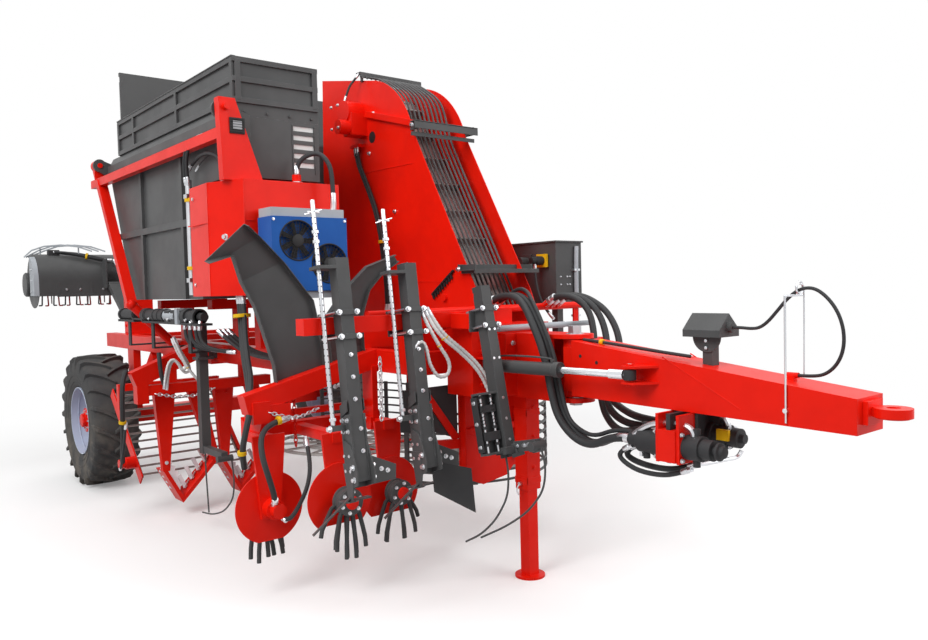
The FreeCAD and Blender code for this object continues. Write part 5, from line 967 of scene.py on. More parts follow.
# ---------------------------------------------------------------- wheels
@dataclass
class Wheel(Trim):
    """A tyre with curved cross lugs, and the nuts and cap of its hub."""

    side: float
    tyre: str
    lugs: int = 20
    nut_circle: float = 0.092
    carcass: ClassVar[tuple[tuple[float, float], ...]] = (
        (-0.178, 0.332), (-0.186, 0.345), (-0.196, 0.372), (-0.205, 0.425), (-0.2085, 0.478),
        (-0.205, 0.53), (-0.196, 0.566), (-0.17, 0.59), (-0.12, 0.6), (-0.06, 0.605))
    lug_path: ClassVar[tuple[tuple[float, float, float, float, float, float], ...]] = (
        (-0.203, 0.496, -0.2105, 0.5, -0.016, 0.012), (-0.202, 0.54, -0.2115, 0.552, -0.006, 0.018),
        (-0.19, 0.574, -0.21, 0.603, 0.01, 0.022), (-0.165, 0.588, -0.185, 0.627, 0.036, 0.022),
        (-0.12, 0.596, -0.122, 0.632, 0.082, 0.021), (-0.065, 0.601, -0.065, 0.6335, 0.138, 0.02),
        (-0.015, 0.603, -0.015, 0.634, 0.198, 0.019), (0.028, 0.603, 0.028, 0.632, 0.255, 0.017))

    def build(self) -> None:
        """Make the tyre and dress the hub."""
        low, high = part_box(self.tyre)
        centre = (low + high) / 2
        heap = Heap()
        profile = (*self.carcass, (0.0, 0.607), *((-a, r) for a, r in reversed(self.carcass)))
        heap.rings([circle(centre + LEFT * along, LEFT, radius, 96) for along, radius in profile],
                   closed=True)
        for radius, along in ((0.385, 0.1985), (0.445, 0.2065)):
            for flank in (-1, 1):
                heap.hoop(centre + LEFT * flank * along, LEFT, radius, 0.0035, 96)
        heap.take(self.tread(centre))
        self.bench.piece(heap, self.tyre + "_treaded", "tyre_rubber", self.tyre, 32.0)
        self.dress_hub(centre)

    def tread(self, centre: Vector) -> bpy.types.Mesh:
        """One pair of lugs, repeated round the tyre.

        Args:
            centre: the wheel's centre.

        Returns:
            All lugs in place.
        """
        heap = Heap()
        for flank, lag in ((1, 0.0), (-1, math.pi / self.lugs)):
            rings = []
            for a_low, r_low, a_top, r_top, turn, half in self.lug_path:
                angle = turn + lag
                low, top = half / r_low, 0.7 * half / r_top
                rings.append([self.spot(*corner) for corner in (
                    (r_low, angle - low, a_low * flank), (r_low, angle + low, a_low * flank),
                    (r_top, angle + top, a_top * flank), (r_top, angle - top, a_top * flank))])
            heap.rings(rings)
        bmesh.ops.recalc_face_normals(heap.mesh, faces=heap.mesh.faces[:])
        turn = Matrix.Rotation(-math.pi / 2, 3, "X").to_euler()
        return self.bench.trees.round.run(heap.seed("lug_pair"), Count=self.lugs, Turn=turn, Place=centre)

    @staticmethod
    def spot(radius: float, angle: float, along: float) -> Vector:
        """A point on the wheel laid flat."""
        return Vector((radius * math.cos(angle), radius * math.sin(angle), along))

    def dress_hub(self, centre: Vector) -> None:
        """Red hub shell with nuts, a valve and a bead edge on the rim.

        Args:
            centre: the wheel's centre.
        """
        bench = self.bench
        way = LEFT * self.side
        bench.heap("red_paint").turned(centre + way * 0.027, way, (
            (0, 0.15), (0.012, 0.15), (0.014, 0.1165), (0.104, 0.1165), (0.107, 0.112), (0.107, 0.066),
            (0.142, 0.0645), (0.1462, 0.058)), 36)
        for index in range(8):
            angle = 2 * math.pi * index / 8
            spoke = Vector((math.cos(angle), 0, math.sin(angle)))
            bench.bolt(centre + way * 0.04 + spoke * 0.134, way, 0.01)
            bench.bolt(centre + way * 0.135 + spoke * self.nut_circle, way, 0.008)
        rim = bench.heap("rim_paint")
        for along, radius, wire in ((0.1845, 0.321, 0.0055), (0.12, 0.314, 0.006)):
            for flank in (along, -along):
                rim.hoop(centre + LEFT * flank, LEFT, radius, wire, 72)
        bench.heap("cable_rubber").rod(centre + way * 0.1 + UP * 0.312, centre + way * 0.155 + UP * 0.296,
                                       0.006, 8)


# ---------------------------------------------------------------- hopper
@dataclass
class HopperTrim(Trim):
    """Louvre backing, stiffening strips, ties and riser hoses of the hopper, and the work lamps beside it."""

    front: float = 3.36
    rear: float = 0.87
    wall: float = -1.26
    nose: float = -0.655
    rails: ClassVar[tuple[float, ...]] = (3.1, 3.235, 3.362)
    louvre: ClassVar[tuple[float, float]] = (-0.845, -0.69)
    lamps: ClassVar[tuple[Point, ...]] = ((3.438, -1.3, 2.905), (3.438, -1.08, 2.3))

    def build(self) -> None:
        """Add every detail."""
        hopper = self.bench.on("hopper")
        self.slots(hopper)
        self.frames(hopper.heap("grey_paint"))
        for place in self.lamps:
            self.lamp(*place)
        self.risers(hopper)

    def slots(self, bench: Bench) -> None:
        """Pale backing behind the slots in the nose's front wall, and raised lips beside them.

        Args:
            bench: the hopper's bench.
        """
        y0, y1 = self.louvre
        bench.heap("white_plastic").block((self.front - 0.012, y0 - 0.01, 2.655),
                                          (self.front - 0.007, y1 + 0.01, 2.975))
        x = self.front + 0.002
        for y in (y0 - 0.008, y1 + 0.008):
            bench.heap("grey_paint").bar(at(x, y, 2.65), at(x, y, 2.98), 0.008, 0.006, LEFT)

    def frames(self, grey: Heap) -> None:
        """Rails and posts that stiffen the upper wall, as raised strips.

        Args:
            grey: the heap of grey paint.
        """
        y = self.wall - 0.008
        x = self.front
        for z in self.rails:
            grey.bar(at(self.rear, y, z), at(x + 0.012, y, z), 0.034, 0.016, UP)
            grey.bar(at(x + 0.008, self.wall - 0.012, z), at(x + 0.008, self.nose, z), 0.034, 0.016, UP)
        low, high = self.rails[0], self.rails[-1]
        for post in (self.rear + 0.018, 1.3, 2.32, x - 0.016):
            grey.bar(at(post, y - 0.001, low), at(post, y - 0.001, high), 0.038, 0.016, FORE)
        for place in (self.wall + 0.02, self.nose - 0.022):
            grey.bar(at(x + 0.009, place, low), at(x + 0.009, place, high), 0.038, 0.016, LEFT)
        grey.bar(at(self.rear, self.wall - 0.006, high + 0.018),
                 at(x + 0.01, self.wall - 0.006, high + 0.018), 0.03, 0.006, LEFT)

    def lamp(self, x: float, y: float, z: float) -> None:
        """A square work lamp with a grill, on its pin.

        Args:
            x: its back's place along the machine.
            y: its place across.
            z: its height.
        """
        shell = self.bench.heap("fan_plastic")
        shell.block((x, y - 0.05, z - 0.05), (x + 0.042, y + 0.05, z + 0.05))
        self.bench.heap("lamp_glass").block((x + 0.042, y - 0.03, z - 0.024), (x + 0.045, y + 0.03, z + 0.03))
        for index in range(6):
            row = z - 0.04 + index * 0.016
            shell.bar(at(x + 0.044, y - 0.046, row), at(x + 0.044, y + 0.046, row), 0.003, 0.006, UP)
        self.bench.heap("zinc_steel").rod(at(x + 0.012, y, z - 0.075), at(x + 0.012, y, z + 0.062), 0.008, 8)

    def risers(self, bench: Bench) -> None:
        """Bolts on the nose's ledge, ties on the riser pipe and two hoses from its top.

        Args:
            bench: the hopper's bench.
        """
        bench.bolts([(self.front + 0.001, -1.2 + index * 0.165, 3.03) for index in range(4)], FORE, 0.009,
                    "grey_paint")
        for z in (2.02, 2.5):
            bench.tie((2.755, -1.344, z), UP, 0.046, 0.026)
        for shift in (0.0, 0.045):
            line = ((2.74, -1.372, 2.62), (2.75, -1.388, 2.72), (2.8, -1.392, 2.84), (2.92, -1.385, 2.9),
                    (3.04, -1.372, 2.9))
            bench.hose([(x + shift, y, z) for x, y, z in line], 0.012, 0.04)


# ---------------------------------------------------------------- tank and cooler
@dataclass
class TankTrim(Trim):
    """Seams, filler, gauge and hoses of the oil tank."""

    front: float = 3.56
    top: float = 2.56

    def build(self) -> None:
        """Add every detail."""
        bench = self.bench
        red = bench.heap("red_paint")
        x = self.front
        for start, end, width, depth, side in (
                ((3.262, -1.428, 1.824), (3.262, -1.428, 2.556), 0.007, 0.007, FORE),
                ((x - 0.001, -1.308, 1.824), (x - 0.001, -1.308, 2.556), 0.007, 0.007, LEFT),
                ((x - 0.0005, -1.3, 2.3), (x - 0.0005, -1.245, 2.3), 0.008, 0.007, UP),
                ((2.91, -1.4295, 2.3), (3.262, -1.4295, 2.3), 0.008, 0.005, UP)):
            red.bar(at(*start), at(*end), width, depth, side)
        bench.bolt(at(3.4, -1.372, 2.2), (0.35, -0.94, 0), 0.016)
        for x in (3.2, 3.36):
            red.rod(at(x, -0.8, self.top - 0.001), at(x, -0.8, self.top + 0.012), 0.022, 16)
        bench.heap("fan_plastic").turned(at(3.1, -1.0, self.top), UP, (
            (0, 0.052), (0.012, 0.052), (0.014, 0.046), (0.04, 0.046), (0.046, 0.04)), 20)
        bench.ferrule(at(3.47, -0.89, 2.622), UP, 0.017, 0.06)
        bench.heap("zinc_steel").rod(at(3.47, -0.89, 2.56), at(3.47, -0.89, 2.574), 0.04, 6)
        self.upper_hoses()
        bench.tie((3.3, -1.3, 2.665), UP, 0.048)
        bench.bolts(((2.98, -1.4105, 1.9), (2.98, -1.4105, 2.48)), -LEFT, 0.012)
        self.lower_hoses()
        bench.tie((3.455, -1.305, 1.69), (0.1, 0, -1), 0.056)

    def upper_hoses(self) -> None:
        """Two hoses from the tank's top to the riser pipe."""
        for y in (-1.33, -1.27):
            self.bench.hose([(3.3, y, 2.575), (3.3, y, 2.66), (3.26, y - 0.01, 2.74), (3.1, y - 0.02, 2.79),
                             (2.9, y - 0.02, 2.78), (2.76, y - 0.02, 2.72)], 0.013, 0.055)
            self.bench.heap("zinc_steel").rod(at(3.3, y, 2.56), at(3.3, y, 2.59), 0.019, 6)

    def lower_hoses(self) -> None:
        """Bundles that leave the tank's floor for the cleaner."""
        for offset in (0.0, 0.036, 0.072):
            fan = [(x + offset, y, z) for x, y, z in (
                (3.4, -1.3, 1.815), (3.42, -1.305, 1.7), (3.46, -1.32, 1.56), (3.54, -1.345, 1.42),
                (3.68, -1.385, 1.29))]
            self.bench.hose([*fan, (3.8, -1.43, 1.19)], 0.015, 0.05)
            self.bench.hose([(x, y + offset, z) for x, y, z in (
                (2.84, -1.205, 1.56), (2.98, -1.15, 1.45), (3.2, -1.105, 1.4), (3.45, -1.09, 1.395),
                (3.68, -1.12, 1.36), (3.84, -1.19, 1.29))], 0.015, 0.05)


@dataclass
class CoolerTrim(Trim):
    """Pale headers, fan guards and the hose elbow of the cooler."""

    front: float = 3.7905
    fans: ClassVar[tuple[tuple[float, float], ...]] = ((-1.06, 2.16), (-0.84, 2.015))
    guard_radius: float = 0.126
    spokes: int = 30

    def build(self) -> None:
        """Add every detail."""
        bench = self.bench
        for low, high in ((2.3105, 2.3665), (1.7935, 1.8395)):
            bench.heap("silver_paint").block((3.598, -1.2315, low), (3.7715, -0.7135, high))
        for y, z in self.fans:
            self.guard(at(self.front, y, z))
        zinc = bench.heap("zinc_steel")
        zinc.tube([at(3.69, y, z) for y, z in ((-0.74, 2.44), (-0.74, 2.385), (-0.752, 2.35), (-0.8, 2.34))],
                  0.021, 12)
        bench.ferrule(at(3.69, -0.74, 2.415), UP, 0.017, 0.07)
        zinc.rod(at(3.69, -0.795, 2.34), at(3.69, -0.812, 2.34), 0.027, 6)
        bench.bolts(product((self.front,), (-1.225, -0.72), (1.86, 2.29)), FORE, 0.007)

    def guard(self, centre: Vector) -> None:
        """A moulded ring with wire rings, spokes and a hub plate.

        Args:
            centre: the fan's centre on the cooler's face.
        """
        heap = self.bench.heap("fan_plastic")
        for radius in (0.058, 0.08, 0.102):
            heap.hoop(centre, FORE, radius, 0.0016, 40)
        heap.hoop(centre, FORE, self.guard_radius, 0.005, 48)
        heap.turned(centre - FORE * 0.006, FORE, ((0, 0.04), (0.006, 0.04), (0.0075, 0.036)), 24)
        spoke = Heap()
        spoke.bar(Vector((0.036, 0, 0)), Vector((self.guard_radius, 0.012, 0)), 0.0026, 0.0026, UP)
        turn = Matrix.Rotation(math.pi / 2, 3, "Y").to_euler()
        heap.take(self.bench.trees.round.run(spoke.seed("spoke"), Count=self.spokes, Turn=turn, Place=centre))


# ---------------------------------------------------------------- elevator
@dataclass
class ElevatorTrim(Trim):
    """Seams, guard, strut, gearbox bolts and guide comb of the elevator."""

    plate: float = -0.0205
    bar_line: ClassVar[tuple[tuple[float, float], ...]] = (
        (2.96, 3.508), (3.155, 3.458), (3.445, 3.275), (3.545, 2.94), (4.178, 1.85), (4.268, 1.68))
    bar_count: int = 10
    bar_pitch: float = 0.0415
    cross_members: ClassVar[tuple[tuple[float, float, float, float], ...]] = (
        (3.672, 3.038, 0.008, 0.06), (3.698, 3.012, 0.052, 0.008), (3.655, 2.952, 0.028, 0.008),
        (4.24, 1.952, 0.008, 0.18), (4.152, 1.972, 0.04, 0.008), (4.326, 1.942, 0.026, 0.008),
        (2.966, 3.532, 0.008, 0.06), (2.994, 3.512, 0.04, 0.008))
    lugs: ClassVar[tuple[tuple[float, float, float, float], ...]] = (
        (3.6, 3.7, 2.985, 3.045), (4.15, 4.3, 1.93, 1.99), (2.95, 2.98, 3.47, 3.53))

    def build(self) -> None:
        """Add every detail."""
        bench = self.bench
        red = bench.heap("red_paint")
        for x0, x1, z in ((2.93, 3.6, 2.76), (3.42, 4.05, 1.89)):
            red.bar(at(x0, self.plate, z), at(x1, self.plate, z - 0.01), 0.006, 0.006, UP)
        self.guard()
        bench.bolts(((4.16, -0.066, 1.96), (3.672, -0.066, 3.01)), -LEFT, 0.013)
        red.bar(at(3.02, -0.034, 3.205), at(3.64, -0.034, 3.03), 0.045, 0.026, UP)
        bench.heap("fan_plastic").rod(at(3.075, -0.0212, 3.02), at(3.075, -0.0216, 3.02), 0.045, 20)
        bench.hose([(2.965, -0.06, 3.52), (2.945, -0.085, 3.48), (2.915, -0.125, 3.42), (2.9, -0.15, 3.32)],
                   0.009, 0.035)
        bench.bolts(product((2.86, 2.96), (-0.2505,), (3.09, 3.26)), -LEFT, 0.009)
        heads = ((3.36, 2.42), (3.03, 2.9), (3.5, 2.02), (3.1, 3.2))
        bench.bolts([(x, self.plate - 0.001, z) for x, z in heads], -LEFT, 0.012)
        self.lower_comb()
        for x in (2.88, 2.911):
            bench.ferrule(at(x, -0.054, 2.958), -UP, 0.0125, 0.062)
        for x in (3.26, 3.291):
            bench.ferrule(at(x, -0.054, 1.662), UP, 0.0125, 0.062)

    def guard(self) -> None:
        """Round bars between the side plates with their cross members, which stand for the guard."""
        heap = Heap()
        knees = [at(x, 0, z) for x, z in self.bar_line]
        line = [knees[0]]
        for start, knee, end in zip(knees, knees[1:], knees[2:]):
            low, high = (knee.lerp(other, min(0.3, 0.12 / (knee - other).length)) for other in (start, end))
            line += [low, (low + knee * 2 + high) / 4, high]
        line.append(knees[-1])
        for index in range(self.bar_count):
            across = LEFT * (0.012 + self.bar_pitch * index)
            heap.tube([point + across for point in line], 0.0078, 8)
        for x, z, width, depth in self.cross_members:
            heap.bar(at(x, -0.064, z), at(x, 0.524, z), width, depth, UP)
        for index in range(15):
            y = -0.05 + index * 0.04
            heap.bar(at(2.99, y, 3.528), at(3.012, y, 3.482), 0.012, 0.006, LEFT)
        for y in (-0.03, 0.484):
            for x0, x1, z0, z1 in self.lugs:
                heap.block((x0, y - 0.004, z0), (x1, y + 0.004, z1))
        self.bench.piece(heap, "elevator_guard_bars", "grey_paint", "elevator_guard")

    def lower_comb(self) -> None:
        """Toothed black guide beside the lower shaft, and a tie on the motor's hoses."""
        bench = self.bench
        tooth = Heap()
        tooth.bar(at(3.82, -0.031, 1.79), at(3.832, -0.031, 1.76), 0.01, 0.016, LEFT)
        black = bench.heap("fan_plastic")
        black.take(bench.trees.row.run(tooth.seed("tooth"), Count=9, Step=(0.026, 0.0, 0.017)))
        black.bar(at(3.81, -0.031, 1.792), at(4.06, -0.031, 1.955), 0.016, 0.012, LEFT)
        bench.tie((3.2225, -0.054, 2.2), (0.05, 0, -1), 0.03)


class CabinetTrim(Trim):
    """Conduit, drive, hose and bolts of the valve cabinet."""

    def build(self) -> None:
        """Add every detail."""
        bench = self.bench
        bench.heap("silver_paint").tube([at(4.15, 1.1, 1.46), at(4.15, 1.1, 1.8), at(4.15, 1.102, 2.05),
                                         at(4.148, 1.11, 2.13)], 0.016, 12)
        for z in (1.6, 1.95):
            bench.heap("zinc_steel").bar(at(4.14, 1.07, z), at(4.14, 1.13, z), 0.016, 0.044, UP)
        bench.heap("yellow_plastic").block((3.955, 0.868, 1.975), (4.062, 0.886, 2.075))
        bench.heap("fan_plastic").turned(at(4.01, 0.868, 2.025), -LEFT, (
            (0, 0.034), (0.07, 0.034), (0.075, 0.026), (0.11, 0.026), (0.114, 0.018)), 20)
        bench.hose([(4.01, 0.8, 1.99), (4.01, 0.795, 1.9), (4.05, 0.79, 1.76), (4.12, 0.79, 1.66),
                    (4.19, 0.79, 1.6)],
                   0.011, 0.045)
        bench.bolts(product((4.1305,), (0.95, 1.02, 1.05), (1.76, 1.84, 1.9)), FORE, 0.005)


# ---------------------------------------------------------------- head and hose rail
@dataclass
class HeadTrim(Trim):
    """Link cylinder, hose ferrules, lower panels and bolts of the front head."""

    ports: ClassVar[tuple[tuple[float, float], ...]] = (
        (-0.062, 0.022), (-0.01, 0.022), (0.034, 0.012), (0.494, 0.022), (0.55, 0.022), (0.606, 0.022))

    def build(self) -> None:
        """Add every detail."""
        bench = self.bench
        bench.heap("silver_paint").turned(at(4.705, -0.225, 1.578), LEFT, (
            (0, 0.013), (0.02, 0.013), (0.022, 0.02), (0.3, 0.02), (0.302, 0.023), (0.34, 0.023),
            (0.342, 0.02), (0.6, 0.02), (0.602, 0.017), (0.86, 0.017)), 20)
        for y, radius in self.ports:
            bench.ferrule(at(4.45, y, 1.722), Vector((65, 0, 40)), radius, 0.075)
        bench.bolts(product((4.6505,), (-0.3, 0.22), (1.24, 1.34, 1.44, 1.52)), FORE, 0.011, "red_paint")
        bench.bolts(product((4.7655,), (-0.14, 0.1), (1.49,)), FORE, 0.012)
        self.lower_panels()
        for way, pin, pivot in ((UP, 1.442, 1.5455), (-UP, 1.288, 1.1845)):
            bench.bolts(product((4.71,), (-0.3, 0.3), (pin,)), way, 0.02)
            bench.bolt(at(5.15, 0.0, pivot), way, 0.04)

    def lower_panels(self) -> None:
        """Red plate and dark curtain that hang from the head behind the posts, with a brace and a hose."""
        bench = self.bench
        x = 4.352
        red = bench.heap("red_paint")
        outline = ((-0.255, 1.15), (0.235, 1.15), (0.235, 0.64), (0.15, 0.56), (-0.06, 0.53), (-0.255, 0.61))
        red.plate([at(x, y, z) for y, z in outline], FORE * 0.008)
        for start, end, width, depth, side in (
                ((4.385, -0.245, 1.145), (4.385, -0.245, 0.66), 0.06, 0.01, FORE),
                ((4.385, 0.225, 1.145), (4.385, 0.225, 0.66), 0.06, 0.01, FORE),
                ((4.375, -0.24, 0.9), (4.375, 0.22, 0.9), 0.04, 0.03, UP),
                ((x, -0.52, 1.19), (x, -0.27, 0.86), 0.05, 0.012, LEFT),
                ((x, -0.5, 0.85), (x, -0.25, 0.83), 0.06, 0.03, UP)):
            red.bar(at(*start), at(*end), width, depth, side)
        bench.heap("flail_rubber").plate([at(4.338, y, z) for y, z in (
            (-0.7, 1.215), (-0.255, 1.215), (-0.255, 0.86), (-0.45, 0.93), (-0.7, 0.96))], FORE * 0.005)
        bench.hose([(x, -0.56, 1.2), (4.368, -0.54, 1.08), (4.372, -0.49, 0.96), (4.365, -0.485, 0.86),
                    (4.36, -0.52, 0.8)], 0.014)
        bench.bolts(product((4.3605,), (-0.21, -0.06, 0.09, 0.19), (1.1,)), FORE, 0.01, "red_paint")


# ---------------------------------------------------------------- tool posts
@dataclass
class PostTrim(Trim):
    """Bolts, perforated height rod and plates of one scalper post."""

    row: float
    top: float
    foot: float = 0.74
    near: float = 4.552
    side: float = 0.08
    rod_radius: float = 0.0125
    hole_pitch: float = 0.034

    def spot(self, x: float, y: float, z: float) -> Vector:
        """A point of the upright post, leaned with it."""
        return lean((x, y, z), 7.0, 4.545, 1.645)

    def build(self) -> None:
        """Add every detail."""
        self.fore = self.spot(1, 0, 0) - self.spot(0, 0, 0)
        self.height_rod()
        self.clamp_bolts()
        self.foot_bolts()
        self.foot_plates()

    def height_rod(self) -> None:
        """Zinc rod with cross holes drawn as dark plugs of painted shade, cross pins and nuts."""
        x, y = self.near + 0.03, self.row - 0.12
        low, high, radius = self.foot + 0.372, self.top + 0.159, self.rod_radius
        base = self.spot(x, y, low)
        way = self.spot(x, y, high) - base
        zinc = self.bench.heap("zinc_steel")
        zinc.turned(base, way, ((0, radius - 0.002), (0.004, radius), (high - low - 0.004, radius),
                                (high - low, radius - 0.002)), 16)
        # Dark plugs stand for the cross holes: painted shade inside them.
        hole_shade = Heap()
        for across in (LEFT, FORE):
            hole_shade.rod(across * -(radius + 0.0006), across * (radius + 0.0006), 0.0036, 10)
        step = way.normalized() * self.hole_pitch
        count = int((high - low) / self.hole_pitch) - 1
        row = self.bench.trees.row.run(hole_shade.seed("hole_shade"), Count=count, Step=step)
        row.transform(Matrix.Translation(base + step))
        self.bench.heap("fan_plastic").take(row)
        zinc.rod(self.spot(x - 0.035, y - 0.035, self.top + 0.085),
                 self.spot(x + 0.035, y + 0.035, self.top + 0.1), 0.004, 8)
        zinc.rod(self.spot(x, y - 0.036, self.top + 0.092), self.spot(x, y + 0.036, self.top + 0.092), 0.005,
                 8)
        for z in (self.top - 0.078, self.top - 0.025, self.foot + 0.395):
            zinc.rod(self.spot(x, y, z), self.spot(x, y, z + 0.016), 0.02, 6)
        self.bench.bolt(self.spot(x, y - 0.02, self.foot + 0.355), -LEFT, 0.014)

    def clamp_bolts(self) -> None:
        """Bolts through the clamp's bars, front and sides."""
        front = self.near + self.side + 0.0125
        for z in (1.579, 1.711):
            for across in (-0.055, 0.055):
                self.bench.bolt(self.spot(front, self.row + across, z), self.fore, 0.012)
            for y in (self.row - 0.068, self.row + 0.068):
                self.bench.heap("zinc_steel").rod(self.spot(4.46, y, z), self.spot(front, y, z), 0.007, 8)

    def foot_bolts(self) -> None:
        """Pairs of bolts in the cheeks, in the post's face and in the knife."""
        bench, near, foot = self.bench, self.near, self.foot
        reach = self.side / 2 + 0.0102
        for z in (0.12, 0.2, 0.33, 0.39):
            for x in (near + 0.012, near + 0.062):
                for side in (-1, 1):
                    bench.bolt(self.spot(x, self.row + side * reach, foot + z), LEFT * side, 0.0095)
        for y, z in ((0.018, 0.22), (0.018, 0.34), (0.0, 0.5), (0.0, 0.62), (0.0, 0.74)):
            bench.bolt(self.spot(near + self.side + 0.0005, self.row + y, foot + z), self.fore, 0.009)
        for y, z in ((-0.025, 0.1), (0.012, 0.13), (0.16, 0.1), (0.2, 0.085)):
            bench.bolt(self.spot(near + 0.0205, self.row + y, foot + z), self.fore, 0.01)

    def foot_plates(self) -> None:
        """A slanted strip and a bolted ear on each cheek."""
        shapes = (((0.004, 0.405), (0.076, 0.44), (0.076, 0.5), (0.004, 0.47)), 0.006), (
            ((0.01, 0.02), (0.115, 0.045), (0.125, 0.11), (0.076, 0.26), (0.01, 0.29)), 0.008)
        for side in (-1, 1):
            face = self.row + side * (self.side / 2 + 0.0102)
            for outline, depth in shapes:
                self.bench.heap("grey_paint").plate(
                    [self.spot(self.near + x, face, self.foot + z) for x, z in outline], LEFT * side * depth)
            for z in (0.075, 0.14):
                self.bench.bolt(self.spot(self.near + 0.092, face + side * 0.008, self.foot + z), LEFT * side,
                                0.012)


@dataclass
class SensorTrim(Trim):
    """Rods, springs, brackets and bolts of the row feeler's sensor box."""

    row: float = -0.41
    near: float = 4.791
    foot: float = 0.85

    def spot(self, x: float, y: float, z: float) -> Vector:
        """A point of the upright sensor box, leaned with its post.

        Args:
            x: the distance in front of the box's back plate.
            y: the distance from the post's middle.
            z: the height above the post's foot.

        Returns:
            The leaned point.
        """
        return lean((self.near + x, self.row + y, self.foot + z), 12.0, 4.765, 1.635)

    def build(self) -> None:
        """Add every detail."""
        self.up = self.spot(0, 0, 1) - self.spot(0, 0, 0)
        self.fore = self.spot(1, 0, 0) - self.spot(0, 0, 0)
        self.springs()
        self.face_bolts()
        self.clamps()
        self.feeler_arm()

    def springs(self) -> None:
        """Two rods with springs and nuts, held by cross bars and a side plate."""
        zinc, dark = self.bench.heap("zinc_steel"), self.bench.heap("cast_iron")
        for y in (-0.07, -0.145):
            zinc.rod(self.spot(0.048, y, 0.022), self.spot(0.048, y, 0.352), 0.008, 10)
            dark.tube([self.spot(0.048 + 0.015 * math.cos(turn * 0.9), y + 0.015 * math.sin(turn * 0.9),
                                 0.17 + turn * 0.0028) for turn in range(54)], 0.0028, 6)
            for z in (0.06, 0.155, 0.33):
                dark.rod(self.spot(0.048, y, z), self.spot(0.048, y, z + 0.016), 0.015, 6)
        for start, end, width, depth, side in (
                ((0.048, -0.165, 0.115), (0.048, -0.045, 0.115), 0.05, 0.022, self.up),
                ((0.048, -0.16, 0.27), (0.048, -0.05, 0.27), 0.04, 0.018, self.up),
                ((0.03, -0.178, 0.03), (0.03, -0.178, 0.34), 0.05, 0.006, self.fore),
                ((0.095, -0.015, -0.015), (0.15, 0.03, -0.004), 0.022, 0.022, self.up)):
            dark.bar(self.spot(*start), self.spot(*end), width, depth, side)

    def face_bolts(self) -> None:
        """Bolts in the side plate, the box's face and its left side."""
        bench = self.bench
        for z in (0.06, 0.19, 0.31):
            bench.bolt(self.spot(0.03, -0.1812, z), -LEFT, 0.009)
        for z in (0.08, 0.2, 0.32, 0.55, 0.72):
            for y in (-0.02, 0.02) if z > 0.5 else (0.0,):
                bench.bolt(self.spot(0.0705, y, z), self.fore, 0.009)
            bench.bolt(self.spot(0.035, 0.0355, z), LEFT, 0.009)

    def clamps(self) -> None:
        """Two clamps round the post, each of a bar and two long bolts."""
        for z in (0.745, 0.845):
            for y in (-0.052, 0.052):
                self.bench.heap("zinc_steel").rod(self.spot(-0.06, y, z), self.spot(0.092, y, z), 0.007, 8)
                self.bench.bolt(self.spot(0.0845, y, z), self.fore, 0.011)
            self.bench.heap("grey_paint").bar(self.spot(0.078, -0.062, z), self.spot(0.078, 0.062, z),
                                              0.036, 0.012, self.up)

    def feeler_arm(self) -> None:
        """The feeler's pivot, its bolts and its cover strip."""
        arm = self.bench.heap("grey_paint")
        arm.rod(self.spot(0.25, 0.01, 0.022), self.spot(0.25, 0.085, 0.022), 0.034, 24)
        self.bench.heap("zinc_steel").rod(self.spot(0.25, 0.004, 0.022), self.spot(0.25, 0.092, 0.022), 0.012,
                                          12)
        for x in (0.11, 0.17, 0.205):
            self.bench.bolt(self.spot(x, 0.0195, 0.036), -LEFT, 0.01)
        arm.bar(self.spot(0.0, -0.02, 0.01), self.spot(0.11, 0.02, 0.02), 0.07, 0.014, self.up)


@dataclass
class WoundHoses(Trim):
    """Pale spiral-wound hoses that loop beside a post."""

    radius: float = 0.01
    routes: ClassVar[tuple[tuple[Point, ...], ...]] = (
        ((4.6, -0.705, 1.7), (4.64, -0.69, 1.62), (4.65, -0.62, 1.5), (4.655, -0.545, 1.4),
         (4.65, -0.555, 1.32), (4.645, -0.63, 1.31), (4.64, -0.69, 1.4), (4.64, -0.705, 1.5),
         (4.64, -0.75, 1.545), (4.64, -0.79, 1.5)),
        ((4.6, -0.68, 1.71), (4.64, -0.66, 1.625), (4.65, -0.59, 1.54), (4.67, -0.5, 1.47), (4.7, -0.4, 1.37),
         (4.72, -0.335, 1.27), (4.73, -0.31, 1.19)),
        ((4.6, -0.655, 1.71), (4.64, -0.632, 1.63), (4.65, -0.565, 1.55), (4.67, -0.478, 1.48),
         (4.7, -0.378, 1.385), (4.722, -0.312, 1.285), (4.735, -0.285, 1.2)),
        ((2.1, -1.275, 1.49), (2.11, -1.245, 1.4), (2.12, -1.185, 1.26), (2.13, -1.12, 1.16),
         (2.15, -1.05, 1.1)),
        ((2.08, -1.26, 1.48), (2.085, -1.225, 1.39), (2.09, -1.165, 1.29), (2.09, -1.155, 1.225),
         (2.085, -1.205, 1.215), (2.08, -1.235, 1.29), (2.075, -1.275, 1.33), (2.065, -1.315, 1.27),
         (2.05, -1.33, 1.11)),
        ((2.09, -1.285, 1.48), (2.095, -1.255, 1.38), (2.1, -1.2, 1.3), (2.1, -1.19, 1.25),
         (2.095, -1.225, 1.24), (2.09, -1.25, 1.3), (2.085, -1.29, 1.34), (2.075, -1.335, 1.28),
         (2.06, -1.352, 1.12)))

    def build(self) -> None:
        """Lay every hose, with a tie at its start and a ferrule at both ends."""
        bench = self.bench
        for route in self.routes:
            points = [at(*point) for point in route]
            line = bench.trees.ribbed.run(tube_mesh(points, 0.0), Pitch=0.006, Radius=self.radius, Depth=0.13)
            bench.heap("white_plastic").take(line)
            bench.ferrule(points[-1], points[-2] - points[-1], self.radius, 0.045)
            bench.ferrule(points[0], points[1] - points[0], self.radius, 0.04)
            bench.tie(route[2], points[3] - points[1], self.radius * 1.3, 0.006)


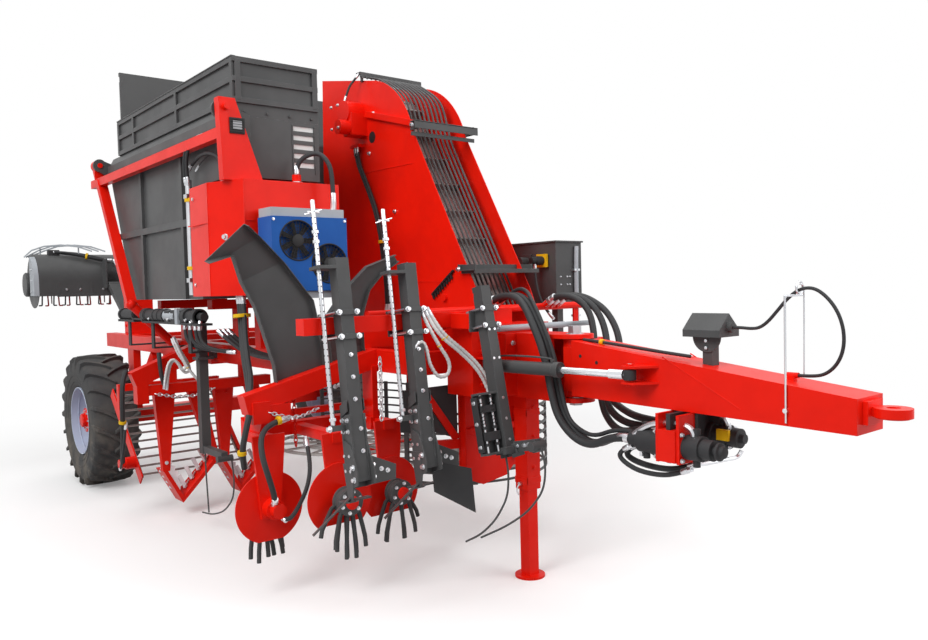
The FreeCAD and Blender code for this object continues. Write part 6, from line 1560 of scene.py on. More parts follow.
# ---------------------------------------------------------------- cleaner
@dataclass
class CleanerTrim(Trim):
    """Rotors, hub plates, motor hoses, chains and bolts of the flail cleaner."""

    rotors: ClassVar[tuple[tuple[str, Point, int], ...]] = (
        ("outer", (3.88, -1.4, 0.56), 1), ("middle", (4.31, -1.07, 0.6), -1),
        ("inner", (4.15, -0.6, 0.54), -1))
    hang: ClassVar[dict[str, tuple[tuple[float, float, float], ...]]] = {
        "outer": ((-125, -0.082, -0.322), (-108, -0.05, -0.343), (-78, 0.07, -0.332), (-60, 0.108, -0.318),
                  (-42, 0.128, -0.296), (-92, 0.012, -0.318)),
        "middle": ((-172, -0.17, -0.19), (-138, -0.1, -0.262), (-116, -0.066, -0.292), (-101, -0.028, -0.334),
                   (-89, 0.002, -0.343), (-76, 0.038, -0.34), (-62, 0.066, -0.33), (-44, 0.105, -0.285)),
        "inner": ((-155, -0.15, -0.245), (-134, -0.118, -0.288), (-114, -0.082, -0.312), (-86, 0.022, -0.3),
                  (-70, 0.058, -0.316), (-46, 0.112, -0.276), (-26, 0.165, -0.195))}
    hoses: ClassVar[tuple[tuple[tuple[Point, ...], float, float], ...]] = (
        (((4.075, -1.42, 0.6), (4.11, -1.43, 0.64), (4.13, -1.47, 0.76), (4.1, -1.5, 0.9),
          (4.03, -1.47, 1.01), (3.98, -1.38, 1.06), (3.97, -1.28, 1.075)), 0.017, 0.055),
        (((4.075, -1.38, 0.52), (4.13, -1.37, 0.5), (4.17, -1.33, 0.56), (4.18, -1.25, 0.7),
          (4.12, -1.2, 0.84), (4.03, -1.18, 0.94)), 0.013, 0.05),
        (((3.95, -1.5, 1.12), (3.965, -1.535, 1.02), (3.93, -1.545, 0.9), (3.9, -1.52, 0.8)), 0.018, 0.0))

    def build(self) -> None:
        """Add every detail."""
        bench = self.bench
        for name, centre, side in self.rotors:
            rotor = bench.on(f"flail_rotor_{name}")
            self.flails(rotor, name, centre)
            self.hub(rotor, at(*centre), FORE * -side)
        for route, radius, ends in self.hoses:
            bench.hose(route, radius, ends)
        bench.tie((3.985, -1.33, 1.072), (0, 1, 0.1), 0.026)
        bench.tie((3.93, -1.544, 0.9), (0.2, -0.1, 1), 0.027)
        bench.chain([(3.905, -1.19, 1.3), (3.915, -1.19, 1.1), (3.915, -1.188, 0.9)], "red_paint", 0.024)
        bench.chain([(4.36, -0.846, 1.42), (4.36, -0.846, 1.25), (4.36, -0.846, 1.07)], "zinc_steel", 0.026)
        bench.chain([(3.965, -1.37, 1.12), (3.99, -1.28, 1.085), (3.99, -1.18, 1.08), (3.965, -1.06, 1.11)],
                    "zinc_steel", 0.022)
        arc = ((-0.83, 1.26), (-0.86, 1.25), (-0.89, 1.24), (-0.92, 1.232))
        bench.bolts([(3.9505, y, z) for y, z in arc], FORE, 0.011)

    def flails(self, rotor: Bench, name: str, centre: Point) -> None:
        """Disc and hanging rubber flails that stand for the rotor.

        Args:
            rotor: the bench on the rotor's body.
            name: the rotor's name.
            centre: its centre.
        """
        x, y, z = centre
        disc = Heap()
        profile = ((0, 0.076), (0.006, 0.082), (0.02, 0.082), (0.024, 0.074), (0.056, 0.074), (0.06, 0.082),
                   (0.074, 0.082), (0.08, 0.076))
        disc.turned(at(x - 0.04, y, z), FORE, profile, 40)
        rotor.piece(disc, rotor.body + "_disc", "grey_paint")
        rubber = Heap()
        for index, (degrees, across, down) in enumerate(self.hang[name]):
            angle = math.radians(degrees)
            row = x + (0.022 if index % 2 else -0.022)
            out = Vector((0, math.cos(angle), math.sin(angle)))
            root, tip = at(row, y, z) + out * 0.07, at(row, y + across, z + down)
            middle = (root + tip) / 2 + Vector((0, across * 0.1, -0.004))
            rubber.strap((root - out * 0.02, (root * 3 + middle) / 4 + LEFT * across * 0.05, middle,
                          (middle + tip) / 2 + LEFT * across * 0.04, tip), 0.022, 0.026, FORE)
        rotor.piece(rubber, rotor.body + "_flails", "flail_rubber", rotor.body)

    def hub(self, rotor: Bench, centre: Vector, way: Vector) -> None:
        """Flange with bolts and a red centre on the rotor's open face.

        Args:
            rotor: the bench on the rotor's body.
            centre: the rotor's centre.
            way: the direction that its open face looks in.
        """
        face = centre + way * 0.04
        rotor.heap("grey_paint").turned(face, way, (
            (0, 0.08), (0.007, 0.08), (0.008, 0.076), (0.008, 0.045), (0.014, 0.043)), 32)
        rotor.heap("red_paint").turned(face + way * 0.01, way, ((0, 0.04), (0.014, 0.04), (0.02, 0.03),
                                                                (0.024, 0.012)), 24)
        for index in range(6):
            angle = math.pi * index / 3 + 0.3
            spoke = Vector((0, math.cos(angle), math.sin(angle)))
            rotor.bolt(face + way * 0.008 + spoke * 0.062, way, 0.0085)


# ---------------------------------------------------------------- lifter
@dataclass
class LifterTrim(Trim):
    """Share tines, hoses, chain and bolts of the lifter rows."""

    tips: ClassVar[tuple[float, ...]] = (-1.15, -0.65)
    front: float = 1.8105
    share_z: float = 0.118
    hoses: ClassVar[tuple[tuple[tuple[Point, ...], float, float], ...]] = (
        (((1.8, -1.56, 1.24), (1.84, -1.6, 1.18), (1.86, -1.615, 1.02), (1.8, -1.6, 0.86), (1.7, -1.575, 0.7),
          (1.6, -1.555, 0.56), (1.52, -1.535, 0.47)), 0.02, 0.0),
        (((1.79, -1.575, 0.82), (1.76, -1.59, 0.62), (1.66, -1.585, 0.47), (1.54, -1.56, 0.42)), 0.011, 0.04),
        (((1.93, -1.34, 1.38), (1.95, -1.345, 1.28), (1.955, -1.33, 1.16), (1.9, -1.3, 1.12)), 0.017, 0.0))

    def build(self) -> None:
        """Add every detail."""
        bench = self.bench
        for tip in self.tips:
            self.tines(tip)
            bench.bolts([(self.front, tip + y, 1.0) for y in (-0.18, -0.1, 0.09, 0.16)], FORE, 0.01,
                        "red_paint")
            bench.bolts([(self.front, tip + y, z) for y, z in ((-0.125, 0.47), (0.285, 0.5))], FORE, 0.011)
        for route, radius, ends in self.hoses:
            bench.hose(route, radius, ends)
        bench.tie((1.79, -1.598, 0.84), (0.3, 0, 1), 0.029)
        bench.chain([(1.905, -1.36, 1.05), (1.915, -1.2, 1.012), (1.915, -1.05, 1.01), (1.905, -0.9, 1.05)],
                    "zinc_steel", 0.026)

    def tines(self, tip: float) -> None:
        """Zinc V teeth along the bowl's slopes.

        Args:
            tip: the row's place across the machine.
        """
        zinc = self.bench.heap("zinc_steel")
        for side, reach_y, reach_z in ((-1, 0.105, 0.205), (1, 0.245, 0.27)):
            for step in range(4):
                share = 0.18 + 0.24 * step
                y = tip + side * reach_y * share
                z = self.share_z + 0.06 + reach_z * share
                start = at(1.745, y, z)
                zinc.bar(start, at(1.7, y - side * 0.034, z + 0.1), 0.034, 0.007, LEFT)
                zinc.bar(start, at(1.69, y + side * 0.05, z + 0.036), 0.03, 0.007, UP)


# ---------------------------------------------------------------- jack, pumps, drawbar
class JackTrim(Trim):
    """Pin, handle, clamps and bolts of the parking jack."""

    def build(self) -> None:
        """Add every detail."""
        bench = self.bench
        zinc = bench.heap("zinc_steel")
        zinc.rod(at(4.725, -0.08, 0.6), at(4.725, -0.052, 0.6), 0.012, 12)
        zinc.tube([at(4.725, -0.078, 0.6), at(4.728, -0.1, 0.585), at(4.728, -0.098, 0.545),
                   at(4.726, -0.078, 0.53)],
                  0.005, 8)
        bench.bolts(product((4.7805,), (0.0,), (0.7, 0.9, 1.08)), FORE, 0.009, "red_paint")
        red = bench.heap("red_paint")
        for z in (0.62, 1.05):
            red.block((4.667, -0.058, z - 0.02), (4.783, -0.0555, z + 0.02))
            red.block((4.7802, -0.058, z - 0.02), (4.783, 0.058, z + 0.02))


@dataclass
class PumpTrim(Trim):
    """Flanges, bolts, elbows, pipes, small hoses and a cap on the pumps below the drawbar."""

    pumps: ClassVar[tuple[tuple[float, float], ...]] = ((-0.165, 1.03), (0.125, 1.045))
    loops: ClassVar[tuple[Point, ...]] = ((-0.19, 0.865, 0.013), (-0.13, 0.885, 0.016), (0.06, 0.89, 0.014))

    def build(self) -> None:
        """Add every detail."""
        bench = self.bench
        for y, z in self.pumps:
            self.elbows(y, z)
            for x in (5.86, 6.1):
                self.ring(at(x, y, z), 6, 0.0, 0.052, 0.0075)
        self.block(*self.pumps[0])
        self.end_cover(*self.pumps[0])
        for side, sag, radius in self.loops:
            bench.hose([(5.7, side, 0.99), (5.64, side, 0.96), (5.62, side + 0.01, 0.915),
                        (5.72, side + 0.02, sag), (5.86, side + 0.025, sag - 0.005),
                        (5.96, side + 0.03, sag + 0.015), (6.04, side + 0.03, sag + 0.05)], radius, 0.045)
        bench.heap("yellow_plastic").block((6.05, 0.06, 1.035), (6.118, 0.078, 1.09))
        bench.heap("zinc_steel").tube([at(*point) for point in (
            (6.09, -0.165, 0.975), (6.09, -0.165, 0.952), (6.1, -0.12, 0.947), (6.12, 0.06, 0.947),
            (6.14, 0.12, 0.95), (6.15, 0.13, 0.985))], 0.011, 10)

    def ring(self, centre: Vector, count: int, start: float, radius: float, size: float) -> None:
        """A circle of bolts that look forward.

        Args:
            centre: the circle's centre.
            count: how many bolts it has.
            start: the first bolt's share of a step.
            radius: the circle's radius.
            size: the bolts' radius.
        """
        for index in range(count):
            angle = 2 * math.pi * (index + start) / count
            self.bench.bolt(centre + Vector((0, math.cos(angle), math.sin(angle))) * radius, FORE, size)

    def block(self, y: float, z: float) -> None:
        """Red centre block between two flanges, with an arm to the other pump.

        Args:
            y: the pump's place across the machine.
            z: its height.
        """
        red = self.bench.heap("red_paint")
        for low, high in (((5.9, y - 0.07, z - 0.08), (5.918, y + 0.07, z + 0.16)),
                          ((6.022, y - 0.07, z - 0.08), (6.04, y + 0.07, z + 0.16)),
                          ((5.918, y - 0.08, z - 0.074), (6.022, y + 0.08, z + 0.084)),
                          ((5.93, y + 0.052, z - 0.03), (5.975, y + 0.23, z + 0.04))):
            red.block(low, high)
        for x, way in ((5.893, -FORE), (6.047, FORE)):
            self.bench.bolts(product((x,), (y - 0.0585, y + 0.0585), (z - 0.06, z + 0.0672)), way, 0.009)

    def end_cover(self, y: float, z: float) -> None:
        """Cast cover with four bolts on the pump's front end.

        Args:
            y: the pump's place across the machine.
            z: its height.
        """
        self.bench.heap("cast_iron").turned(at(6.212, y, z), FORE, (
            (0, 0.044), (0.012, 0.044), (0.016, 0.03), (0.034, 0.028), (0.036, 0.012)), 20)
        self.ring(at(6.2155, y, z), 4, 0.5, 0.033, 0.007)

    def elbows(self, y: float, z: float) -> None:
        """Pressed ferrules and a bent steel pipe into the pump's top.

        Args:
            y: the pump's place across the machine.
            z: the pump's height.
        """
        zinc = self.bench.heap("zinc_steel")
        zinc.tube([at(5.72, y - 0.02, z + 0.02), at(5.8, y - 0.02, z + 0.085), at(5.93, y - 0.02, z + 0.112),
                   at(6.06, y - 0.015, z + 0.108), at(6.085, y - 0.01, z + 0.065), at(6.085, y, z + 0.03)],
                   0.016, 12)
        self.bench.ferrule(at(5.7, y - 0.02, z), -FORE, 0.021, 0.075)
        for x in (5.76, 6.02):
            zinc.rod(at(x, y, z - 0.045), at(x, y, z - 0.085), 0.014, 6)


class DrawbarTrim(Trim):
    """Bolts, holes drawn as dark discs of painted shade, lug pins, cable, holder wire and eye ring of the
    drawbar.
    """

    def build(self) -> None:
        """Add every detail."""
        bench = self.bench
        # Dark discs stand for the holes in the drawbar's sides: painted shade inside them.
        for side in (-1, 1):
            for x, z in ((5.3, 1.435), (5.42, 1.405)):
                bench.heap("fan_plastic").rod(at(x, side * 0.1205, z), at(x, side * 0.1217, z), 0.01, 16)
        for z, way in ((1.408, UP), (1.322, -UP)):
            bench.bolts(product((5.72,), (-0.205, 0.205), (z,)), way, 0.012)
        bench.hose([(5.26, -0.045, 1.523), (5.42, -0.05, 1.512), (5.6, -0.045, 1.495), (5.8, -0.03, 1.474),
                    (5.96, -0.02, 1.46)], 0.009)
        bench.tie((5.4, -0.05, 1.514), (1, 0, -0.1), 0.016)
        bench.bolts(product((6.065,), (-0.0325,), (1.51, 1.545)), -LEFT, 0.009)
        bench.heap("zinc_steel").tube([at(6.531, 0.004, 1.815), at(6.534, 0.026, 1.818),
                                       at(6.536, 0.03, 1.78),
                                       at(6.54, 0.016, 1.395)], 0.0035, 8)
        red = bench.heap("red_paint")
        low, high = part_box("hitch_eye")
        eye = at(6.935, 0, (low.z + high.z) / 2)
        red.hoop(eye, UP, 0.0515, 0.023, 40)
        for side in (-1, 1):
            red.bar(at(5.86, side * 0.1205, 1.46), at(6.3, side * 0.1205, 1.235), 0.006, 0.003, UP)


@dataclass
class SteeringTrim(Trim):
    """Bands, ports and dark rod eyes of the two steering cylinders."""

    rear: ClassVar[Point] = (4.71, 0.3, 1.365)
    front: ClassVar[Point] = (5.72, 0.205, 1.365)

    def build(self) -> None:
        """Dress both cylinders."""
        for side, name in ((-1, "right"), (1, "left")):
            start, end = (at(x, side * y, z) for x, y, z in (self.rear, self.front))
            way = (end - start).normalized()
            self.barrel(self.bench.on(f"steering_barrel_{name}").heap("grey_paint"), start, way)
            eye = self.bench.on(f"steering_rod_{name}").heap("cast_iron")
            eye.rod(end - way * 0.085, end - way * 0.03, 0.0225, 16)
            eye.turned(end - UP * 0.027, UP, ((0, 0.031), (0.003, 0.034), (0.051, 0.034), (0.054, 0.031)), 24)

    @staticmethod
    def barrel(dark: Heap, start: Vector, way: Vector) -> None:
        """Two bands, two ports and the pipe between them.

        Args:
            dark: the heap that they go on.
            start: the barrel's pivot.
            way: the direction of its rod.
        """
        collar = ((0, 0.0395), (0.004, 0.0415), (0.026, 0.0415), (0.03, 0.0395))
        for along in (0.07, 0.53):
            dark.turned(start + way * along, way, collar, 28)
        for along in (0.095, 0.505):
            dark.rod(start + way * along + UP * 0.034, start + way * along + UP * 0.056, 0.012, 6)
        pipe = ((0.5, 0.058), (0.44, 0.066), (0.16, 0.066), (0.1, 0.058))
        dark.tube([start + way * along + UP * lift for along, lift in pipe], 0.006, 8)


# ---------------------------------------------------------------- valves and topper
@dataclass
class ValveTrim(Trim):
    """Pale sleeves, collars, end block, ports and hoses of the long valve bank on the right side."""

    y: float = -1.29
    z: float = 1.672

    def build(self) -> None:
        """Add every detail."""
        y, z = self.y, self.z
        pale = self.bench.heap("silver_paint")
        for start, end in ((1.6, 1.86), (2.02, 2.26)):
            pale.rod(at(start, y, z), at(end, y, z), 0.0475, 24)
        for start, end, radius in (
                (1.58, 1.602, 0.054), (1.88, 1.902, 0.054), (2.0, 2.022, 0.054), (2.3, 2.322, 0.054),
                (1.5, 1.58, 0.058), (2.42, 2.5, 0.058), (2.62, 2.7, 0.058)):
            self.bench.heap("cast_iron").rod(at(start, y, z), at(end, y, z), radius, 24)
        pale.block((2.345, y - 0.062, z - 0.058), (2.4, y + 0.058, z + 0.06))
        for x in (2.45, 2.56, 2.66, 2.74):
            self.bench.hose([(x, y - 0.02, z - 0.05), (x + 0.02, y - 0.04, z - 0.16),
                             (x + 0.1, y + 0.02, z - 0.24), (x + 0.24, y + 0.12, z - 0.25)], 0.013, 0.05)
        for x in (1.7, 2.14, 2.52, 2.66):
            self.bench.heap("zinc_steel").rod(at(x, y - 0.035, z - 0.02), at(x, y - 0.052, z - 0.03),
                                              0.012, 6)


@dataclass
class TopperTrim(Trim):
    """End cap and cover, hoses, guard strips, tine tips and bolts of the leaf topper."""

    centre: ClassVar[tuple[float, float]] = (-1.56, 2.02)
    right: float = -1.53
    radius: float = 0.298
    drop: float = 0.165

    def build(self) -> None:
        """Add every detail."""
        bench = self.bench
        cx, cz = self.centre
        self.end_plates()
        self.front_edge(bench.heap("grey_paint"))
        self.tines()
        for offset, lift in ((0.0, 0.0), (0.045, 0.012), (-0.05, 0.02)):
            bundle = [(cx + x, y + offset, cz + z + lift) for x, y, z in (
                (0.14, -1.22, 0.306), (0.22, -1.02, 0.262), (0.265, -0.86, 0.214), (0.285, -0.72, 0.205))]
            bench.hose([(cx + 0.06, -1.36, cz + 0.318), *bundle], 0.013, 0.05)
        bench.tie((cx + 0.215, -1.02, cz + 0.272), (0.35, 0.9, -0.2), 0.036)
        for y in (-1.36, -1.3):
            bench.heap("cast_iron").block((cx + 0.02, y - 0.026, cz + 0.285),
                                          (cx + 0.1, y + 0.026, cz + 0.345))
        strips = bench.heap("silver_paint")
        for shift in (0.0, 0.07, 0.14):
            strips.strap([at(-1.845, -1.56 + shift * 0.3, 2.3)] + [at(x, y + shift, z) for x, y, z in (
                (-1.74, -1.5, 2.372), (-1.6, -1.4, 2.412), (-1.44, -1.26, 2.42), (-1.3, -1.12, 2.395),
                (-1.2, -1.0, 2.34))], 0.016, 0.004, UP)
        for x, y in ((-1.7, -1.42), (-1.36, -1.1)):
            strips.rod(at(x, y, 2.3), at(x, y, 2.4), 0.008, 8)

    def end_plates(self) -> None:
        """Dark end cap with a round boss behind and a narrow pale cover at its front edge."""
        bench = self.bench
        cx, cz = self.centre
        edge, foot = self.right - 0.0005, cz - self.drop
        arc = [(cx + self.radius * math.cos(math.pi * i / 20), cz + self.radius * math.sin(math.pi * i / 20))
               for i in range(21)]
        dark = bench.heap("grey_paint")
        dark.plate([at(x, edge, z) for x, z in (*arc, (cx - self.radius, foot), (cx + self.radius, foot))],
                   LEFT * -0.004)
        dark.turned(at(cx - 0.135, edge - 0.002, cz - 0.035), -LEFT,
                    ((0, 0.135), (0.05, 0.135), (0.062, 0.122), (0.064, 0.04)), 32)
        split = cx + 0.1
        front = [point for point in arc if point[0] > split]
        bench.heap("silver_paint").plate([at(x, edge - 0.004, z) for x, z in (
            *front, (split, cz + 0.26), (split, foot), (cx + self.radius, foot))], LEFT * -0.05)
        bench.bolts([(cx + 0.19, edge - 0.0545, cz + z) for z in (-0.12, 0.0, 0.12)], -LEFT, 0.01)

    def front_edge(self, dark: Heap) -> None:
        """A lip, three ribs and a row of bolts along the hood's front edge.

        Args:
            dark: the heap of grey paint.
        """
        cx, cz = self.centre
        x = cx + self.radius
        dark.bar(at(x + 0.0005, -1.36, cz - 0.164), at(x + 0.0005, -0.45, cz - 0.164), 0.03, 0.008, UP)
        for y in (-1.34, -1.0, -0.62):
            dark.bar(at(x - 0.001, y, cz - self.drop), at(x - 0.001, y, cz - 0.02), 0.024, 0.01, LEFT)
        self.bench.bolts(product((x + 0.0008,), (-1.26, -1.12, -0.88, -0.76, -0.55), (cz - 0.1,)), FORE,
                         0.009)

    def tines(self) -> None:
        """Hooked tine tips that hang below the hood, on the rotor."""
        cx, cz = self.centre
        rotor = self.bench.on("topper_rotor")
        for name, degrees, low, high in (("red_paint", -78.0, -1.4, -0.52),
                                         ("cast_iron", -104.0, -1.44, -0.48)):
            angle = math.radians(degrees)
            out = Vector((math.cos(angle), 0, math.sin(angle)))
            for index in range(9):
                middle = at(cx, low + (high - low) * index / 8, cz)
                tip = middle + out * 0.282
                rotor.heap(name).bar(middle + out * 0.066, tip, 0.014, 0.008, LEFT)
                rotor.heap(name).bar(tip, tip + LEFT * (0.034 if index % 2 else -0.034), 0.014, 0.006, out)


# ---------------------------------------------------------------- free hoses and cable
@dataclass
class FreeLines(Trim):
    """The hoses and the cable that hang between two fittings, each along its own route."""

    port: ClassVar[tuple[float, float]] = (4.45, 1.722)
    right_lanes: ClassVar[tuple[tuple, ...]] = (
        (-0.062, 0.022, -0.187, 0.0, (-0.188, 1.03)), (-0.01, 0.022, -0.136, 0.0, (-0.141, 1.03)),
        (0.034, 0.012, -0.152, 0.048, (-0.165, 1.066)))
    left_lanes: ClassVar[tuple[tuple, ...]] = (
        (0.494, 0.022, 0.0, (0.101, 1.03)), (0.55, 0.022, 0.058, (0.149, 1.03)),
        (0.606, 0.022, 0.116, (0.125, 1.074)))
    elevator_line: ClassVar[tuple[tuple[float, float], ...]] = (
        (2.88, 2.96), (2.88, 2.86), (3.01, 2.66), (3.14, 2.43), (3.2, 2.22), (3.225, 2.04), (3.26, 1.84),
        (3.26, 1.66))
    cooler_line: ClassVar[tuple[Point, ...]] = (
        (3.47, -0.89, 2.62), (3.47, -0.89, 2.71), (3.575, -0.79, 2.775), (3.665, -0.745, 2.69),
        (3.69, -0.74, 2.55), (3.69, -0.74, 2.365))
    loop: ClassVar[tuple[Point, ...]] = (
        (6.1922, 0, 1.612), (6.238, 0, 1.612), (6.283, 0.002, 1.608), (6.328, 0.002, 1.612), (6.372, 0, 1.64),
        (6.42, 0, 1.692), (6.47, 0, 1.75), (6.53, 0, 1.795), (6.6, -0.004, 1.8), (6.665, -0.01, 1.755),
        (6.712, -0.012, 1.69), (6.735, -0.01, 1.612), (6.732, -0.006, 1.53), (6.7, 0, 1.46),
        (6.645, 0.004, 1.412), (6.58, 0.006, 1.4), (6.5202, 0.006, 1.4))

    def build(self) -> None:
        """Lay the front hoses, the elevator's pair, the cooler's hose and the drawbar's cable."""
        for index, (y, radius, *lane) in enumerate(self.right_lanes):
            self.front(f"front_hose_right_{index + 1}", self.right_route(y, *lane), radius)
        for index, (y, radius, *lane) in enumerate(self.left_lanes):
            self.front(f"front_hose_left_{index + 1}", self.left_route(y, *lane), radius)
        for index, offset in enumerate((0.0, 0.0312)):
            route = [(x + offset, -0.054, z) for x, z in self.elevator_line]
            self.lay(f"elevator_hose_{index + 1}", route, 0.012, "elevator_hoses", "root", "medium")
        self.lay("cooler_line", self.cooler_line, 0.016, "cooler_hose", "root", "stiff")
        self.lay("drawbar_loop", self.loop, 0.008, "drawbar_cable", "drawbar", "medium")

    def right_route(self, y: float, side: float, fore: float, end: tuple[float, float]) -> list[Point]:
        """Route of a hose that passes the pivot on its right.

        Args:
            y: its port's place across the machine.
            side: its place across the machine beside the pivot.
            fore: how far it stays in front of its neighbour.
            end: its place across the machine and its height at the pump.

        Returns:
            The route's points.
        """
        x, z = self.port
        lift = 0.9 * fore
        return [(x, y, z), (x + 0.065, y, z + 0.04), (4.64, y, 1.782 + lift),
                (4.78, (2 * y + side) / 3, 1.765 + lift), (4.89, (y + 2 * side) / 3, 1.705 + lift),
                (4.985 + fore / 2, side, 1.622 + lift), (5.052 + fore, side, 1.5), (5.1 + fore, side, 1.37),
                (5.13 + fore, side, 1.23), (5.175 + fore, side, 1.09), (5.29, side, 0.985 + fore),
                (5.43, end[0], 0.95 + fore), (5.59, *end), (5.7, *end)]

    def left_route(self, y: float, shift: float, end: tuple[float, float]) -> list[Point]:
        """Route of a hose that passes the pivot on its left.

        Args:
            y: its port's place across the machine.
            shift: how far it stays behind its neighbour.
            end: its place across the machine and its height at the pump.

        Returns:
            The route's points.
        """
        x, z = self.port
        return [(x, y, z), (x + 0.065, y, z + 0.04), (4.62, y, 1.765), (4.74, y, 1.735),
                (4.84 + shift / 2, y - 0.01, 1.65), (4.9 + shift, y - 0.04, 1.49),
                (4.925 + shift, y - 0.085, 1.32), (4.985 + shift, 0.4, 1.15 + shift / 2),
                (5.11 + shift / 3, 0.3, 1.02 + shift), (5.32, 0.191 + 0.5 * shift, 0.959 + shift),
                (5.56, *end), (5.7, *end)]

    def tube(self, name: str, route: Sequence[Point], radius: float) -> tuple[bpy.types.Object, list[Vector]]:
        """Make one line as a mesh tube.

        Args:
            name: the piece's name.
            route: the control points.
            radius: the line's radius.

        Returns:
            The piece, and the points of its smooth centre line.
        """
        points = [at(*point) for point in route]
        line = tube_mesh(points, 0.0)
        path = [vertex.co.copy() for vertex in line.vertices]
        bpy.data.meshes.remove(line)
        heap = Heap()
        heap.tube(points, radius, 16)
        return heap.deliver(name, self.bench.finishes["cable_rubber"]), path

    def declare(self, piece: bpy.types.Object, path: list[Vector], radius: float, node: str,
                feel: str) -> None:
        """Hide the CAD node that a line stands for.

        Args:
            piece: the line; not used.
            path: the points of its centre line; not used.
            radius: its radius; not used.
            node: the CAD node.
            feel: how stiff it is; not used.
        """
        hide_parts(node)

    def lay(self, name: str, route: Sequence[Point], radius: float, node: str, body: str, feel: str) -> None:
        """Lay a line that rides on one body.

        Args:
            name: the piece's name.
            route: the control points.
            radius: its radius.
            node: the CAD node that it stands for.
            body: the body that it rides on.
            feel: how stiff it is.
        """
        piece, path = self.tube(name, route, radius)
        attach(piece, body)
        self.declare(piece, path, radius, node, feel)

    def front(self, name: str, route: Sequence[Point], radius: float) -> None:
        """Lay one of the front hoses, fixed in place on no body.

        Args:
            name: the piece's name.
            route: the control points.
            radius: its radius.
        """
        piece, path = self.tube(name, route, radius)
        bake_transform(piece)
        self.declare(piece, path, radius, "front_hoses", "medium")


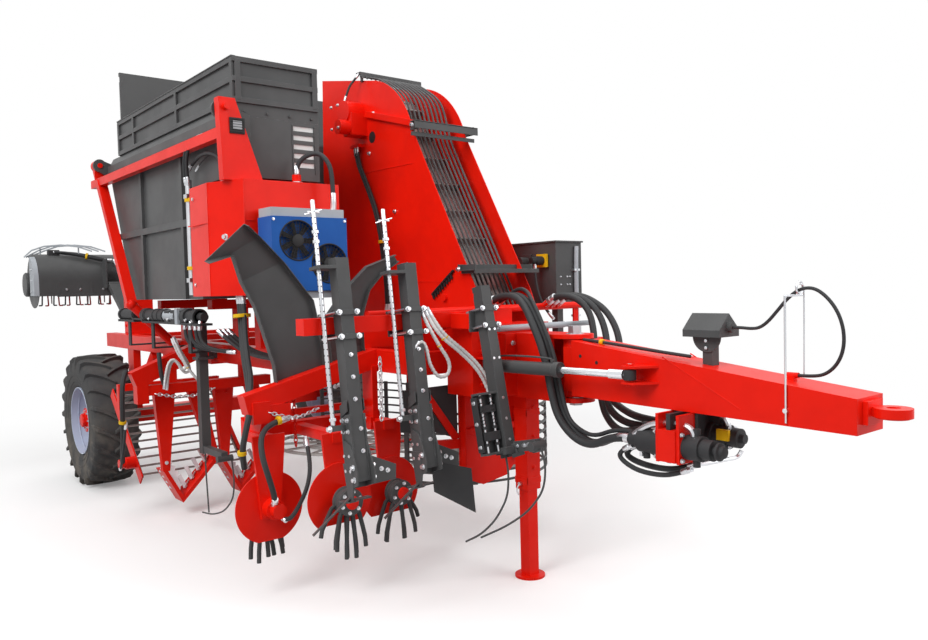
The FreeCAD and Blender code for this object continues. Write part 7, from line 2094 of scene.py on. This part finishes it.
# ---------------------------------------------------------------- studio
@dataclass
class Studio:
    """Camera, floor and lights."""

    eye: Point = (8.384, -3.466, 1.842)
    right: Point = (0.6317, 0.7748, -0.025)
    up: Point = (-0.0164, 0.0456, 0.9988)
    lens: float = 31.13
    sensor: float = 36.0
    floor_half: float = 40.0
    floor_glow: float = 0.2
    floor_fade: tuple[float, float] = (4.0, 8.5)
    lamps: tuple[tuple[str, Point, float, float], ...] = (
        ("key", (6.0, -9.0, 9.0), 6.0, 900.0), ("fill", (11.0, 4.0, 6.0), 7.0, 420.0),
        ("top", (2.0, 0.0, 11.0), 9.0, 420.0))

    def build(self) -> None:
        """Make the studio."""
        self.camera()
        self.floor()
        self.world()
        for name, place, size, power in self.lamps:
            self.lamp(name, at(*place), size, power)
        bpy.context.scene.view_settings.view_transform = "Standard"

    @staticmethod
    def add(name: str, data: bpy.types.ID) -> bpy.types.Object:
        """Put a new object in the scene.

        Args:
            name: its name.
            data: its data.

        Returns:
            The object.
        """
        made = bpy.data.objects.new(name, data)
        bpy.context.scene.collection.objects.link(made)
        return made

    def camera(self) -> None:
        """Stand the camera in front of the machine's right corner."""
        lens = bpy.data.cameras.new("camera")
        lens.lens = self.lens
        lens.sensor_width = self.sensor
        lens.clip_end = 200.0
        camera = self.add("camera", lens)
        right, up = Vector(self.right), Vector(self.up)
        turn = Matrix((right, up, right.cross(up))).transposed().to_4x4()
        camera.matrix_world = Matrix.Translation(at(*self.eye)) @ turn
        bpy.context.scene.camera = camera

    def floor(self) -> None:
        """Lay a pale floor that keeps the machine's shadow near it and turns plain white far off."""
        mesh = bpy.data.meshes.new("floor")
        half = self.floor_half
        corners = [(-half, -half, 0), (half, -half, 0), (half, half, 0), (-half, half, 0)]
        mesh.from_pydata(corners, [], [(0, 1, 2, 3)])
        plane = self.add("floor", mesh)
        material = bpy.data.materials.new("floor_white")
        material.use_nodes = True
        sheet = NodeSheet(material.node_tree)
        sheet.tree.nodes.clear()
        matt = sheet.node("ShaderNodeBsdfDiffuse", {"Color": (0.8, 0.8, 0.8, 1.0)})
        glow = sheet.node("ShaderNodeEmission", {"Strength": self.floor_glow})
        near = sheet.node("ShaderNodeAddShader", {0: matt, 1: glow})
        plain = sheet.node("ShaderNodeEmission", {"Strength": 1.0})
        reach = sheet.node("ShaderNodeVectorMath", {0: sheet.place(), 1: at(3.0, -0.5, 0.0)},
                           operation="DISTANCE")
        far = sheet.ramp(reach.outputs["Value"], *self.floor_fade)
        fade = sheet.node("ShaderNodeMixShader", {0: far, 1: near, 2: plain})
        bounce = sheet.node("ShaderNodeBsdfDiffuse", {"Color": (0.36, 0.36, 0.37, 1.0)})
        pick = sheet.node("ShaderNodeMixShader", {0: sheet.seen(), 1: bounce, 2: fade})
        sheet.node("ShaderNodeOutputMaterial", {"Surface": pick})
        mesh.materials.append(material)

    def world(self) -> None:
        """Light from all round, white where it is seen."""
        world = bpy.data.worlds.new("studio")
        bpy.context.scene.world = world
        world.use_nodes = True
        sheet = NodeSheet(world.node_tree)
        sheet.tree.nodes.clear()
        strength = sheet.maths("ADD", sheet.maths("MULTIPLY", sheet.seen("Is Transmission Ray"), 0.5), 0.5)
        glow = sheet.node("ShaderNodeBackground", {"Color": (1.0, 1.0, 1.0, 1.0), "Strength": strength})
        sheet.node("ShaderNodeOutputWorld", {"Surface": glow})

    def lamp(self, name: str, where: Vector, size: float, power: float) -> None:
        """Hang one soft lamp that looks at the machine.

        Args:
            name: the lamp's name.
            where: where it hangs.
            size: the side of its square panel.
            power: its power in watts.
        """
        light = bpy.data.lights.new(name, "AREA")
        light.shape = "SQUARE"
        light.size = size
        light.energy = power
        aim = at(2.2, 0.0, 1.2) - where
        turn = aim.to_track_quat("-Z", "Y").to_matrix().to_4x4()
        self.add(name, light).matrix_world = Matrix.Translation(where) @ turn


def build_trim(finishes: Finishes, trees: Trees) -> None:
    """Build every sub-assembly on its own bench.

    Args:
        finishes: the materials.
        trees: the repeating trees.
    """
    wheels = Bench("wheel_trim", finishes, trees)
    for side, name in ((-1, "right"), (1, "left")):
        Wheel(wheels.on(f"wheel_{name}"), side, f"tyre_{name}").build()
    wheels.deliver()
    for name, kind, body in (
            ("hopper_trim", HopperTrim, "root"), ("tank_trim", TankTrim, "root"),
            ("cooler_trim", CoolerTrim, "root"), ("elevator_trim", ElevatorTrim, "root"),
            ("cabinet_trim", CabinetTrim, "root"), ("head_trim", HeadTrim, "root"),
            ("cleaner_trim", CleanerTrim, "root"), ("lifter_trim", LifterTrim, "root"),
            ("jack_trim", JackTrim, "root"), ("pump_trim", PumpTrim, "drawbar"),
            ("drawbar_trim", DrawbarTrim, "drawbar"), ("steering_trim", SteeringTrim, "root"),
            ("valve_trim", ValveTrim, "root"), ("topper_trim", TopperTrim, "topper_head")):
        bench = Bench(name, finishes, trees, body)
        kind(bench).build()
        bench.deliver()
    posts = Bench("post_trim", finishes, trees)
    for row, top in ((-1.22, 2.172), (-0.77, 2.14)):
        PostTrim(posts, row, top).build()
    posts.deliver()
    for name, kind in (("wound_hoses", WoundHoses), ("sensor_trim", SensorTrim), ("free_lines", FreeLines)):
        bench = Bench(name, finishes, trees)
        kind(bench).build()
        bench.deliver()


def main() -> None:
    """Build every class in order."""
    logging.basicConfig(level=logging.INFO, format="%(message)s")
    finishes = Finishes()
    finishes.dress_frame()
    build_trim(finishes, Trees())
    Studio().build()


if __name__ == "__main__":
    main()
